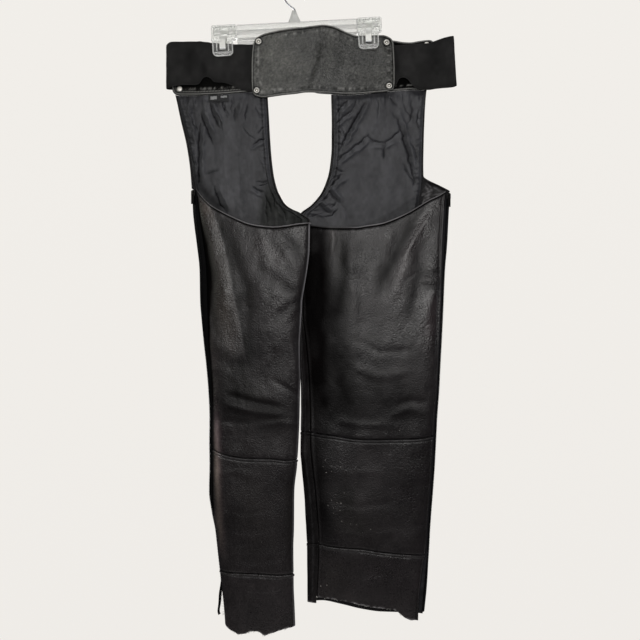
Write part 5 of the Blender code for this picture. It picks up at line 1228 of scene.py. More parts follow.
def back_fine(name, leg, top, bottom, kind_top, kind_bottom, cut_top=0.0, cut_bottom=0.0):
    width = 262.0 if leg == "L" else 300.0
    BACK_ROWS[leg] = spaced(width, 3.4) / width
    surf = BACK_SURFACE.get(leg)
    if surf is None:
        surf = BACK_SURFACE[leg] = Surface(leg, -418.0, -1358.0, tube_section, fine_back_columns)
    i700 = int((surf.z[0] + 700) / LEVEL)
    xs = surf.P[i700][:, 0]
    share = (xs - xs[0]) / (xs[-1] - xs[0])
    top, bottom = edge_track(top), edge_track(bottom)
    z0 = np.array([top.at(f)["z"] for f in share]) - cut_top
    z1 = np.array([bottom.at(f)["z"] for f in share]) + cut_bottom
    drop = float(np.mean(z0 - z1))
    w = spaced(drop, 3.8) / drop
    z = z0[None, :] + (z1 - z0)[None, :] * w[:, None]
    p, n = surf.at(z)
    px, py = px_of(p[..., 0]), py_of(z)
    p = fall_back(leg, p, n, z, px, py)
    relief = leg_relief(leg, px, py)
    t0, t1 = z0[None, :] - z, z - z1[None, :]
    side = np.minimum(np.arange(len(share)), np.arange(len(share))[::-1])
    ease = smooth01(side / 9.0)[None, :]
    relief = relief * (0.15 + 0.85 * ease)
    out = relief.copy()
    # along the panel's inner seam: the right leg's has a pressed groove beside it
    run_in = (share * width)[None, :]
    run_out = ((1 - share) * width)[None, :]
    if leg == "R":
        out += 0.7 * crest(run_in, 3.4, 1.8) - 0.9 * crest(run_in, 0.2, 1.1) - 0.6 * crest(run_in, 7.2, 1.2)
    out += (1.0 if leg == "R" else 0.0) * (0.9 * crest(run_out, 2.2, 1.3) - 0.8 * crest(run_out, 5.4, 1.2))
    tame = 0.35 + 0.65 * smooth01(side / 5.0)[None, :]
    pucker = value_noise(px / 4.2, py / 30.0, 41) + 0.6 * value_noise(px / 2.1, py / 30.0, 42)
    if kind_top == "rolled":
        out += rolled(t0) + 0.6 * pucker * np.exp(-t0 / 14)
    else:
        out += tame * (seam_low(t0) + 0.7 * pucker * np.exp(-t0 / 14))
    if kind_bottom == "seam":
        out += tame * (seam_high(t1) + 0.6 * pucker * np.exp(-t1 / 14))
    else:
        out += 0.5 * pucker * np.exp(-t1 / 9)
        z = z + (0.5 * value_noise(px / 1.7, py * 0, 77) * np.exp(-t1 / 2.5))
    o, i = wall(p, n, z, out, relief, LEATHER)
    # painted light and shade along the folds and beside the fold edges, with random unevenness
    tone = folds(px, py, LEG_PAINTED_SHADING[leg]) + fold_edges(px, py, LEG_EDGES[leg]) + 0.25 * value_noise(px / 9.0, py / 13.0, 91)
    tone += 0.25 * value_noise(px / 2.4, py / 9.0, 92) * (px < 250)
    # painted highlights on the puckers below the top edge
    wear = 0.075 * np.clip(pucker, 0, 1) * crest(t0, 7.0, 2.4)
    # how strong the painted highlight and shade along the folded edges are at each level
    painted_edge_strength = smooth01((py - 205) / 12.0) * (1 - 0.75 * smooth01((py - 300) / 120.0))
    if kind_top == "rolled":
        # the rolled top edge: a painted highlight on its crest, fainter where it lies in shade, painted highlights on
        # the puckers, and a painted shade line below the roll
        roll_highlight_fade = 0.2 + 0.8 * smooth01((px - 344) / 18.0) if leg == "R" else 0.6 + 0.4 * smooth01((px - 212) / 24.0)
        wear = wear + 0.95 * roll_highlight_fade * crest(t0, 1.3, 0.95) * (0.8 + 0.2 * value_noise(px / 9.0, 0 * py, 93))
        wear = wear + 0.13 * np.clip(pucker, 0, 1) * crest(t0, 9.0, 3.0)
        tone = tone - 3.0 * crest(t0, 4.6, 1.4)
    else:
        # a lapped seam: a painted highlight on the raised allowance, painted shade in its groove and along the
        # topstitch
        wear = wear + 0.085 * crest(t0, 2.4, 0.9) * (0.6 + 0.4 * value_noise(px / 12.0, 0 * py, 94))
        wear = wear + 0.04 * crest(t0, 7.2, 0.9) * (0.6 + 0.4 * value_noise(px / 9.0, 0 * py, 194))
        tone = tone - 1.4 * crest(t0, 0.0, 0.9) - 1.4 * crest(t0, 5.9, 0.8)
    if kind_bottom == "seam":
        # a painted highlight and painted shade where the next piece laps on
        wear = wear + 0.04 * crest(t1, 3.0, 1.0)
        tone = tone - 1.4 * crest(t1, 0.0, 1.2)
    else:
        nick = np.clip(value_noise(px / 2.2, 0 * py, 95 if leg == "L" else 96) + 0.35, 0, 1)
        wear = wear + 1.0 * nick * np.exp(-(t1 / 2.2) ** 2)
        tone = tone + 0.35
    if leg == "L":     # a painted highlight along the folded inner edge, painted shade beside it and along the zip
        edge_px = px.max(axis=1, keepdims=True) - px
        wear = 0.68 * wear + (0.09 + 0.91 * painted_edge_strength) * crest(edge_px, 0.7, 0.42) * smooth01(t0 / 3.0)
        tone = tone - 1.0 * painted_edge_strength * crest(edge_px, 2.4, 0.8)
        zip_px = px - px.min(axis=1, keepdims=True)
        tone = tone - 2.8 * np.exp(-(zip_px / 1.9) ** 4) * smooth01((516 - py) / 8.0)
    else:
        # painted highlights on the outer edge and on the inseam's ridge, painted shade lines beside them
        wear = 0.68 * wear + 0.2 * painted_edge_strength * crest(run_out, 1.3, 0.7) + 0.024 * crest(run_in, 3.4, 1.0)
        tone = tone - 1.0 * crest(run_out, 4.4, 1.0) - 1.2 * crest(run_in, 0.2, 1.0)
    obj = sheet_object(name, o, i, [M_LEG, M_SUEDE, M_RAW], inner_slot=1,
                       rim_slots=[0, 2 if kind_bottom == "hem" else 0, 0, 0], tone=tone, wear=np.clip(wear, 0, 1),
                       warm=np.clip(folds(px, py, LEG_WARM[leg]), 0, 1))
    nn = np.concatenate([n, np.zeros(z.shape + (1,))], -1)
    return obj, o, nn, (z0, z1, z)


BACK_SURFACE = {}


def run_at(o, nn, z, depth, top=True):
    """A path over a grid at a given distance from its top or bottom edge."""
    pts, nr = [], []
    for j in range(2, o.shape[1] - 2):
        zz = z[:, j]
        want = zz[0] - depth if top else zz[-1] + depth
        pts.append([np.interp(-want, -zz, o[:, j, c]) for c in range(3)])
        nr.append(nn[min(range(len(zz)), key=lambda r: abs(zz[r] - want)), j])
    return np.array(pts), np.array(nr)


thread_runs = []
leg_nodes = {}
seat_grids = []
for leg in ("L", "R"):
    top_e = BACK_TOP_L if leg == "L" else BACK_TOP_R
    knee_e = KNEE_L if leg == "L" else KNEE_R
    calf_e = CALF_L if leg == "L" else CALF_R
    hem_e = HEM_BACK_L if leg == "L" else HEM_BACK_R
    a, oa, na, (z0a, z1a, za) = back_fine("seat_thigh_" + leg, leg, top_e, knee_e, "rolled", "seam", 0.0, GAP / 2)
    b, ob, nb, (z0b, z1b, zb) = back_fine("seat_calf_" + leg, leg, knee_e, calf_e, "lap", "seam", GAP / 2, GAP / 2)
    c, oc, nc, (z0c, z1c, zc) = back_fine("seat_cuff_" + leg, leg, calf_e, hem_e, "lap", "hem", GAP / 2, 0.0)
    piece(a, "leg_leather", "back_thigh_" + leg)
    piece(b, "leg_leather", "back_calf_" + leg)
    piece(c, "leg_leather", "back_cuff_" + leg)
    leg_nodes[leg] = (a, b, c)
    seat_grids += [(oa, na), (ob, nb), (oc, nc)]
    thread_runs.append(run_at(oa, na, za, 5.8))
    thread_runs.append(run_at(ob, nb, zb, 4.1))
    thread_runs.append(run_at(oc, nc, zc, 4.1))

FRONT_FRACTION = {}


def fine_front_columns(leg, z, sec, v):
    s_front = sec.tip + GAP / 2 if z > ZIP_TOP[leg] + 1 else zip_places(leg, z, sec)[2] + GAP / 2 + 0.2
    turn = 0.0
    if leg == "R":
        turn = sec.seat_s(v["x_seam"]) if z <= CROTCH else 4.5
    main = s_front + (sec.total - s_front) * FRONT_FRACTION[leg]
    if leg == "R":
        return np.concatenate([main, sec.total + (turn - GAP / 2) * np.linspace(0, 1, 9)[1:]])
    main = s_front + (sec.total - GAP / 2 - s_front) * FRONT_FRACTION[leg]
    return main


def edge_row(leg, surf, table, move):
    """z of an edge across the leg at each of the front panel's columns."""
    mean = (table[0][1] + table[-1][1]) / 2
    x = surf.P[int((surf.z[0] - mean) / LEVEL)][:, 0]
    t = edge_track(table)
    return np.array([t.at((q - table[0][0]) / (table[-1][0] - table[0][0]))["z"] for q in x]) + move


# Painted highlights on the crumpled leather inside the right hip: strength, half width, sharpness, points.
FLARE_STROKES = (
    (0.34, 0.7, 1.5, (424.6, 184.0), (428.4, 190.0), (430.0, 198.0)), (0.30, 0.6, 1.5, (426.2, 182.6), (431.2, 186.8), (432.4, 195.0)),
    (0.28, 0.8, 1.5, (433.4, 186.2), (438.0, 189.0), (442.5, 191.0)), (0.30, 0.6, 1.5, (423.8, 192.6), (427.4, 196.4), (430.6, 199.6)),
    (0.26, 0.6, 1.5, (434.0, 194.6), (438.8, 194.0), (444.0, 192.4)), (0.22, 0.6, 1.5, (437.0, 183.6), (442.0, 186.4), (447.0, 188.6)),
    (0.22, 0.5, 1.5, (425.0, 198.0), (428.0, 202.0)),
)


def front_fine(leg, surf, part):
    knee, calf, hem = (KNEE_L, CALF_L, HEM_FRONT_L) if leg == "L" else (KNEE_R, CALF_R, HEM_FRONT_R)
    if part == "thigh":
        ref = surf.P[int((surf.z[0] + 236) / LEVEL)][:, 0]
        z_top = np.array([BAND[leg].at(x)["bottom"] for x in ref]) - GAP - 0.2
        z_low = edge_row(leg, surf, knee, GAP / 2)
        Z = [z_top - u for u in (0, 1.2, 3, 6, 10, 15, 21)]
        last = Z[-1]
        # level rows, close together round the crotch and the zip's top
        for zl in np.concatenate([np.arange(-262, -396, -5.5), np.arange(-396, -512, -2.4), np.arange(-514, -880, -5.5)]):
            Z.append(np.minimum(np.full(len(ref), zl), last - 0.5) if zl > -270 else np.full(len(ref), zl))
        shares = (0.12, 0.26, 0.4, 0.54, 0.66, 0.77, 0.86, 0.92, 0.96, 0.985, 1.0)
        Z += [Z[-1] + (z_low - Z[-1]) * w for w in shares]
        z = np.array(Z)
    else:
        z_top = edge_row(leg, surf, knee if part == "calf" else calf, -GAP / 2)
        z_low = edge_row(leg, surf, calf, GAP / 2) if part == "calf" else edge_row(leg, surf, hem, 0.0)
        drop = float(np.mean(z_top - z_low))
        w = spaced(drop, 5.0, (0.0, 0.4, 1.1, 2.2, 3.6, 5.2, 7.0, 9.5)) / drop
        z = z_top[None, :] + (z_low - z_top)[None, :] * w[:, None]
    p, n = surf.at(z)
    px, py = px_of(p[..., 0]), py_of(z)
    p = fall_back(leg, p, n, z, px, py)
    cols = z.shape[1]
    side = np.minimum(np.arange(cols), np.arange(cols)[::-1])
    ease = smooth01(side / 10.0)[None, :]
    t_top, t_low = z[0][None, :] - z, z - z[-1][None, :]
    relief = leg_relief(leg, px, py, True) * ease
    if part == "thigh":
        relief = relief * smooth01(t_top / 60.0)
    relief = np.maximum(relief, -1.2 - 1.5 * smooth01((-560 - z) / 60.0))
    pucker = value_noise(px / 4.2, py / 30.0, 45) + 0.6 * value_noise(px / 2.1, py / 30.0, 46)
    out = relief.copy()
    if part != "thigh":
        out += seam_low(t_top) + 0.7 * pucker * np.exp(-t_top / 14)
    if part != "cuff":
        out += seam_high(t_low) + 0.6 * pucker * np.exp(-t_low / 14)
    else:
        out += 0.3 * value_noise(px / 1.7, py / 9.0, 78) * np.exp(-t_low / 6)
    # the strip that turns to the seat side is narrow, so its relief stays low
    seat = n[..., 1] < -0.3
    turned = np.clip(1 - abs(n[..., 1]) * 1.6, 0, 1)
    out = np.where(seat, np.clip(out, -0.5, 0.6), out * (1 - 0.6 * turned))
    inner = np.zeros((z.shape[0] - 1, cols - 1), int) + 1
    inn = relief.copy()
    if part == "thigh":
        # leather facing where the lining does not reach, on the outer side of the hip
        bare = (t_top < 330) & (px > 424.5) if leg == "R" else (t_top < 330) & (px < 0)
        inner[bare[:-1, :-1]] = 0
        flare = np.clip(px - 424.0, 0, 4) / 4 * (py < 215) * (py > 172) if leg == "R" else 0.0 * px
        inn = inn - flare * (1.2 + 1.5 * value_noise(px / 3.6 + py / 9, py / 4.0 - px / 12, 83) + 0.8 * value_noise(px / 1.9, py / 2.2, 84))
    o, i = wall(p, n, z, out, inn, LEATHER)
    # painted shade on the strip that turns to the seat side, random streaks on it, a lighter cuff and random unevenness
    tone = 0.3 * value_noise(px / 10.0, py / 14.0, 97) - 1.2 * seat + (0.3 if part == "cuff" else 0.0)
    tone = tone + seat * 0.5 * value_noise(px / 1.8, py / 14.0, 197)
    # painted highlights on the puckers and on the seam's raised allowance, painted shade in its groove and along the
    # topstitch
    wear = 0.06 * np.clip(pucker, 0, 1) * (crest(t_top, 7.0, 2.4) * (part != "thigh") + crest(t_low, 6.0, 2.4) * (part != "cuff"))
    if part != "thigh":
        wear = wear + 0.075 * crest(t_top, 2.4, 0.9) * (1 - seat)
        tone = tone - 1.4 * crest(t_top, 0.0, 0.9) - 1.4 * crest(t_top, 5.9, 0.8)
    if part == "cuff":
        wear = wear + 1.0 * np.clip(value_noise(px / 2.2, 0 * py, 98) + 0.3, 0, 1) * np.exp(-(t_low / 2.0) ** 2)
    col = np.arange(cols)[None, :]
    # a painted highlight along the topstitch of the strip that turns to the seat side
    if leg == "R":
        wear = wear + 0.09 * seat * (col == cols - 4) * (0.5 + 0.5 * value_noise(px / 3.0, py / 2.4, 198))
    # the open edge of the seat: a turned edge with a painted highlight on its crest, both sides; inside the right hip,
    # painted highlights on the crumpled leather and painted shade on its inner face
    rim_in, tone_in = np.zeros(z.shape), 0.0
    if part == "thigh":
        k = (cols - 1 - col) if leg == "L" else (cols - 9 - col)
        rim_in = 0.20 * (z > CROTCH) * ((k >= 1) & (k <= 3)) * (0.7 + 0.3 * value_noise(px / 3.0, py / 3.0, 99))
        wear = wear + rim_in
        if leg == "R":
            rim_in = rim_in + 0.30 * crest(py - (186.4 - (450.5 - px) * 0.42), 0, 1.0) * (px > 424.5) * (py < 200)
            rim_in = rim_in + 1.5 * folds(px, py, FLARE_STROKES) * (px > 423.6)
            tone_in = -1.2 * (px > 423.6) * (py < 205)
    obj = sheet_object("front_%s_leather_%s" % (part, leg), o, i, [M_LEG, M_SUEDE, M_RAW], inner_slot=inner,
                       rim_slots=[0, 2 if part == "cuff" else 0, 0, 0], tone=(tone, tone_in), wear=(0.68 * np.clip(wear, 0, 1), 0.68 * np.clip(rim_in, 0, 1)))
    nodes = {"thigh": ("front_hip_", "front_thigh_"), "calf": ("front_calf_",), "cuff": ("front_cuff_",)}[part]
    piece(obj, "leg_leather", *[q + leg for q in nodes])
    nn = np.concatenate([n, np.zeros(z.shape + (1,))], -1)
    return obj, o, i, nn, z


for leg in ("L", "R"):
    width = 255.0 if leg == "L" else 290.0
    FRONT_FRACTION[leg] = spaced(width, 5.2, (0.0, 0.35, 0.9, 1.8, 3.0, 4.6, 6.6, 9.0, 12.0)) / width
    surf = Surface(leg, -216.0, -1350.0, front_section, fine_front_columns)
    for part in ("thigh", "calf", "cuff"):
        obj, o, i, nn, z = front_fine(leg, surf, part)
        leg_nodes[part + "F" + leg] = (obj,)
        if leg == "R":   # topstitch on the strip that wraps to the seat side
            rows = z[:, 0] < CROTCH - 6
            thread_runs.append((o[rows, -4], nn[rows, -4]))
        if part == "thigh":
            edge = z[:, 0] > CROTCH
            k = -5 if leg == "L" else -12
            thread_runs.append((i[edge, k], -nn[edge, k]))
            thread_runs.append((o[edge, k], nn[edge, k]))
        else:
            thread_runs.append(run_at(o, nn, z, 5.0))

# --------------------------------------------------------------------- linings
lining_grids = {}
for leg in ("L", "R"):
    g = SIGN[leg]
    out_t = Track(LINING_OUT[leg], ("z", "x"))
    low_t = edge_track(BACK_TOP_L if leg == "L" else BACK_TOP_R)
    width = 205.0
    frac = spaced(width, 1.35, (0.0, 0.4, 1.0, 2.0, 3.2, 4.6, 6.0)) / width

    def lining_columns(leg_, z, sec, v):
        edge = THIGH[leg_].at(z)["x_edge"] if z > CROTCH else v["x_in"]
        xa, xb = edge + SIGN[leg_] * (LINING_INSET + HALF), out_t.at(z)["x"]
        s = [sec.front_s(xa + (xb - xa) * f) for f in frac]
        return np.array(s)

    surf = Surface(leg, -216.0, -566.0, front_section, lining_columns)
    xs = surf.P[int((surf.z[0] + 236) / LEVEL)][:, 0]
    z_top = np.array([BAND[leg].at(x)["bottom"] for x in xs]) - GAP - 0.4
    z_low = np.array([low_t.at(f)["z"] for f in frac]) - LINING_BELOW
    rows = spaced(300.0, 1.45, (0.0, 0.4, 1.0, 2.0, 3.2, 4.6, 6.0)) / 300.0
    z = z_top[None, :] + (z_low - z_top)[None, :] * rows[:, None]
    p, n = surf.at(z)
    px, py = px_of(p[..., 0]), py_of(z)
    t_top = z_top[None, :] - z
    side_in = frac[None, :] * width
    side_out = (1 - frac)[None, :] * width
    k = 51 if leg == "L" else 61
    # sharp creases wander a little off their lines
    wx = px + 0.9 * value_noise(px / 5.0, py / 5.0, k + 7) + 0.4 * value_noise(px / 2.0, py / 2.0, k + 8)
    wy = py + 0.9 * value_noise(px / 5.0, py / 5.0, k + 9)
    relief = folds(wx, wy, [(h * (1.5 if h < 0 else 1.5), w * (0.55 if h < 0 else 0.85), (1.2 if h < 0 else 1.5), *pts)
                            for h, w, _, *pts in LINING_FOLDS[leg]])
    relief += 0.9 * value_noise(px / 13.0, py / 30.0, k) + 0.4 * value_noise(px / 5.0, py / 12.0, k + 1)
    relief += 0.16 * value_noise(px / 1.8, py / 3.0, k + 2)
    # gathers below the waistband, and puckers along both sewn sides
    gather = value_noise(px / 2.4, py / 26.0, k + 3) + 0.7 * value_noise(px / 4.6, py / 30.0, k + 4)
    relief += 2.2 * gather * np.exp(-((t_top - 7) / 14) ** 2)
    casing = np.exp(-((side_in - 11.0) / 1.3) ** 2)
    pk = value_noise(px / 9.0, py / 1.9, k + 5) + 0.6 * value_noise(px / 9.0, py / 3.8, k + 6)
    relief += -1.5 * casing + 1.7 * pk * np.exp(-((side_in - 8) / 10) ** 2)
    relief += 1.4 * pk * np.exp(-((side_out - 6) / 8) ** 2)
    hold = smooth01(t_top / 16.0) * smooth01(side_in / 7.0) * smooth01(side_out / 7.0)
    d = -(0.3 + np.maximum(4.0 + relief, 0.1) * hold)      # towards the seat side
    back = LINING_BACK[0] + LINING_BACK[1] * smooth01((-236 - z) / 60)
    mid = p - n * back[..., None]
    ny = np.concatenate([n, np.zeros(z.shape + (1,))], -1)
    o = to_points(mid + n * (d + 0.4)[..., None], z)
    i = to_points(mid + n * (d - 0.4)[..., None], z)
    # painted shade in the sharp creases, painted highlights beside them and on the ridges, and random unevenness
    tone = 2.1 * folds(wx, wy, [(h, w * 0.34, 1.5, *pts) for h, w, _, *pts in LINING_FOLDS[leg] if h < 0 and w < 2.6]) / 2.4
    tone += 0.5 * folds(wx - 1.0, wy - 0.4, [(-h, w * 0.5, 1.5, *pts) for h, w, _, *pts in LINING_FOLDS[leg] if h < 0 and w < 2.6]) / 2.4
    tone += 0.25 * folds(wx, wy, [(h, w, 2, *pts) for h, w, _, *pts in LINING_FOLDS[leg] if h > 0]) / 2.0
    tone += 0.28 * value_noise(px / 7.0, py / 22.0, k + 10) + 0.20 * value_noise(px / 2.6, py / 3.6, k + 11)
    # painted light on the inner part of the right lining, painted shade at the outer edge of the left one
    tone += 0.12 * smooth01((354 - px) / 16.0) if leg == "R" else -0.22 * smooth01((202 - px) / 12.0)
    # painted shade in the casing's groove, the pucker troughs and the gathers' troughs below the waistband
    tone += -0.9 * casing - 0.35 * np.clip(-pk, 0, 1) * np.exp(-((side_in - 8) / 9) ** 2)
    tone += -0.8 * np.clip(-gather, 0, 1) * np.exp(-(t_top / 11) ** 2)
    low = t_top - (z_top - z_low)[None, :] + LINING_BELOW      # above 0: below the seat panel's edge
    # painted shade on the lining below the seat panel's top edge
    tone += -0.5 * smooth01((low + 5) / 10.0)
    warm = 0.0 * tone
    if leg == "L":
        # painted shade over the right part of the left lining, with a browner tint, and painted shade at its outer edge
        # and in a band towards its lower left
        shade = smooth01((px - 258 + (py - 190) * 0.15) / 14.0) * smooth01((py - 176) / 20.0)
        tone += -1.05 * shade + 0.4 * value_noise(px / 2.2, py / 16.0, k + 12) * shade
        tone += -0.5 * np.exp(-((px - 184) / 9.0) ** 2) + folds(px, py, ((-1.5, 5.0, 2, (195, 172), (201, 187), (209, 197.5), (219, 206), (232, 212)),))
        warm = 0.8 * shade
    # a painted highlight along the inner edge, beside the casing
    wear = 0.16 * np.exp(-((side_in - 5.2) / 1.0) ** 2) * (0.6 + 0.4 * value_noise(px / 1.4, py / 1.4, k + 13))
    obj = sheet_object("nylon_lining_" + leg, o, i, M_NYLON, angle=80, tone=(0.0, tone), wear=(0.0, np.clip(wear, 0, 1)), warm=(0.0, warm))
    piece(obj, "lining_nylon", "lining_" + leg)
    leg_nodes["N" + leg] = (obj,)
    lining_grids[leg] = i
    j = int(np.argmin(abs(frac * width - 11.0)))
    vis = z[:, j] > (-520 if leg == "L" else -520)
    thread_runs.append((i[vis, j], -ny[vis, j]))

piece(stitches("leg_stitching", thread_runs, M_THREAD), "leg_leather")

# ------------------------------------------------------------------------ zips
tooth_v, tooth_f = [], []
for leg in ("L", "R"):
    top_z, end_z = ZIP_TOP[leg], ZIP_END[leg]
    zs = np.linspace(top_z, end_z, 210)
    P, N = [], []
    for z in zs:
        sec, v = tube_section(leg, z)
        s_zip, s_c, s_f = zip_places(leg, z, sec)
        cols = np.array([s_zip + GAP / 2, s_zip + GAP / 2 + 0.5, s_c - 4.2, s_c - 3.2, s_c, s_c + 3.2, s_c + 4.2,
                         (s_c + 4.2 + s_f) / 2, s_f - GAP / 2 - 0.5, s_f - GAP / 2])
        cols = np.maximum.accumulate(np.maximum(cols, cols[0]) + np.arange(10) * 1e-4)
        p, n = sec.many(cols)
        P.append(p)
        N.append(n)
    P, N = np.array(P), np.array(N)
    Z = np.repeat(zs[:, None], P.shape[1], 1)
    o = to_points(P + N * 0.5, Z)
    i = to_points(P - N * 0.5, Z)
    grey_end = smooth01((-1168 - Z) / 16.0) * 3.0 + 0.5 * value_noise(Z / 9.0, Z * 0, 203) if leg == "R" else 0.0 * Z
    if leg == "R":
        grey_end = np.maximum(grey_end, 2.4 * (np.arange(10)[None, :] < 3))
    obj = sheet_object("zip_tape_" + leg, o, i, M_TAPE, tone=(grey_end, 0.0))
    piece(obj, "zip_tape", "zip_" + leg)
    leg_nodes["Z" + leg] = (obj,)
    for k, z in enumerate(np.arange(top_z - 14, end_z + 2, -1.55)):
        sec, v = tube_section(leg, z)
        s_c = zip_places(leg, z, sec)[1]
        side = 1 if k % 2 else -1
        (p, n) = sec.at(s_c + side * 0.75)
        t = np.array((n[1], -n[0])) * side
        base = len(tooth_v)
        for a in (-1.9, 1.7):
            for h in (0.3, 1.75):
                for q in (-0.62, 0.62):
                    x = p + t * a * (-1) + n * h
                    tooth_v.append((x[0], x[1], z + q * (1.0 if a < 0 else 0.75)))
        tooth_f += [tuple(base + q for q in f) for f in ((0, 1, 3, 2), (4, 6, 7, 5), (0, 4, 5, 1), (2, 3, 7, 6), (0, 2, 6, 4), (1, 5, 7, 3))]
teeth = raw_object("zip_teeth", tooth_v, tooth_f, M_TEETH, smooth=False)
piece(teeth, "zip_metal")

tail = catmull([(-150.2, -1238.0), (-151.8, -1253.0), (-154.4, -1270.0), (-155.8, -1289.0), (-158.0, -1305.5), (-156.2, -1313.5)], 6)
tt = np.gradient(tail, axis=0)
tt /= np.linalg.norm(tt, axis=1)[:, None]
tn = np.stack([-tt[:, 1], tt[:, 0]], 1)
ys = np.linspace(-4.0, 4.0, 7)
swing = 0.42 + 0.1 * np.sin(np.linspace(0, 5, len(tail)))
o = np.array([[(x + nx * 0.7 + w * y, 1.0 + y * 0.88, z + nz * 0.7) for y in ys] for (x, z), (nx, nz), w in zip(tail, tn, swing)])
i = np.array([[(x - nx * 0.7 + w * y, 1.0 + y * 0.88, z - nz * 0.7) for y in ys] for (x, z), (nx, nz), w in zip(tail, tn, swing)])
zt = piece(sheet_object("zip_tail", o, i, M_TAPE), "zip_tape", "zip_tail_L")


# ==================================================================== the belt
def grid_normals(p):
    """Unit normals of a grid of points, towards -Y or outwards of the path."""
    du = np.gradient(p, axis=1)
    dv = np.gradient(p, axis=0)
    n = np.cross(du, dv)
    n /= np.maximum(np.linalg.norm(n, axis=-1, keepdims=True), 1e-9)
    return n


def upright_grid(plan, tops, bottoms, rows, lean=None):
    """Points of a wall standing on a plan path, and its normals to the path's left."""
    t = np.gradient(plan, axis=0)
    t /= np.linalg.norm(t, axis=1)[:, None]
    n2 = np.stack([-t[:, 1], t[:, 0]], 1)
    lean = np.zeros(len(plan)) if lean is None else lean
    z = tops[None, :] + (bottoms - tops)[None, :] * rows[:, None]
    x = plan[None, :, 0] + lean[None, :] * (rows[:, None] - 0.5)
    y = np.broadcast_to(plan[None, :, 1], z.shape)
    n = np.broadcast_to(np.concatenate([n2, np.zeros((len(n2), 1))], 1)[None], z.shape + (3,))
    return np.stack([x, y, z], -1), n


def resample(a, step, ends=(0.0, 0.35, 0.9, 1.8, 3.2, 5.0, 7.5)):
    """Rows of a curve's points at even spacing along its first two columns."""
    s = np.concatenate([[0], np.cumsum(np.linalg.norm(np.diff(a[:, :2], axis=0), axis=1))])
    q = spaced(s[-1], step, ends)
    return np.stack([np.interp(q, s, a[:, c]) for c in range(a.shape[1])], 1), q, s[-1]


def belt_wall(name, table, thick, mat, out_relief, in_relief, step=2.4, row_step=2.2, inner_slot=0, mats=None, fields=None):
    """A wall from a table of x, y, top, bottom, lean, its outer face to the path's left.
    The relief functions take distance along, height from the top and from the bottom."""
    a, s, total = resample(np.asarray(table, float), step)
    h = float(np.mean(a[:, 2] - a[:, 3]))
    rows = spaced(h, row_step, (0.0, 0.35, 0.9, 1.7, 2.7, 3.9, 5.2, 7.0)) / h
    p, n = upright_grid(a[:, :2], a[:, 2], a[:, 3], rows, a[:, 4] if a.shape[1] > 4 else None)
    outline = np.concatenate([np.stack([s, a[:, 2]], 1), np.stack([s, a[:, 3]], 1)[::-1]])
    t, _, _ = distance_to(np.broadcast_to(s[None], p.shape[:2]), p[..., 2], outline, closed=True)
    ss = np.broadcast_to(s[None], p.shape[:2])
    out, inn = out_relief(ss, p[..., 2], t, p), in_relief(ss, p[..., 2], t, p)
    half = np.full(t.shape, thick / 2)
    half = half * np.sqrt(np.clip(1 - np.clip(1 - t / (thick * 0.55), 0, 1) ** 2, 0.06, 1))
    o = p + n * (half + out)[..., None]
    i = p - n * (half + inn)[..., None]
    extra = {k: (f, f) for k, f in fields(ss, p[..., 2], t, p).items()} if fields else {}
    obj = sheet_object(name, o, i, mats or mat, inner_slot=inner_slot, angle=70, **extra)
    return obj, o, i, n, s, a


def path_inset(o, n, a, s, inset, ends=8.0, top=True, sign=1.0):
    """A run across a wall's face at a distance from its top or bottom edge."""
    pts, nr = [], []
    for j in range(len(s)):
        if s[j] < ends or s[j] > s[-1] - ends:
            continue
        want = a[j, 2] - inset if top else a[j, 3] + inset
        zz = o[:, j, 2]
        pts.append([np.interp(-want, -zz, o[:, j, c]) for c in range(3)])
        k = int(np.argmin(abs(zz - want)))
        nr.append(sign * n[k, j])
    return np.array(pts), np.array(nr)


def belt_pucker(s, z, k):
    return value_noise(s / 5.2, z / 16.0, k) + 0.6 * value_noise(s / 2.7, z / 12.0, k + 1)


def edge_fields(seed, rim=0.62, at=1.7, shade=False, marks=(2.5, 7.3, 13.2)):
    """Painted light and shade of a piped, stitched edge: painted highlights on the piping and the puckers, painted
    shade in the grooves.  The shaded one is painted dark off its edge, as in shadow, but for its seam lines and the
    puckers' crests.
    """
    def run(ss, z, t, p):
        pk = belt_pucker(ss, z, seed)
        # painted highlights on the piping's crest and the puckers, painted shade in the grooves and pucker troughs, and
        # random unevenness
        wear = rim * crest(t, at, 0.85) * (0.8 + 0.2 * value_noise(ss / 7.0, z / 7.0, seed + 5)) + 0.5 * np.clip(pk, 0, 1) * crest(t, 11.4, 2.6)
        tone = -2.2 * crest(t, 4.1, 0.9) - 0.9 * np.clip(-pk, 0, 1) * crest(t, 10.5, 3.4) + 0.3 * value_noise(ss / 15.0, z / 11.0, seed + 6)
        tone = tone - 1.3 * crest(t, 8.2, 0.8)
        if shade:
            # painted highlights on a second, broken line where the seam is sewn, then painted shadow but for painted
            # highlights on the puckers' crests
            first, second, crests = marks
            wear = 0.80 * crest(t, first, 0.9) * (0.8 + 0.2 * value_noise(ss / 7.0, z / 7.0, seed + 5))
            if second:
                wear = wear + 0.56 * crest(t, second, 0.8) * (0.62 + 0.38 * np.sin(ss * 2 * math.pi / 3.9))
                tone = -2.6 * crest(t, first + 2.4, 1.1) - 2.6 * crest(t, second + 2.4, 1.2) - 3.2 * smooth01((t - second - 3.2) / 2.0)
            else:
                wear = wear * (1.0 + 0.3 * np.sin(ss * 2 * math.pi / 4.4))
                tone = -3.6 * smooth01((t - first - 0.8) / 1.2)
            wear = wear + 0.70 * np.clip(pk - 0.05, 0, 1) * crest(t, crests, 2.0 if second else 1.3)
            if second:      # painted highlights on fine slanting gathers between the seam and the puckers
                hatch = np.sin((ss + 0.9 * t) * 2 * math.pi / 5.0 + 2.2 * value_noise(ss / 9.0, t / 9.0, seed + 8))
                wear = wear + 0.34 * np.clip(hatch, 0, 1) * np.clip(0.7 + 0.6 * value_noise(ss / 12.0, t / 40.0, seed + 9), 0, 1) * crest(t, crests - 1.2, 2.4)
            # painted shadow right at the edge
            tone = tone - 2.0 * np.exp(-(t / 0.7) ** 2)
        return {"wear": np.clip(wear, 0, 1), "tone": tone}
    return run


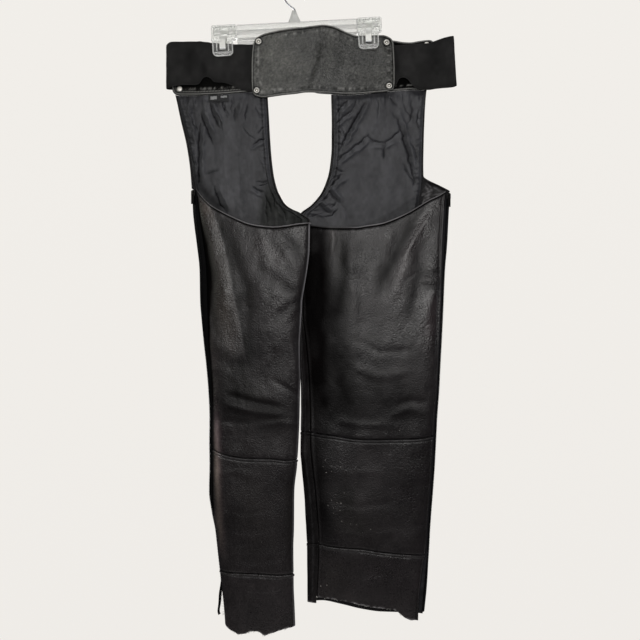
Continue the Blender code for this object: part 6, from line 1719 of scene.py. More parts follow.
belt_runs = []
belt_nodes = {}
for leg in ("L", "R"):
    rows_ = BAND_L if leg == "L" else BAND_R
    xs = np.linspace(rows_[0][0], rows_[-1][0], 130)
    vals = [BAND[leg].at(x) for x in xs]
    for layer, thick, seed in (("outer", BELT_LEATHER, 301), ("facing", FACING, 321)):
        table = [(x, v[layer], v["top"], v["bottom"]) for x, v in zip(xs, vals)]
        seed = seed + (7 if leg == "R" else 0)

        def face(ss, z, t, p, seed=seed, layer=layer):
            roll = 1.3 * np.clip(1 - ((t - 2.2) / 2.3) ** 2, 0, 1) ** 0.5
            groove = -0.8 * np.exp(-((t - 5.2) / 1.0) ** 2)
            pk = 0.9 * belt_pucker(ss, z, seed) * np.exp(-((t - 8.0) / 4.5) ** 2)
            soft = 0.35 * value_noise(ss / 26.0, z / 22.0, seed + 3)
            return (roll + groove + pk + soft) * smooth01(t / 0.8)

        # the plan runs to +X, so its left is the front side (+Y)
        if layer == "outer":
            obj, o, i, n, s, a = belt_wall("waist_leather_" + leg, table, thick, M_BELT, face, lambda ss, z, t, p: 0.0 * t,
                                             fields=edge_fields(seed))
            piece(obj, "belt_leather", "waistband_" + leg)
            for top in (True, False):
                belt_runs.append(path_inset(o, n, a, s, 5.2, 6.0, top, 1.0))
        else:
            obj, o, i, n, s, a = belt_wall("waist_facing_" + leg, table, thick, M_BELT, lambda ss, z, t, p: 0.0 * t, face,
                                             fields=edge_fields(seed, shade=True, marks=(2.5, 7.3, 13.2) if leg == "L" else (1.9, None, 9.0)))
            piece(obj, "belt_leather", "waistband_facing_" + leg)
            for top in (True, False):
                belt_runs.append(path_inset(i, n, a, s, 5.2, 6.0, top, -1.0))
        belt_nodes[(leg, layer)] = obj

for leg in ("L", "R"):
    table = np.array(catmull([r for r in (WEB_L if leg == "L" else WEB_R)], 10))
    if leg == "L":      # its seat side stands a little higher than its middle
        table[:, 2] += 3.6 * smooth01((table[:, 0] + 214) / 26.0) * smooth01((-52 - table[:, 0]) / 12.0) * (table[:, 1] < -1.0)
        table[:, 2] += 1.2 * smooth01((table[:, 0] + 262) / 6.0) * (table[:, 1] < -1.0) * smooth01((-170 - table[:, 0]) / 40.0)

    def web_face(ss, z, t, p, leg=leg):
        k = 351 if leg == "L" else 361
        soft = 0.75 * value_noise(ss / 24.0, z / 60.0, k) + 0.2 * value_noise(ss / 9.0, z / 9.0, k + 1)
        return np.clip(soft, -0.3, 0.7) * smooth01(t / 4.0) - 0.25 * np.exp(-((t - 3.0) / 0.6) ** 2) * (t < 6)

    # painted light and shade in broad bands across each elastic
    bands = ((-0.55, 6.0, 2, (192, 50), (191, 66), (192, 80)), (0.3, 16.0, 2, (220, 60), (224, 76)), (-0.4, 6.0, 2, (247, 50), (250, 84)),
             (-0.8, 3.0, 2, (206, 76), (204, 70), (203, 62))) if leg == "L" else \
            ((0.3, 7.0, 2, (404, 50), (406, 74)), (-0.6, 9.0, 2, (434, 46), (432, 80)), (0.25, 5.0, 2, (450, 44), (452, 76)),
             (-0.5, 3.0, 2, (396, 50), (397, 74)))

    def web_fields(ss, z, t, p, k=355 if leg == "L" else 365, bands=bands):
        # darker near the edges and lighter right on them, and random unevenness
        low = np.exp(-((t - 3.0) / 3.0) ** 2)
        wide = folds(px_of(p[..., 0]), py_of(z), bands)
        return {"tone": wide + 0.25 * value_noise(ss / 26.0, z / 70.0, k) + 0.2 * value_noise(ss / 8.0, z / 12.0, k + 1) - 0.3 * low,
                "wear": 0.10 * crest(t, 0.8, 0.8)}

    obj, o, i, n, s, a = belt_wall("web_" + leg, table, WEB, M_WEB, web_face, web_face, step=2.2, row_step=2.2, fields=web_fields)
    piece(obj, "elastic_web", "elastic_" + leg)
    belt_nodes[("web", leg)] = obj

# lumbar panel: two layers with a piped rim, a sewn channel round it and soft folds
LUMBAR_FOLDS = (
    (1.5, 3.6, 2, (324, 32), (325, 46), (323, 60), (317, 76), (313, 90)),
    (-1.6, 3.2, 2, (316, 44), (317, 56), (313, 70), (308, 84)),
    (-1.3, 3.2, 2, (333, 40), (334, 56), (330, 70), (327, 84)),
    (0.9, 6.0, 2, (262, 56), (280, 52), (300, 54)),
    (-0.9, 5.0, 2, (262, 74), (282, 78), (302, 74)),
    (0.9, 4.0, 2, (350, 50), (368, 54), (384, 52)),
    (-0.8, 4.0, 2, (346, 70), (366, 74), (386, 70)),
    (0.7, 2.2, 2, (336, 36), (342, 46), (352, 54)),
    (0.9, 1.6, 2, (259, 48), (264, 50), (270, 49)),
    (-0.9, 1.6, 2, (259, 76), (265, 77), (272, 82)),
    (0.9, 1.6, 2, (381, 46), (387, 50), (391, 50)),
    (-0.9, 1.6, 2, (380, 84), (386, 79), (391, 78)),
)
lum = catmull(LUMBAR_PANEL, 8)
lum_outline = np.concatenate([lum[:, [0, 1]], lum[::-1][:, [0, 2]]])
SNAP_AT = [(s_[1], s_[2]) for s_ in STUDS if s_[3] == "lumbar"]


def lumbar_face(x, z):
    t, along, total = distance_to(x, z, lum_outline, closed=True)
    px, py = px_of(x), py_of(z)
    hold = smooth01((t - 3.6) / 3.0)
    rim = 1.7 * np.clip(1 - ((t - 2.2) / 2.3) ** 2, 0, 1) ** 0.5
    out = rim - 0.8 * np.exp(-((t - 5.0) / 0.9) ** 2)
    out += -1.0 * np.exp(-((t - 9.6) / 1.1) ** 2)
    pk = value_noise(along / 4.6, t / 14.0, 371) + 0.6 * value_noise(along / 2.4, t / 12.0, 372)
    out += 1.15 * pk * np.exp(-((t - 10.0) / 4.0) ** 2)
    out += hold * (folds(px, py, LUMBAR_FOLDS) + 0.45 * value_noise(px / 12.0, py / 10.0, 373) + 0.22 * value_noise(px / 4.0, py / 3.6, 374))
    out += 0.7 * smooth01((t - 10) / 30.0)
    for sx, sz in SNAP_AT:
        d = np.hypot(x - sx, z - sz)
        w = smooth01((10.5 - d) / 4.5)
        out = out * (1 - w) + w * (-0.25) + 0.35 * np.exp(-((d - 9.0) / 1.8) ** 2)
    return out * smooth01(t / 0.7), t


fx = spaced(297.0, 2.0, (0.0, 0.25, 0.7, 1.5, 2.6, 3.9, 5.2, 7.0)) / 297.0
sl = np.concatenate([[0], np.cumsum(np.linalg.norm(np.diff(lum[:, [0, 3]], axis=0), axis=1))])
la = np.stack([np.interp(fx * sl[-1], sl, lum[:, c]) for c in range(4)], 1)
rows = spaced(140.0, 2.0, (0.0, 0.35, 0.9, 1.7, 2.7, 3.9, 5.2, 7.0, 9.4)) / 140.0
lz = la[None, :, 1] + (la[None, :, 2] - la[None, :, 1]) * rows[:, None]
lx = np.broadcast_to(la[None, :, 0], lz.shape)
ly = np.broadcast_to(la[None, :, 3], lz.shape)
even = np.interp(la[:, 0], (83.0, 112.0, 150.0, 190.0, 208.0), (-9.8, -9.3, -9.1, -9.4, -9.9))
below_clip = smooth01((-150.0 - lz) / 26.0) * ((lx > 83) & (lx < 208))
ly = ly + np.minimum(even[None, :] - ly, 0.0) * below_clip
lrelief, lt = lumbar_face(lx, lz)
lhalf = (LUMBAR / 2) * np.sqrt(np.clip(1 - np.clip(1 - lt / 1.7, 0, 1) ** 2, 0.05, 1))
seat_side = np.stack([lx, ly - lhalf - lrelief, lz], -1)
wall_side = np.stack([lx, ly + lhalf, lz], -1)
lum_x, lum_y = px_of(lx), py_of(lz)
_, l_along, _ = distance_to(lx, lz, lum_outline, closed=True)
lum_pk = value_noise(l_along / 4.6, lt / 14.0, 371) + 0.6 * value_noise(l_along / 2.4, lt / 12.0, 372)
# painted light over the panel's left part and along its folds, painted shade in its creases, in the groove inside the
# piping and in the pucker troughs, with grain and random unevenness
lum_tone = 0.33 + 0.62 * smooth01((330 - lum_x) / 40.0) + 0.34 * value_noise(lum_x / 9.0, lum_y / 8.0, 375) + 0.2 * value_noise(lum_x / 2.6, lum_y / 2.2, 376) + 0.85 * value_noise(lum_x / 1.2, lum_y / 1.1, 381)
lum_tone += folds(lum_x, lum_y, ((-0.85, 3.4, 2, (322, 34), (321, 56), (314, 72), (309, 88)), (0.65, 3.8, 2, (329, 34), (330, 60), (325, 84)), (-0.4, 4.0, 2, (337, 40), (337, 60), (333, 82)),
                                 (0.35, 12.0, 2, (268, 60), (300, 58)), (-0.4, 3.0, 2, (262, 79), (280, 82), (304, 78)),
                                 (-0.5, 3.5, 2, (258, 46), (262, 60), (259, 78))))
lum_tone += -2.2 * crest(lt, 4.4, 0.9) - 0.9 * np.clip(-lum_pk, 0, 1) * crest(lt, 9.6, 3.0)
patchy = np.clip(0.7 + 0.8 * value_noise(l_along / 21.0, lt / 30.0, 378), 0.28, 1.3)
# painted highlights on the piping's crest, on the puckers and in short strokes along the left and bottom edges, and
# fine light specks
lum_wear = 0.86 * crest(lt, 1.9, 0.85) * (0.72 + 0.12 * value_noise(l_along / 6.0, lt, 377) + 0.2 * np.sin(l_along * 2 * math.pi / 4.4)) + 0.60 * patchy * np.clip(lum_pk, 0, 1) * crest(lt, 11.5, 2.9)
lum_wear += 0.11 * np.clip(value_noise(lum_x / 1.1, lum_y / 1.0, 379), 0, 1)
lum_wear += folds(lum_x, lum_y, ((0.55, 0.8, 2, (258.6, 47.5), (258.4, 58.5)), (0.5, 0.8, 2, (258.5, 60.0), (258.6, 67.0)), (0.4, 0.8, 2, (258.4, 70.0), (258.6, 74.0)),
                                 (0.5, 0.9, 2, (259.6, 82.0), (262.6, 87.0)), (0.3, 0.6, 2, (264.0, 89.4), (269.0, 90.2)), (0.34, 0.6, 2, (271.0, 90.4), (276.5, 90.6)),
                                 (0.26, 0.6, 2, (279.0, 90.6), (283.5, 90.9)), (0.34, 0.6, 2, (286.0, 91.0), (292.0, 90.8)), (0.26, 0.6, 2, (294.5, 90.6), (300.5, 90.4))))
for sx, sz in SNAP_AT:
    # a painted shadow ring round each snap, and no painted highlight or scuff close to it
    lum_tone += -2.0 * np.exp(-((np.hypot(lx - sx, lz - sz) - 7.3) / 1.5) ** 2)
    lum_wear *= 1 - np.exp(-(np.hypot(lx - sx, lz - sz) / 8.2) ** 4)
lumbar = sheet_object("lumbar_leather", seat_side, wall_side, M_BELT, angle=80, tone=lum_tone, wear=np.clip(lum_wear, 0, 1))
piece(lumbar, "belt_leather", "lumbar_panel")


def seat_y(x, z):
    """Depth of the lumbar panel's seat-side face."""
    rel, t = lumbar_face(np.array([[float(x)]]), np.array([[float(z)]]))
    y = float(np.interp(x, la[:, 0], la[:, 3]))
    if 83 < x < 208:
        y += min(float(np.interp(x, la[:, 0], even)) - y, 0.0) * float(smooth01((-150.0 - z) / 26.0))
    return y - LUMBAR / 2 - float(rel[0, 0])


def inset_outline(depth, n=420):
    """The lumbar outline moved inwards by a depth."""
    pts = lum_outline
    d = np.roll(pts, -1, 0) - pts
    ln = np.linalg.norm(d, axis=1)
    pts, ln = pts[ln > 1e-6], ln[ln > 1e-6]
    s = np.concatenate([[0], np.cumsum(np.linalg.norm(np.diff(np.concatenate([pts, pts[:1]]), axis=0), axis=1))])
    ring = np.concatenate([pts, pts[:1]])
    q = np.linspace(0, s[-1], n, endpoint=False)
    p = np.stack([np.interp(q, s, ring[:, c]) for c in (0, 1)], 1)
    t = np.roll(p, -2, 0) - np.roll(p, 2, 0)
    t /= np.linalg.norm(t, axis=1)[:, None]
    nn = np.stack([-t[:, 1], t[:, 0]], 1)
    centre = p.mean(0)
    if np.mean(np.einsum("ij,ij->i", nn, centre - p)) < 0:
        nn = -nn
    r = p + nn * depth
    dist, _, _ = distance_to(r[:, 0], r[:, 1], lum_outline, closed=True)
    return r[abs(dist - depth) < 0.4]


ring_in = inset_outline(9.6)
ring_pts = np.array([(x, seat_y(x, z) - 0.05, z) for x, z in ring_in])
gaps = np.linalg.norm(np.diff(ring_pts, axis=0), axis=1)
start = 0
for k in list(np.where(gaps > 8)[0]) + [len(ring_pts) - 1]:
    if k - start > 3:
        seg = ring_pts[start:k + 1]
        belt_runs.append((seg, np.tile((0.0, -1.0, 0.0), (len(seg), 1))))
    start = k + 1
piece(stitches("belt_stitching", belt_runs, M_THREAD, pitch=3.6, length=2.7, radius=0.4), "belt_leather")

# size tag below the left waistband, with two small woven blocks
tag_x = np.linspace(-178, -136, 22)
tag_z = np.linspace(-234.9, -249.4, 9)
TX, TZ = np.meshgrid(tag_x, tag_z)
curl = 0.25 * np.sin((TX + 178) / 42 * 7.0) + 0.15 * value_noise(TX / 7, TZ / 5, 391)
curl = np.minimum(curl, 0.25) - 1.3 * smooth01((-240 - TZ) / 8) * 0.5
under = lining_grids["L"]
near = under[(under[..., 0] > -186) & (under[..., 0] < -128) & (under[..., 2] > -262)]
tag_y = min(-2.0, float(near[:, 1].min()) - 0.7) * np.ones(TX.shape)
tag_y = np.minimum(tag_y, -2.0)
tag_o = np.stack([TX, tag_y + curl - 0.25, TZ], -1)
tag_i = np.stack([TX, tag_y + curl + 0.25, TZ], -1)
tag = piece(sheet_object("size_tag", tag_o, tag_i, M_TAG), "label_cloth", "label_L")
mv, mf = [], []
for x0, x1, z0, z1 in ((-173.6, -160.6, -238.6, -245.4), (-152.4, -139.6, -237.6, -241.6)):
    nx, nz = 14, 5
    base = len(mv)
    for a_ in range(nz):
        for b_ in range(nx):
            x, z = x0 + (x1 - x0) * b_ / (nx - 1), z0 + (z1 - z0) * a_ / (nz - 1)
            z += (x - x0) * 0.10 + 0.35 * math.sin(x * 0.9 + a_ * 1.3)
            y = float(np.interp(x, tag_x, tag_o[int(np.argmin(abs(tag_z - z))), :, 1])) - 0.12
            mv.append((x, y, z))
    for a_ in range(nz - 1):
        for b_ in range(nx - 1):
            q = base + a_ * nx + b_
            mf.append((q, q + 1, q + nx + 1, q + nx))
marks = raw_object("size_tag_woven_blocks", mv, mf, M_MARK)
piece(marks, "label_cloth")


# --------------------------------------------------------------- snaps, rivets
def lathe(name, profile, place, face, mat, sides=40):
    V, F, rings = [], [], []
    for r, h in profile:
        if r == 0:
            rings.append([len(V)])
            V.append((place[0], place[1] + face * h, place[2]))
        else:
            rings.append(list(range(len(V), len(V) + sides)))
            V += [(place[0] + r * math.cos(2 * math.pi * k / sides), place[1] + face * h,
                   place[2] + r * math.sin(2 * math.pi * k / sides)) for k in range(sides)]
    for a, b in zip(rings, rings[1:]):
        for k in range(sides):
            k2 = (k + 1) % sides
            if len(a) == 1:
                F.append((a[0], b[k], b[k2]))
            elif len(b) == 1:
                F.append((a[k], a[k2], b[0]))
            else:
                F.append((a[k], a[k2], b[k2], b[k]))
    return raw_object(name, V, F, mat, angle=50)


SNAP_FINE = ((0, 0), (6.2, 0), (6.25, 0.35), (6.0, 0.95), (5.4, 1.55), (4.7, 1.95), (4.1, 2.05), (3.6, 1.9), (3.25, 1.45),
             (3.1, 0.95), (2.6, 0.72), (2.2, 0.8), (1.7, 1.15), (1.1, 1.25), (0.5, 1.2), (0, 1.18))
SNAP_GROOVE = ((3.2, 1.30), (3.08, 1.28), (2.6, 0.96), (2.25, 1.0), (1.95, 1.14), (1.85, 1.0))
RIVET_FINE = ((0, 0), (5.9, 0), (6.1, 0.3), (5.9, 0.9), (5.2, 1.45), (4.0, 1.85), (2.6, 2.05), (1.2, 2.12), (0, 2.13))
for name, x, z, on, face_ in STUDS:
    low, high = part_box(name)
    y = (high.y if face_ < 0 else low.y) / MM
    cap = lathe(name + "_cap", SNAP_FINE if on == "lumbar" else RIVET_FINE, (x, y, z), face_, M_NICKEL)
    piece(cap, "snap_nickel", name)
    if on == "lumbar":
        piece(lathe(name + "_groove", SNAP_GROOVE, (x, y, z), face_, M_DARK), "snap_nickel")

# --------------------------------------------------------------- front closure
strap = catmull(STRAP_PATH, 6)
strap_table = np.stack([strap[:, 0], strap[:, 1], np.full(len(strap), STRAP_Z + STRAP_WIDTH / 2), np.full(len(strap), STRAP_Z - STRAP_WIDTH / 2)], 1)


def strap_face(ss, z, t, p):
    edge = 0.35 * np.clip(1 - ((t - 1.4) / 1.5) ** 2, 0, 1) ** 0.5 - 0.3 * np.exp(-((t - 3.4) / 0.6) ** 2)
    soft = 0.18 * value_noise(ss / 9.0, z / 8.0, 401)
    holes = 0.0
    for hx in (-40, -26, 6, 40):
        d = np.hypot(p[..., 0] - hx, z - STRAP_Z)
        holes = holes - 0.9 * smooth01((2.4 - d) / 0.8) + 0.25 * np.exp(-((d - 3.1) / 0.6) ** 2)
    return (edge + soft) * smooth01(t / 0.7) + holes


obj, o, i, n, s, a = belt_wall("closure_strap", strap_table, STRAP, M_BELT, lambda ss, z, t, p: 0 * t, strap_face, step=1.2, row_step=1.2)
piece(obj, "belt_leather", "front_strap")
belt_nodes["strap"] = obj
closure_runs = [path_inset(i, n, a, s, 3.4, 4.0, True, -1.0), path_inset(i, n, a, s, 3.4, 4.0, False, -1.0)]
heel = BUCKLE_X[0]
arc = [(heel + TAB_R * math.cos(q), BUCKLE_Y[0] + TAB_R * math.sin(q)) for q in np.linspace(-math.pi / 2, math.pi / 2, 25)]
tab = [(heel - 38, BUCKLE_Y[0] - TAB_R), (heel - 18, BUCKLE_Y[0] - TAB_R)] + arc + [(heel - 14, BUCKLE_Y[0] + TAB_R), (heel - 27, BUCKLE_Y[0] + TAB_R)]
tab = np.array(tab)
tab_table = np.stack([tab[:, 0], tab[:, 1], np.full(len(tab), STRAP_Z + TAB_WIDTH / 2), np.full(len(tab), STRAP_Z - TAB_WIDTH / 2)], 1)
obj, o, i, n, s, a = belt_wall("closure_tab", tab_table, TAB, M_BELT, lambda ss, z, t, p: 0.1 * value_noise(ss / 6.0, z / 6.0, 411) * smooth01(t / 2),
                               lambda ss, z, t, p: 0 * t, step=1.0, row_step=1.2)
piece(obj, "belt_leather", "buckle_tab")
belt_nodes["tab"] = obj
piece(stitches("closure_stitching", closure_runs, M_THREAD, pitch=3.2, length=2.4, radius=0.34), "belt_leather")

# -------------------------------------------------------------------- hanger
turn = Matrix.Rotation(-BAR_TILT, 4, "Y")
TILT = Matrix.Translation(Vector(BAR_ORIGIN)) @ turn


def tilted(p):
    """Points in the tilted bar's own frame to the row frame, in millimetres."""
    p = np.asarray(p, float)
    m = np.array(TILT)
    return p @ m[:3, :3].T + m[:3, 3]


def masked_sheet(name, outer, inner, mask, mat, angle=40, rim=None):
    """A wall between two grids where the mask's cells are kept; its holes have sides."""
    n, m = outer.shape[:2]
    k = n * m
    verts = np.concatenate([outer.reshape(-1, 3), inner.reshape(-1, 3)])
    idx = lambda i, j: i * m + j
    faces = []
    for i in range(n - 1):
        for j in range(m - 1):
            if not mask[i, j]:
                continue
            a, b, c, d = idx(i, j), idx(i, j + 1), idx(i + 1, j + 1), idx(i + 1, j)
            faces += [(a, b, c, d), (d + k, c + k, b + k, a + k)]
            for (di, dj), (u, v) in (((-1, 0), (a, b)), ((0, 1), (b, c)), ((1, 0), (c, d)), ((0, -1), (d, a))):
                ii, jj = i + di, j + dj
                if ii < 0 or jj < 0 or ii >= n - 1 or jj >= m - 1 or not mask[ii, jj]:
                    faces.append((v, u, u + k, v + k))
    used = sorted({q for f in faces for q in f})
    remap = {q: r for r, q in enumerate(used)}
    obj = raw_object(name, [verts[q] for q in used], [tuple(remap[q] for q in f) for f in faces], mat, angle=angle)
    if rim is not None:
        both = np.concatenate([rim.reshape(-1), 0.45 * rim.reshape(-1)])
        set_fields(obj.data, {"rim": both[used]})
    return obj


def jaw_half_width(v):
    """Half width of a jaw at a level: wide grip, a step in, a rounded mouth."""
    if v > -2.0:
        return JAW_HALF[0] - 2.5 * (v + 2.0) / 2.6
    if v > -29.0:
        return JAW_HALF[0]
    if v > JAW_STEP:
        return JAW_HALF[0] + (JAW_HALF[1] - JAW_HALF[0]) * smooth01((-29.0 - v) / (-29.0 - JAW_STEP))
    low = JAW_END + JAW_ROUND
    if v > low:
        return JAW_HALF[1]
    q = min(1.0, (low - v) / JAW_ROUND)
    return JAW_HALF[1] - JAW_ROUND + JAW_ROUND * math.sqrt(max(0.0, 1 - q * q))


DIMPLES = [(u, v) for u in (-15.9, -9.3, 8.6, 15.3) for v in (-6.3, -11.9, -25.4)]
for leg, c in CLIPS.items():
    u0 = c["u"]
    half, thick, bridge, low = SPRING
    vs = np.unique(np.concatenate([np.arange(0.4, JAW_END + 9.0, -1.0), JAW_END + 9.0 - 9.0 * np.sin(np.linspace(0, math.pi / 2, 14)),
                                   [bridge - 3.2, bridge + 2.4, JAW_STEP, -29.0, -1.0]]))[::-1]
    hw = np.array([jaw_half_width(v) for v in vs])
    f = np.unique(np.concatenate([np.linspace(-1, 1, 53), [-0.985, 0.985, -0.96, 0.96]]))
    keep = np.sort(f)
    aside = {"L": -3.9, "R": -2.9}[leg]
    U = hw[:, None] * keep[None, :]
    V = np.repeat(vs[:, None], len(keep), 1)
    edge_poly = np.concatenate([np.stack([hw, vs], 1), np.stack([-hw, vs], 1)[::-1]])
    t, _, _ = distance_to(U, V, edge_poly, closed=True)
    mask = ~((abs(0.5 * (U[:-1, :-1] + U[1:, 1:])) < half + 0.5) & (V[:-1, :-1] < bridge + 2.5) & (V[1:, 1:] > bridge - 3.3))
    for which, out in (("seat", -1), ("front", 1)):
        depth = Track(c[which], ("v", "y"))
        inner_y = np.array([depth.at(v)["y"] for v in vs])
        rel = 0.75 * np.exp(-(np.maximum(t - 1.5, 0) / 0.7) ** 4) - 0.35 * np.exp(-((t - 3.4) / 1.0) ** 2)
        rel = rel * smooth01((0.5 - V) / 2.0)
        for ru in (-12.7, 12.3):
            rel += 0.7 * np.exp(-((U - ru) / 0.9) ** 4) * smooth01((-33.6 - V) / 1.2) * smooth01((V + 53.6) / 1.2)
        rel += 0.8 * np.exp(-((V + 56.6) / 0.9) ** 4) * (abs(U) < 19)
        rel += 0.55 * np.exp(-((V + 31.0) / 1.0) ** 4)
        rel += 0.45 * np.exp(-((V + 17.0) / 0.8) ** 4) * (abs(U) > 7.5) + 0.45 * np.exp(-((abs(U) - 21.2) / 0.7) ** 4) * (V > -29)
        for du, dv in DIMPLES:
            rel -= 1.1 * np.exp(-(np.hypot(U - du, V - dv) / 1.5) ** 4)
        rel -= 1.3 * np.exp(-((V + 6.0) / 1.6) ** 4) * np.exp(-(U / 5.8) ** 6)
        thin = JAW * np.ones_like(rel) + np.clip(rel, -1.5, 0.9)
        thin[t < 0.35] = JAW * 0.86
        yi = np.repeat(inner_y[:, None], U.shape[1], 1)
        yo = yi + out * thin
        tooth = 0.0
        set_off = smooth01((-25.0 - V) / 9.0)
        UU, VV = U * (1 - 0.035 * set_off) + u0 + aside * set_off, V - {"L": 0.4, "R": 1.9}[leg] * smooth01((-33.0 - V) / 24.0)
        o = tilted(np.stack([UU, yo, VV], -1).reshape(-1, 3)).reshape(U.shape + (3,))
        i = tilted(np.stack([UU, yi, VV], -1).reshape(-1, 3)).reshape(U.shape + (3,))
        # cloudier, paler rims, ribs, ledges and dimples, a paleness that also paints their highlights, the rims more so
        # over the mouth
        mouth = smooth01((-27.0 - V) / 6.0)
        cloud_and_painted_highlight = (0.45 + 0.55 * mouth) * np.exp(-(np.maximum(t - 1.6, 0) / 0.9) ** 2)
        for ru in (-12.7, 12.3):
            cloud_and_painted_highlight = np.maximum(cloud_and_painted_highlight, 0.85 * np.exp(-((U - ru) / 1.1) ** 2) * smooth01((-33.0 - V) / 1.2) * smooth01((V + 54.0) / 1.2))
        cloud_and_painted_highlight = np.maximum(cloud_and_painted_highlight, 0.7 * np.exp(-((V + 56.6) / 1.1) ** 2) * (abs(U) < 19))
        cloud_and_painted_highlight = np.maximum(cloud_and_painted_highlight, 0.55 * np.exp(-((V + 31.0) / 1.2) ** 2))
        cloud_and_painted_highlight = np.maximum(cloud_and_painted_highlight, 0.4 * np.exp(-((V + 17.0) / 1.0) ** 2) * (abs(U) > 7.5))
        for du, dv in DIMPLES:
            cloud_and_painted_highlight = np.maximum(cloud_and_painted_highlight, 0.9 * np.exp(-(np.hypot(U - du, V - dv) / 1.5) ** 2))
        j = masked_sheet("clip_jaw_%s_%s" % (leg, which), o, i, mask, M_CLEAR, angle=28, rim=np.clip(cloud_and_painted_highlight, 0, 1))
        piece(j, "hanger_clear", "clip_%s_%s" % (leg, which))

for name, mat, bevel in (("hanger_bar", M_BAR, 0.45), ("hanger_hook", M_STEEL, 0), ("buckle_frame", M_NICKEL, 0), ("zip_slider_L", M_ZIPMETAL, 0.2),
                         ("zip_slider_R", M_ZIPMETAL, 0.2), ("zip_pull_L", M_PULL, 0.25), ("zip_pull_R", M_PULL, 0.25)):
    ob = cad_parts[name]
    for k in range(len(ob.data.materials)):
        ob.data.materials[k] = mat
    if bevel:
        mod = ob.modifiers.new("edges", "BEVEL")
        mod.width, mod.segments, mod.limit_method, mod.angle_limit = bevel * MM, 2, "ANGLE", math.radians(35)
        mod.harden_normals = False

# springs: the strip's ends stand aside with the mouths and end in a rounded lip
for leg, c in CLIPS.items():
    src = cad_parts["clip_%s_spring" % leg]
    mesh = src.data.copy()
    mesh.name = "spring_strip_" + leg
    world = src.matrix_world.copy()
    aside = {"L": -3.9, "R": -2.9}[leg] * MM
    co = np.array([world @ v.co for v in mesh.vertices])
    top_z, low_z = co[:, 2].max(), co[:, 2].min()
    for v, p_ in zip(mesh.vertices, co):
        v.co = (p_[0] + aside * float(smooth01((top_z - p_[2]) / (top_z - low_z) * 3.0)) * 1.0, p_[1], p_[2])
    mesh.materials.clear()
    mesh.materials.append(M_SPRING)
    strip = bpy.data.objects.new("spring_strip_" + leg, mesh)
    scene.collection.objects.link(strip)
    mod = strip.modifiers.new("edges", "BEVEL")
    mod.width, mod.segments, mod.limit_method, mod.angle_limit = 0.25 * MM, 2, "ANGLE", math.radians(35)
    piece(strip, "hook_steel", "clip_%s_spring" % leg)
    now = np.array([v.co for v in mesh.vertices]) / MM
    tips = now[now[:, 2] < now[:, 2].min() + 3.0]
    xm, half_w = 0.5 * (tips[:, 0].min() + tips[:, 0].max()), 5.4
    y_seat, z_lip = now[:, 1].min(), {"L": -138.4, "R": -124.2}[leg]
    V, F = [], []
    for k in range(13):
        a_ = math.pi * 2 * k / 12
        for s_ in (-1, 1):
            V.append((xm + s_ * half_w, y_seat - 0.5 + 1.0 * math.cos(a_), z_lip + 1.5 * math.sin(a_)))
    for k in range(12):
        F.append((2 * k, 2 * k + 1, 2 * k + 3, 2 * k + 2))
    F += [tuple(range(0, 24, 2)), tuple(range(1, 25, 2))]
    piece(raw_object("spring_lip_" + leg, V[:24] + V[24:], F, M_LIP, angle=40), "hook_steel")

SCUFFS = ((299, 238, 1.5), (326, 459, 1.3), (340, 461, 1.1), (340, 466, 2.2), (331, 464.5, 1.2), (323, 466.5, 1.1), (331, 470, 1.0), (326, 472, 1.8),
          (355, 466.5, 1.3), (332, 498, 1.4), (341, 501, 2.2), (337, 502, 1.2), (333, 507, 1.3), (340, 509, 1.4), (341, 519, 1.9),
          (350, 522, 1.1), (357, 522, 1.2), (370, 527, 1.5), (320.6, 584, 1.7), (327, 584, 1.9), (399, 430, 1.6), (334, 512, 1.0),
          (344, 492, 1.0), (328, 503, 1.1), (238, 482, 1.0), (262, 540, 0.9), (381, 486, 0.9))
sv, sf = [], []
rng = np.random.RandomState(17)
for sx, sy, size in SCUFFS:
    best = None
    for o_, n_ in seat_grids:
        d_ = np.hypot(px_of(o_[..., 0]) - sx, py_of(o_[..., 2]) - sy)
        d_ = np.where(n_[..., 1] < -0.3, d_, 99.0)
        k_ = np.unravel_index(int(np.argmin(d_)), d_.shape)
        if best is None or d_[k_] < best[0]:
            best = (d_[k_], o_[k_], n_[k_])
    _, c_, nn_ = best
    t1_ = np.cross(nn_, (0, 0, 1.0))
    t1_ /= np.linalg.norm(t1_)
    t2_ = np.cross(nn_, t1_)
    base = len(sv)
    m_ = 9
    for ring_, r_ in ((0, 0.0), (1, 0.6), (2, 1.0)):
        for q_ in range(1 if ring_ == 0 else m_):
            a_ = 2 * math.pi * q_ / m_
            rr = r_ * size * (0.72 + 0.5 * rng.rand() if ring_ == 2 else 1.0)
            sv.append(c_ + t1_ * rr * math.cos(a_) + t2_ * rr * 0.8 * math.sin(a_) + nn_ * (0.16 if ring_ < 2 else -0.25))
    for q_ in range(m_):
        r2_ = (q_ + 1) % m_
        sf += [(base, base + 1 + q_, base + 1 + r2_), (base + 1 + q_, base + 1 + m_ + q_, base + 1 + m_ + r2_, base + 1 + r2_)]
piece(raw_object("finish_chips", sv, sf, M_RAW, angle=180), "leg_leather")

# raw edges: short pale fibres along the hems and beside the loose zip tail
fv, ff = [], []


def fibre(at, way, length, bend, r=0.28):
    way = np.asarray(way, float) / np.linalg.norm(way)
    side_ = np.cross(way, (0, 1.0, 0))
    base, m = len(fv), 5
    for k in range(m):
        q = k / (m - 1)
        c = np.asarray(at) + way * length * q + side_ * bend * q * q
        for e in ((r, 0, 0), (0, -r, 0), (-r * 0.7, r * 0.5, r * 0.5)):
            fv.append(c + np.array(e) * (1 - 0.5 * q))
    for k in range(m - 1):
        for e in range(3):
            a_, b_ = base + 3 * k + e, base + 3 * k + (e + 1) % 3
            ff.append((a_, b_, b_ + 3, a_ + 3))
    ff.extend([(base, base + 2, base + 1), (base + 3 * m - 3, base + 3 * m - 2, base + 3 * m - 1)])


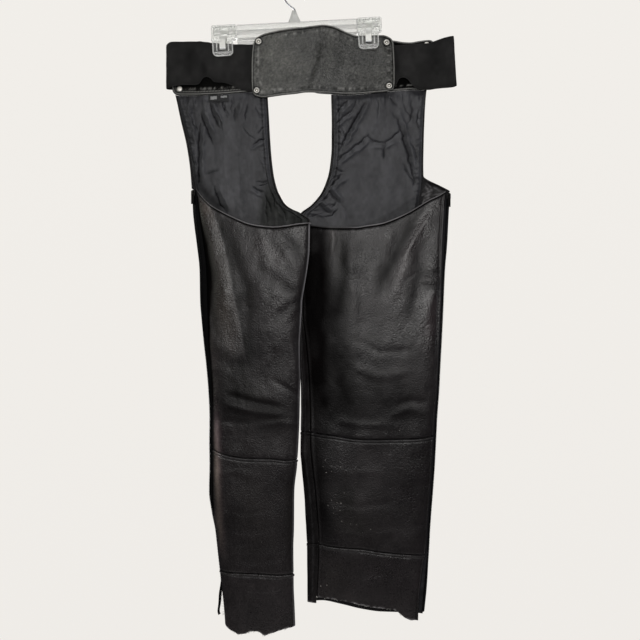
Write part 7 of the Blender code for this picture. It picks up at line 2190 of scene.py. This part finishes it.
for leg in ("L", "R"):
    o_, n_ = seat_grids[2 if leg == "L" else 5]
    low_ = o_[-1]
    for x0_, x1_, count in (((231, 241, 7), (246, 258, 13), (258, 272, 15), (284, 296, 4)) if leg == "L" else ((309, 320, 8), (322, 345, 9), (352, 374, 12), (380, 402, 12))):
        for _ in range(count):
            x_ = x0_ + (x1_ - x0_) * rng.rand()
            j_ = int(np.argmin(np.where(n_[-1][:, 1] < 0, abs(px_of(low_[:, 0]) - x_), 99)))
            fibre(low_[j_] + n_[-1, j_] * 0.3 + np.array((0, 0, 1.4)), (rng.uniform(-1, 1), -0.35, -0.35 - 0.5 * rng.rand()), 1.8 + 2.6 * rng.rand(), rng.uniform(-0.9, 0.9), 0.5)
o_, n_ = seat_grids[2]
edge_x = o_[..., 0].min(axis=1)
for _ in range(16):
    z_ = -(590 + 26 * rng.rand() + 17.0) * 2.08
    k_ = int(np.argmin(abs(o_[:, len(o_[0]) // 2, 2] - z_)))
    fibre((edge_x[k_] + 0.6, -1.0 - 3.0 * rng.rand(), z_), (-1.0, -0.3, rng.uniform(-0.9, 0.3)), 2.4 + 4.0 * rng.rand(), rng.uniform(-2.2, 2.2), 0.42)
piece(raw_object("frayed_fibres", fv, ff, M_FRAY, angle=180), "leg_leather")


# ------------------------------------------- what each piece of cloth was cut to
def cut_size(name, stride):
    """Width and height of the rectangle a piece is cut from, and its area laid flat, in
    metres.  Points are taken a stride apart, so that grain and puckers add nothing."""
    g = GRIDS[name] * MM
    rows_, cols_ = (sorted(set(range(0, q, stride)) | {q - 1}) for q in g.shape[:2])
    g = g[np.ix_(rows_, cols_)]
    wide = np.linalg.norm(np.diff(g[..., :2], axis=1), axis=2).sum(1).max()
    long_ = max(np.linalg.norm(np.diff(g[..., 1:], axis=0), axis=2).sum(0).max(), np.ptp(g[..., 2]))
    d1, d2 = g[1:, 1:] - g[:-1, :-1], g[1:, :-1] - g[:-1, 1:]
    area = 0.5 * np.linalg.norm(np.cross(d1, d2), axis=2).sum()
    return round(max(float(wide), 0.010), 3), round(float(long_), 3), float(area)


HANGS_FROM = [("lumbar_leather", 3, ("clip_jaw_R_seat", "clip_jaw_R_front")), ("closure_strap", 3, ("waist_leather_L",)),
              ("closure_tab", 3, ("waist_leather_R",)), ("size_tag", 1, ("waist_facing_L",)), ("zip_tail", 1, ("zip_tape_L",))]
for leg in ("L", "R"):
    HANGS_FROM += [(a_ + leg, stride, tuple(b_ + leg for b_ in on)) for a_, stride, on in (
        ("waist_leather_", 3, ("waist_facing_",)), ("waist_facing_", 3, ("web_",)), ("nylon_lining_", 3, ("waist_leather_",)),
        ("front_thigh_leather_", 2, ("waist_leather_",)), ("front_calf_leather_", 2, ("front_thigh_leather_",)), ("front_cuff_leather_", 2, ("front_calf_leather_",)),
        ("seat_thigh_", 3, ("front_thigh_leather_",)), ("seat_calf_", 3, ("seat_thigh_",)), ("seat_cuff_", 3, ("seat_calf_",)),
        ("zip_tape_", 3, ("front_thigh_leather_",)))]
    HANGS_FROM.append(("web_" + leg, 3, ("lumbar_leather", "clip_jaw_%s_seat" % leg)))
for name, stride, on in HANGS_FROM:
    wide, long_, area = cut_size(name, stride)
    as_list(on)
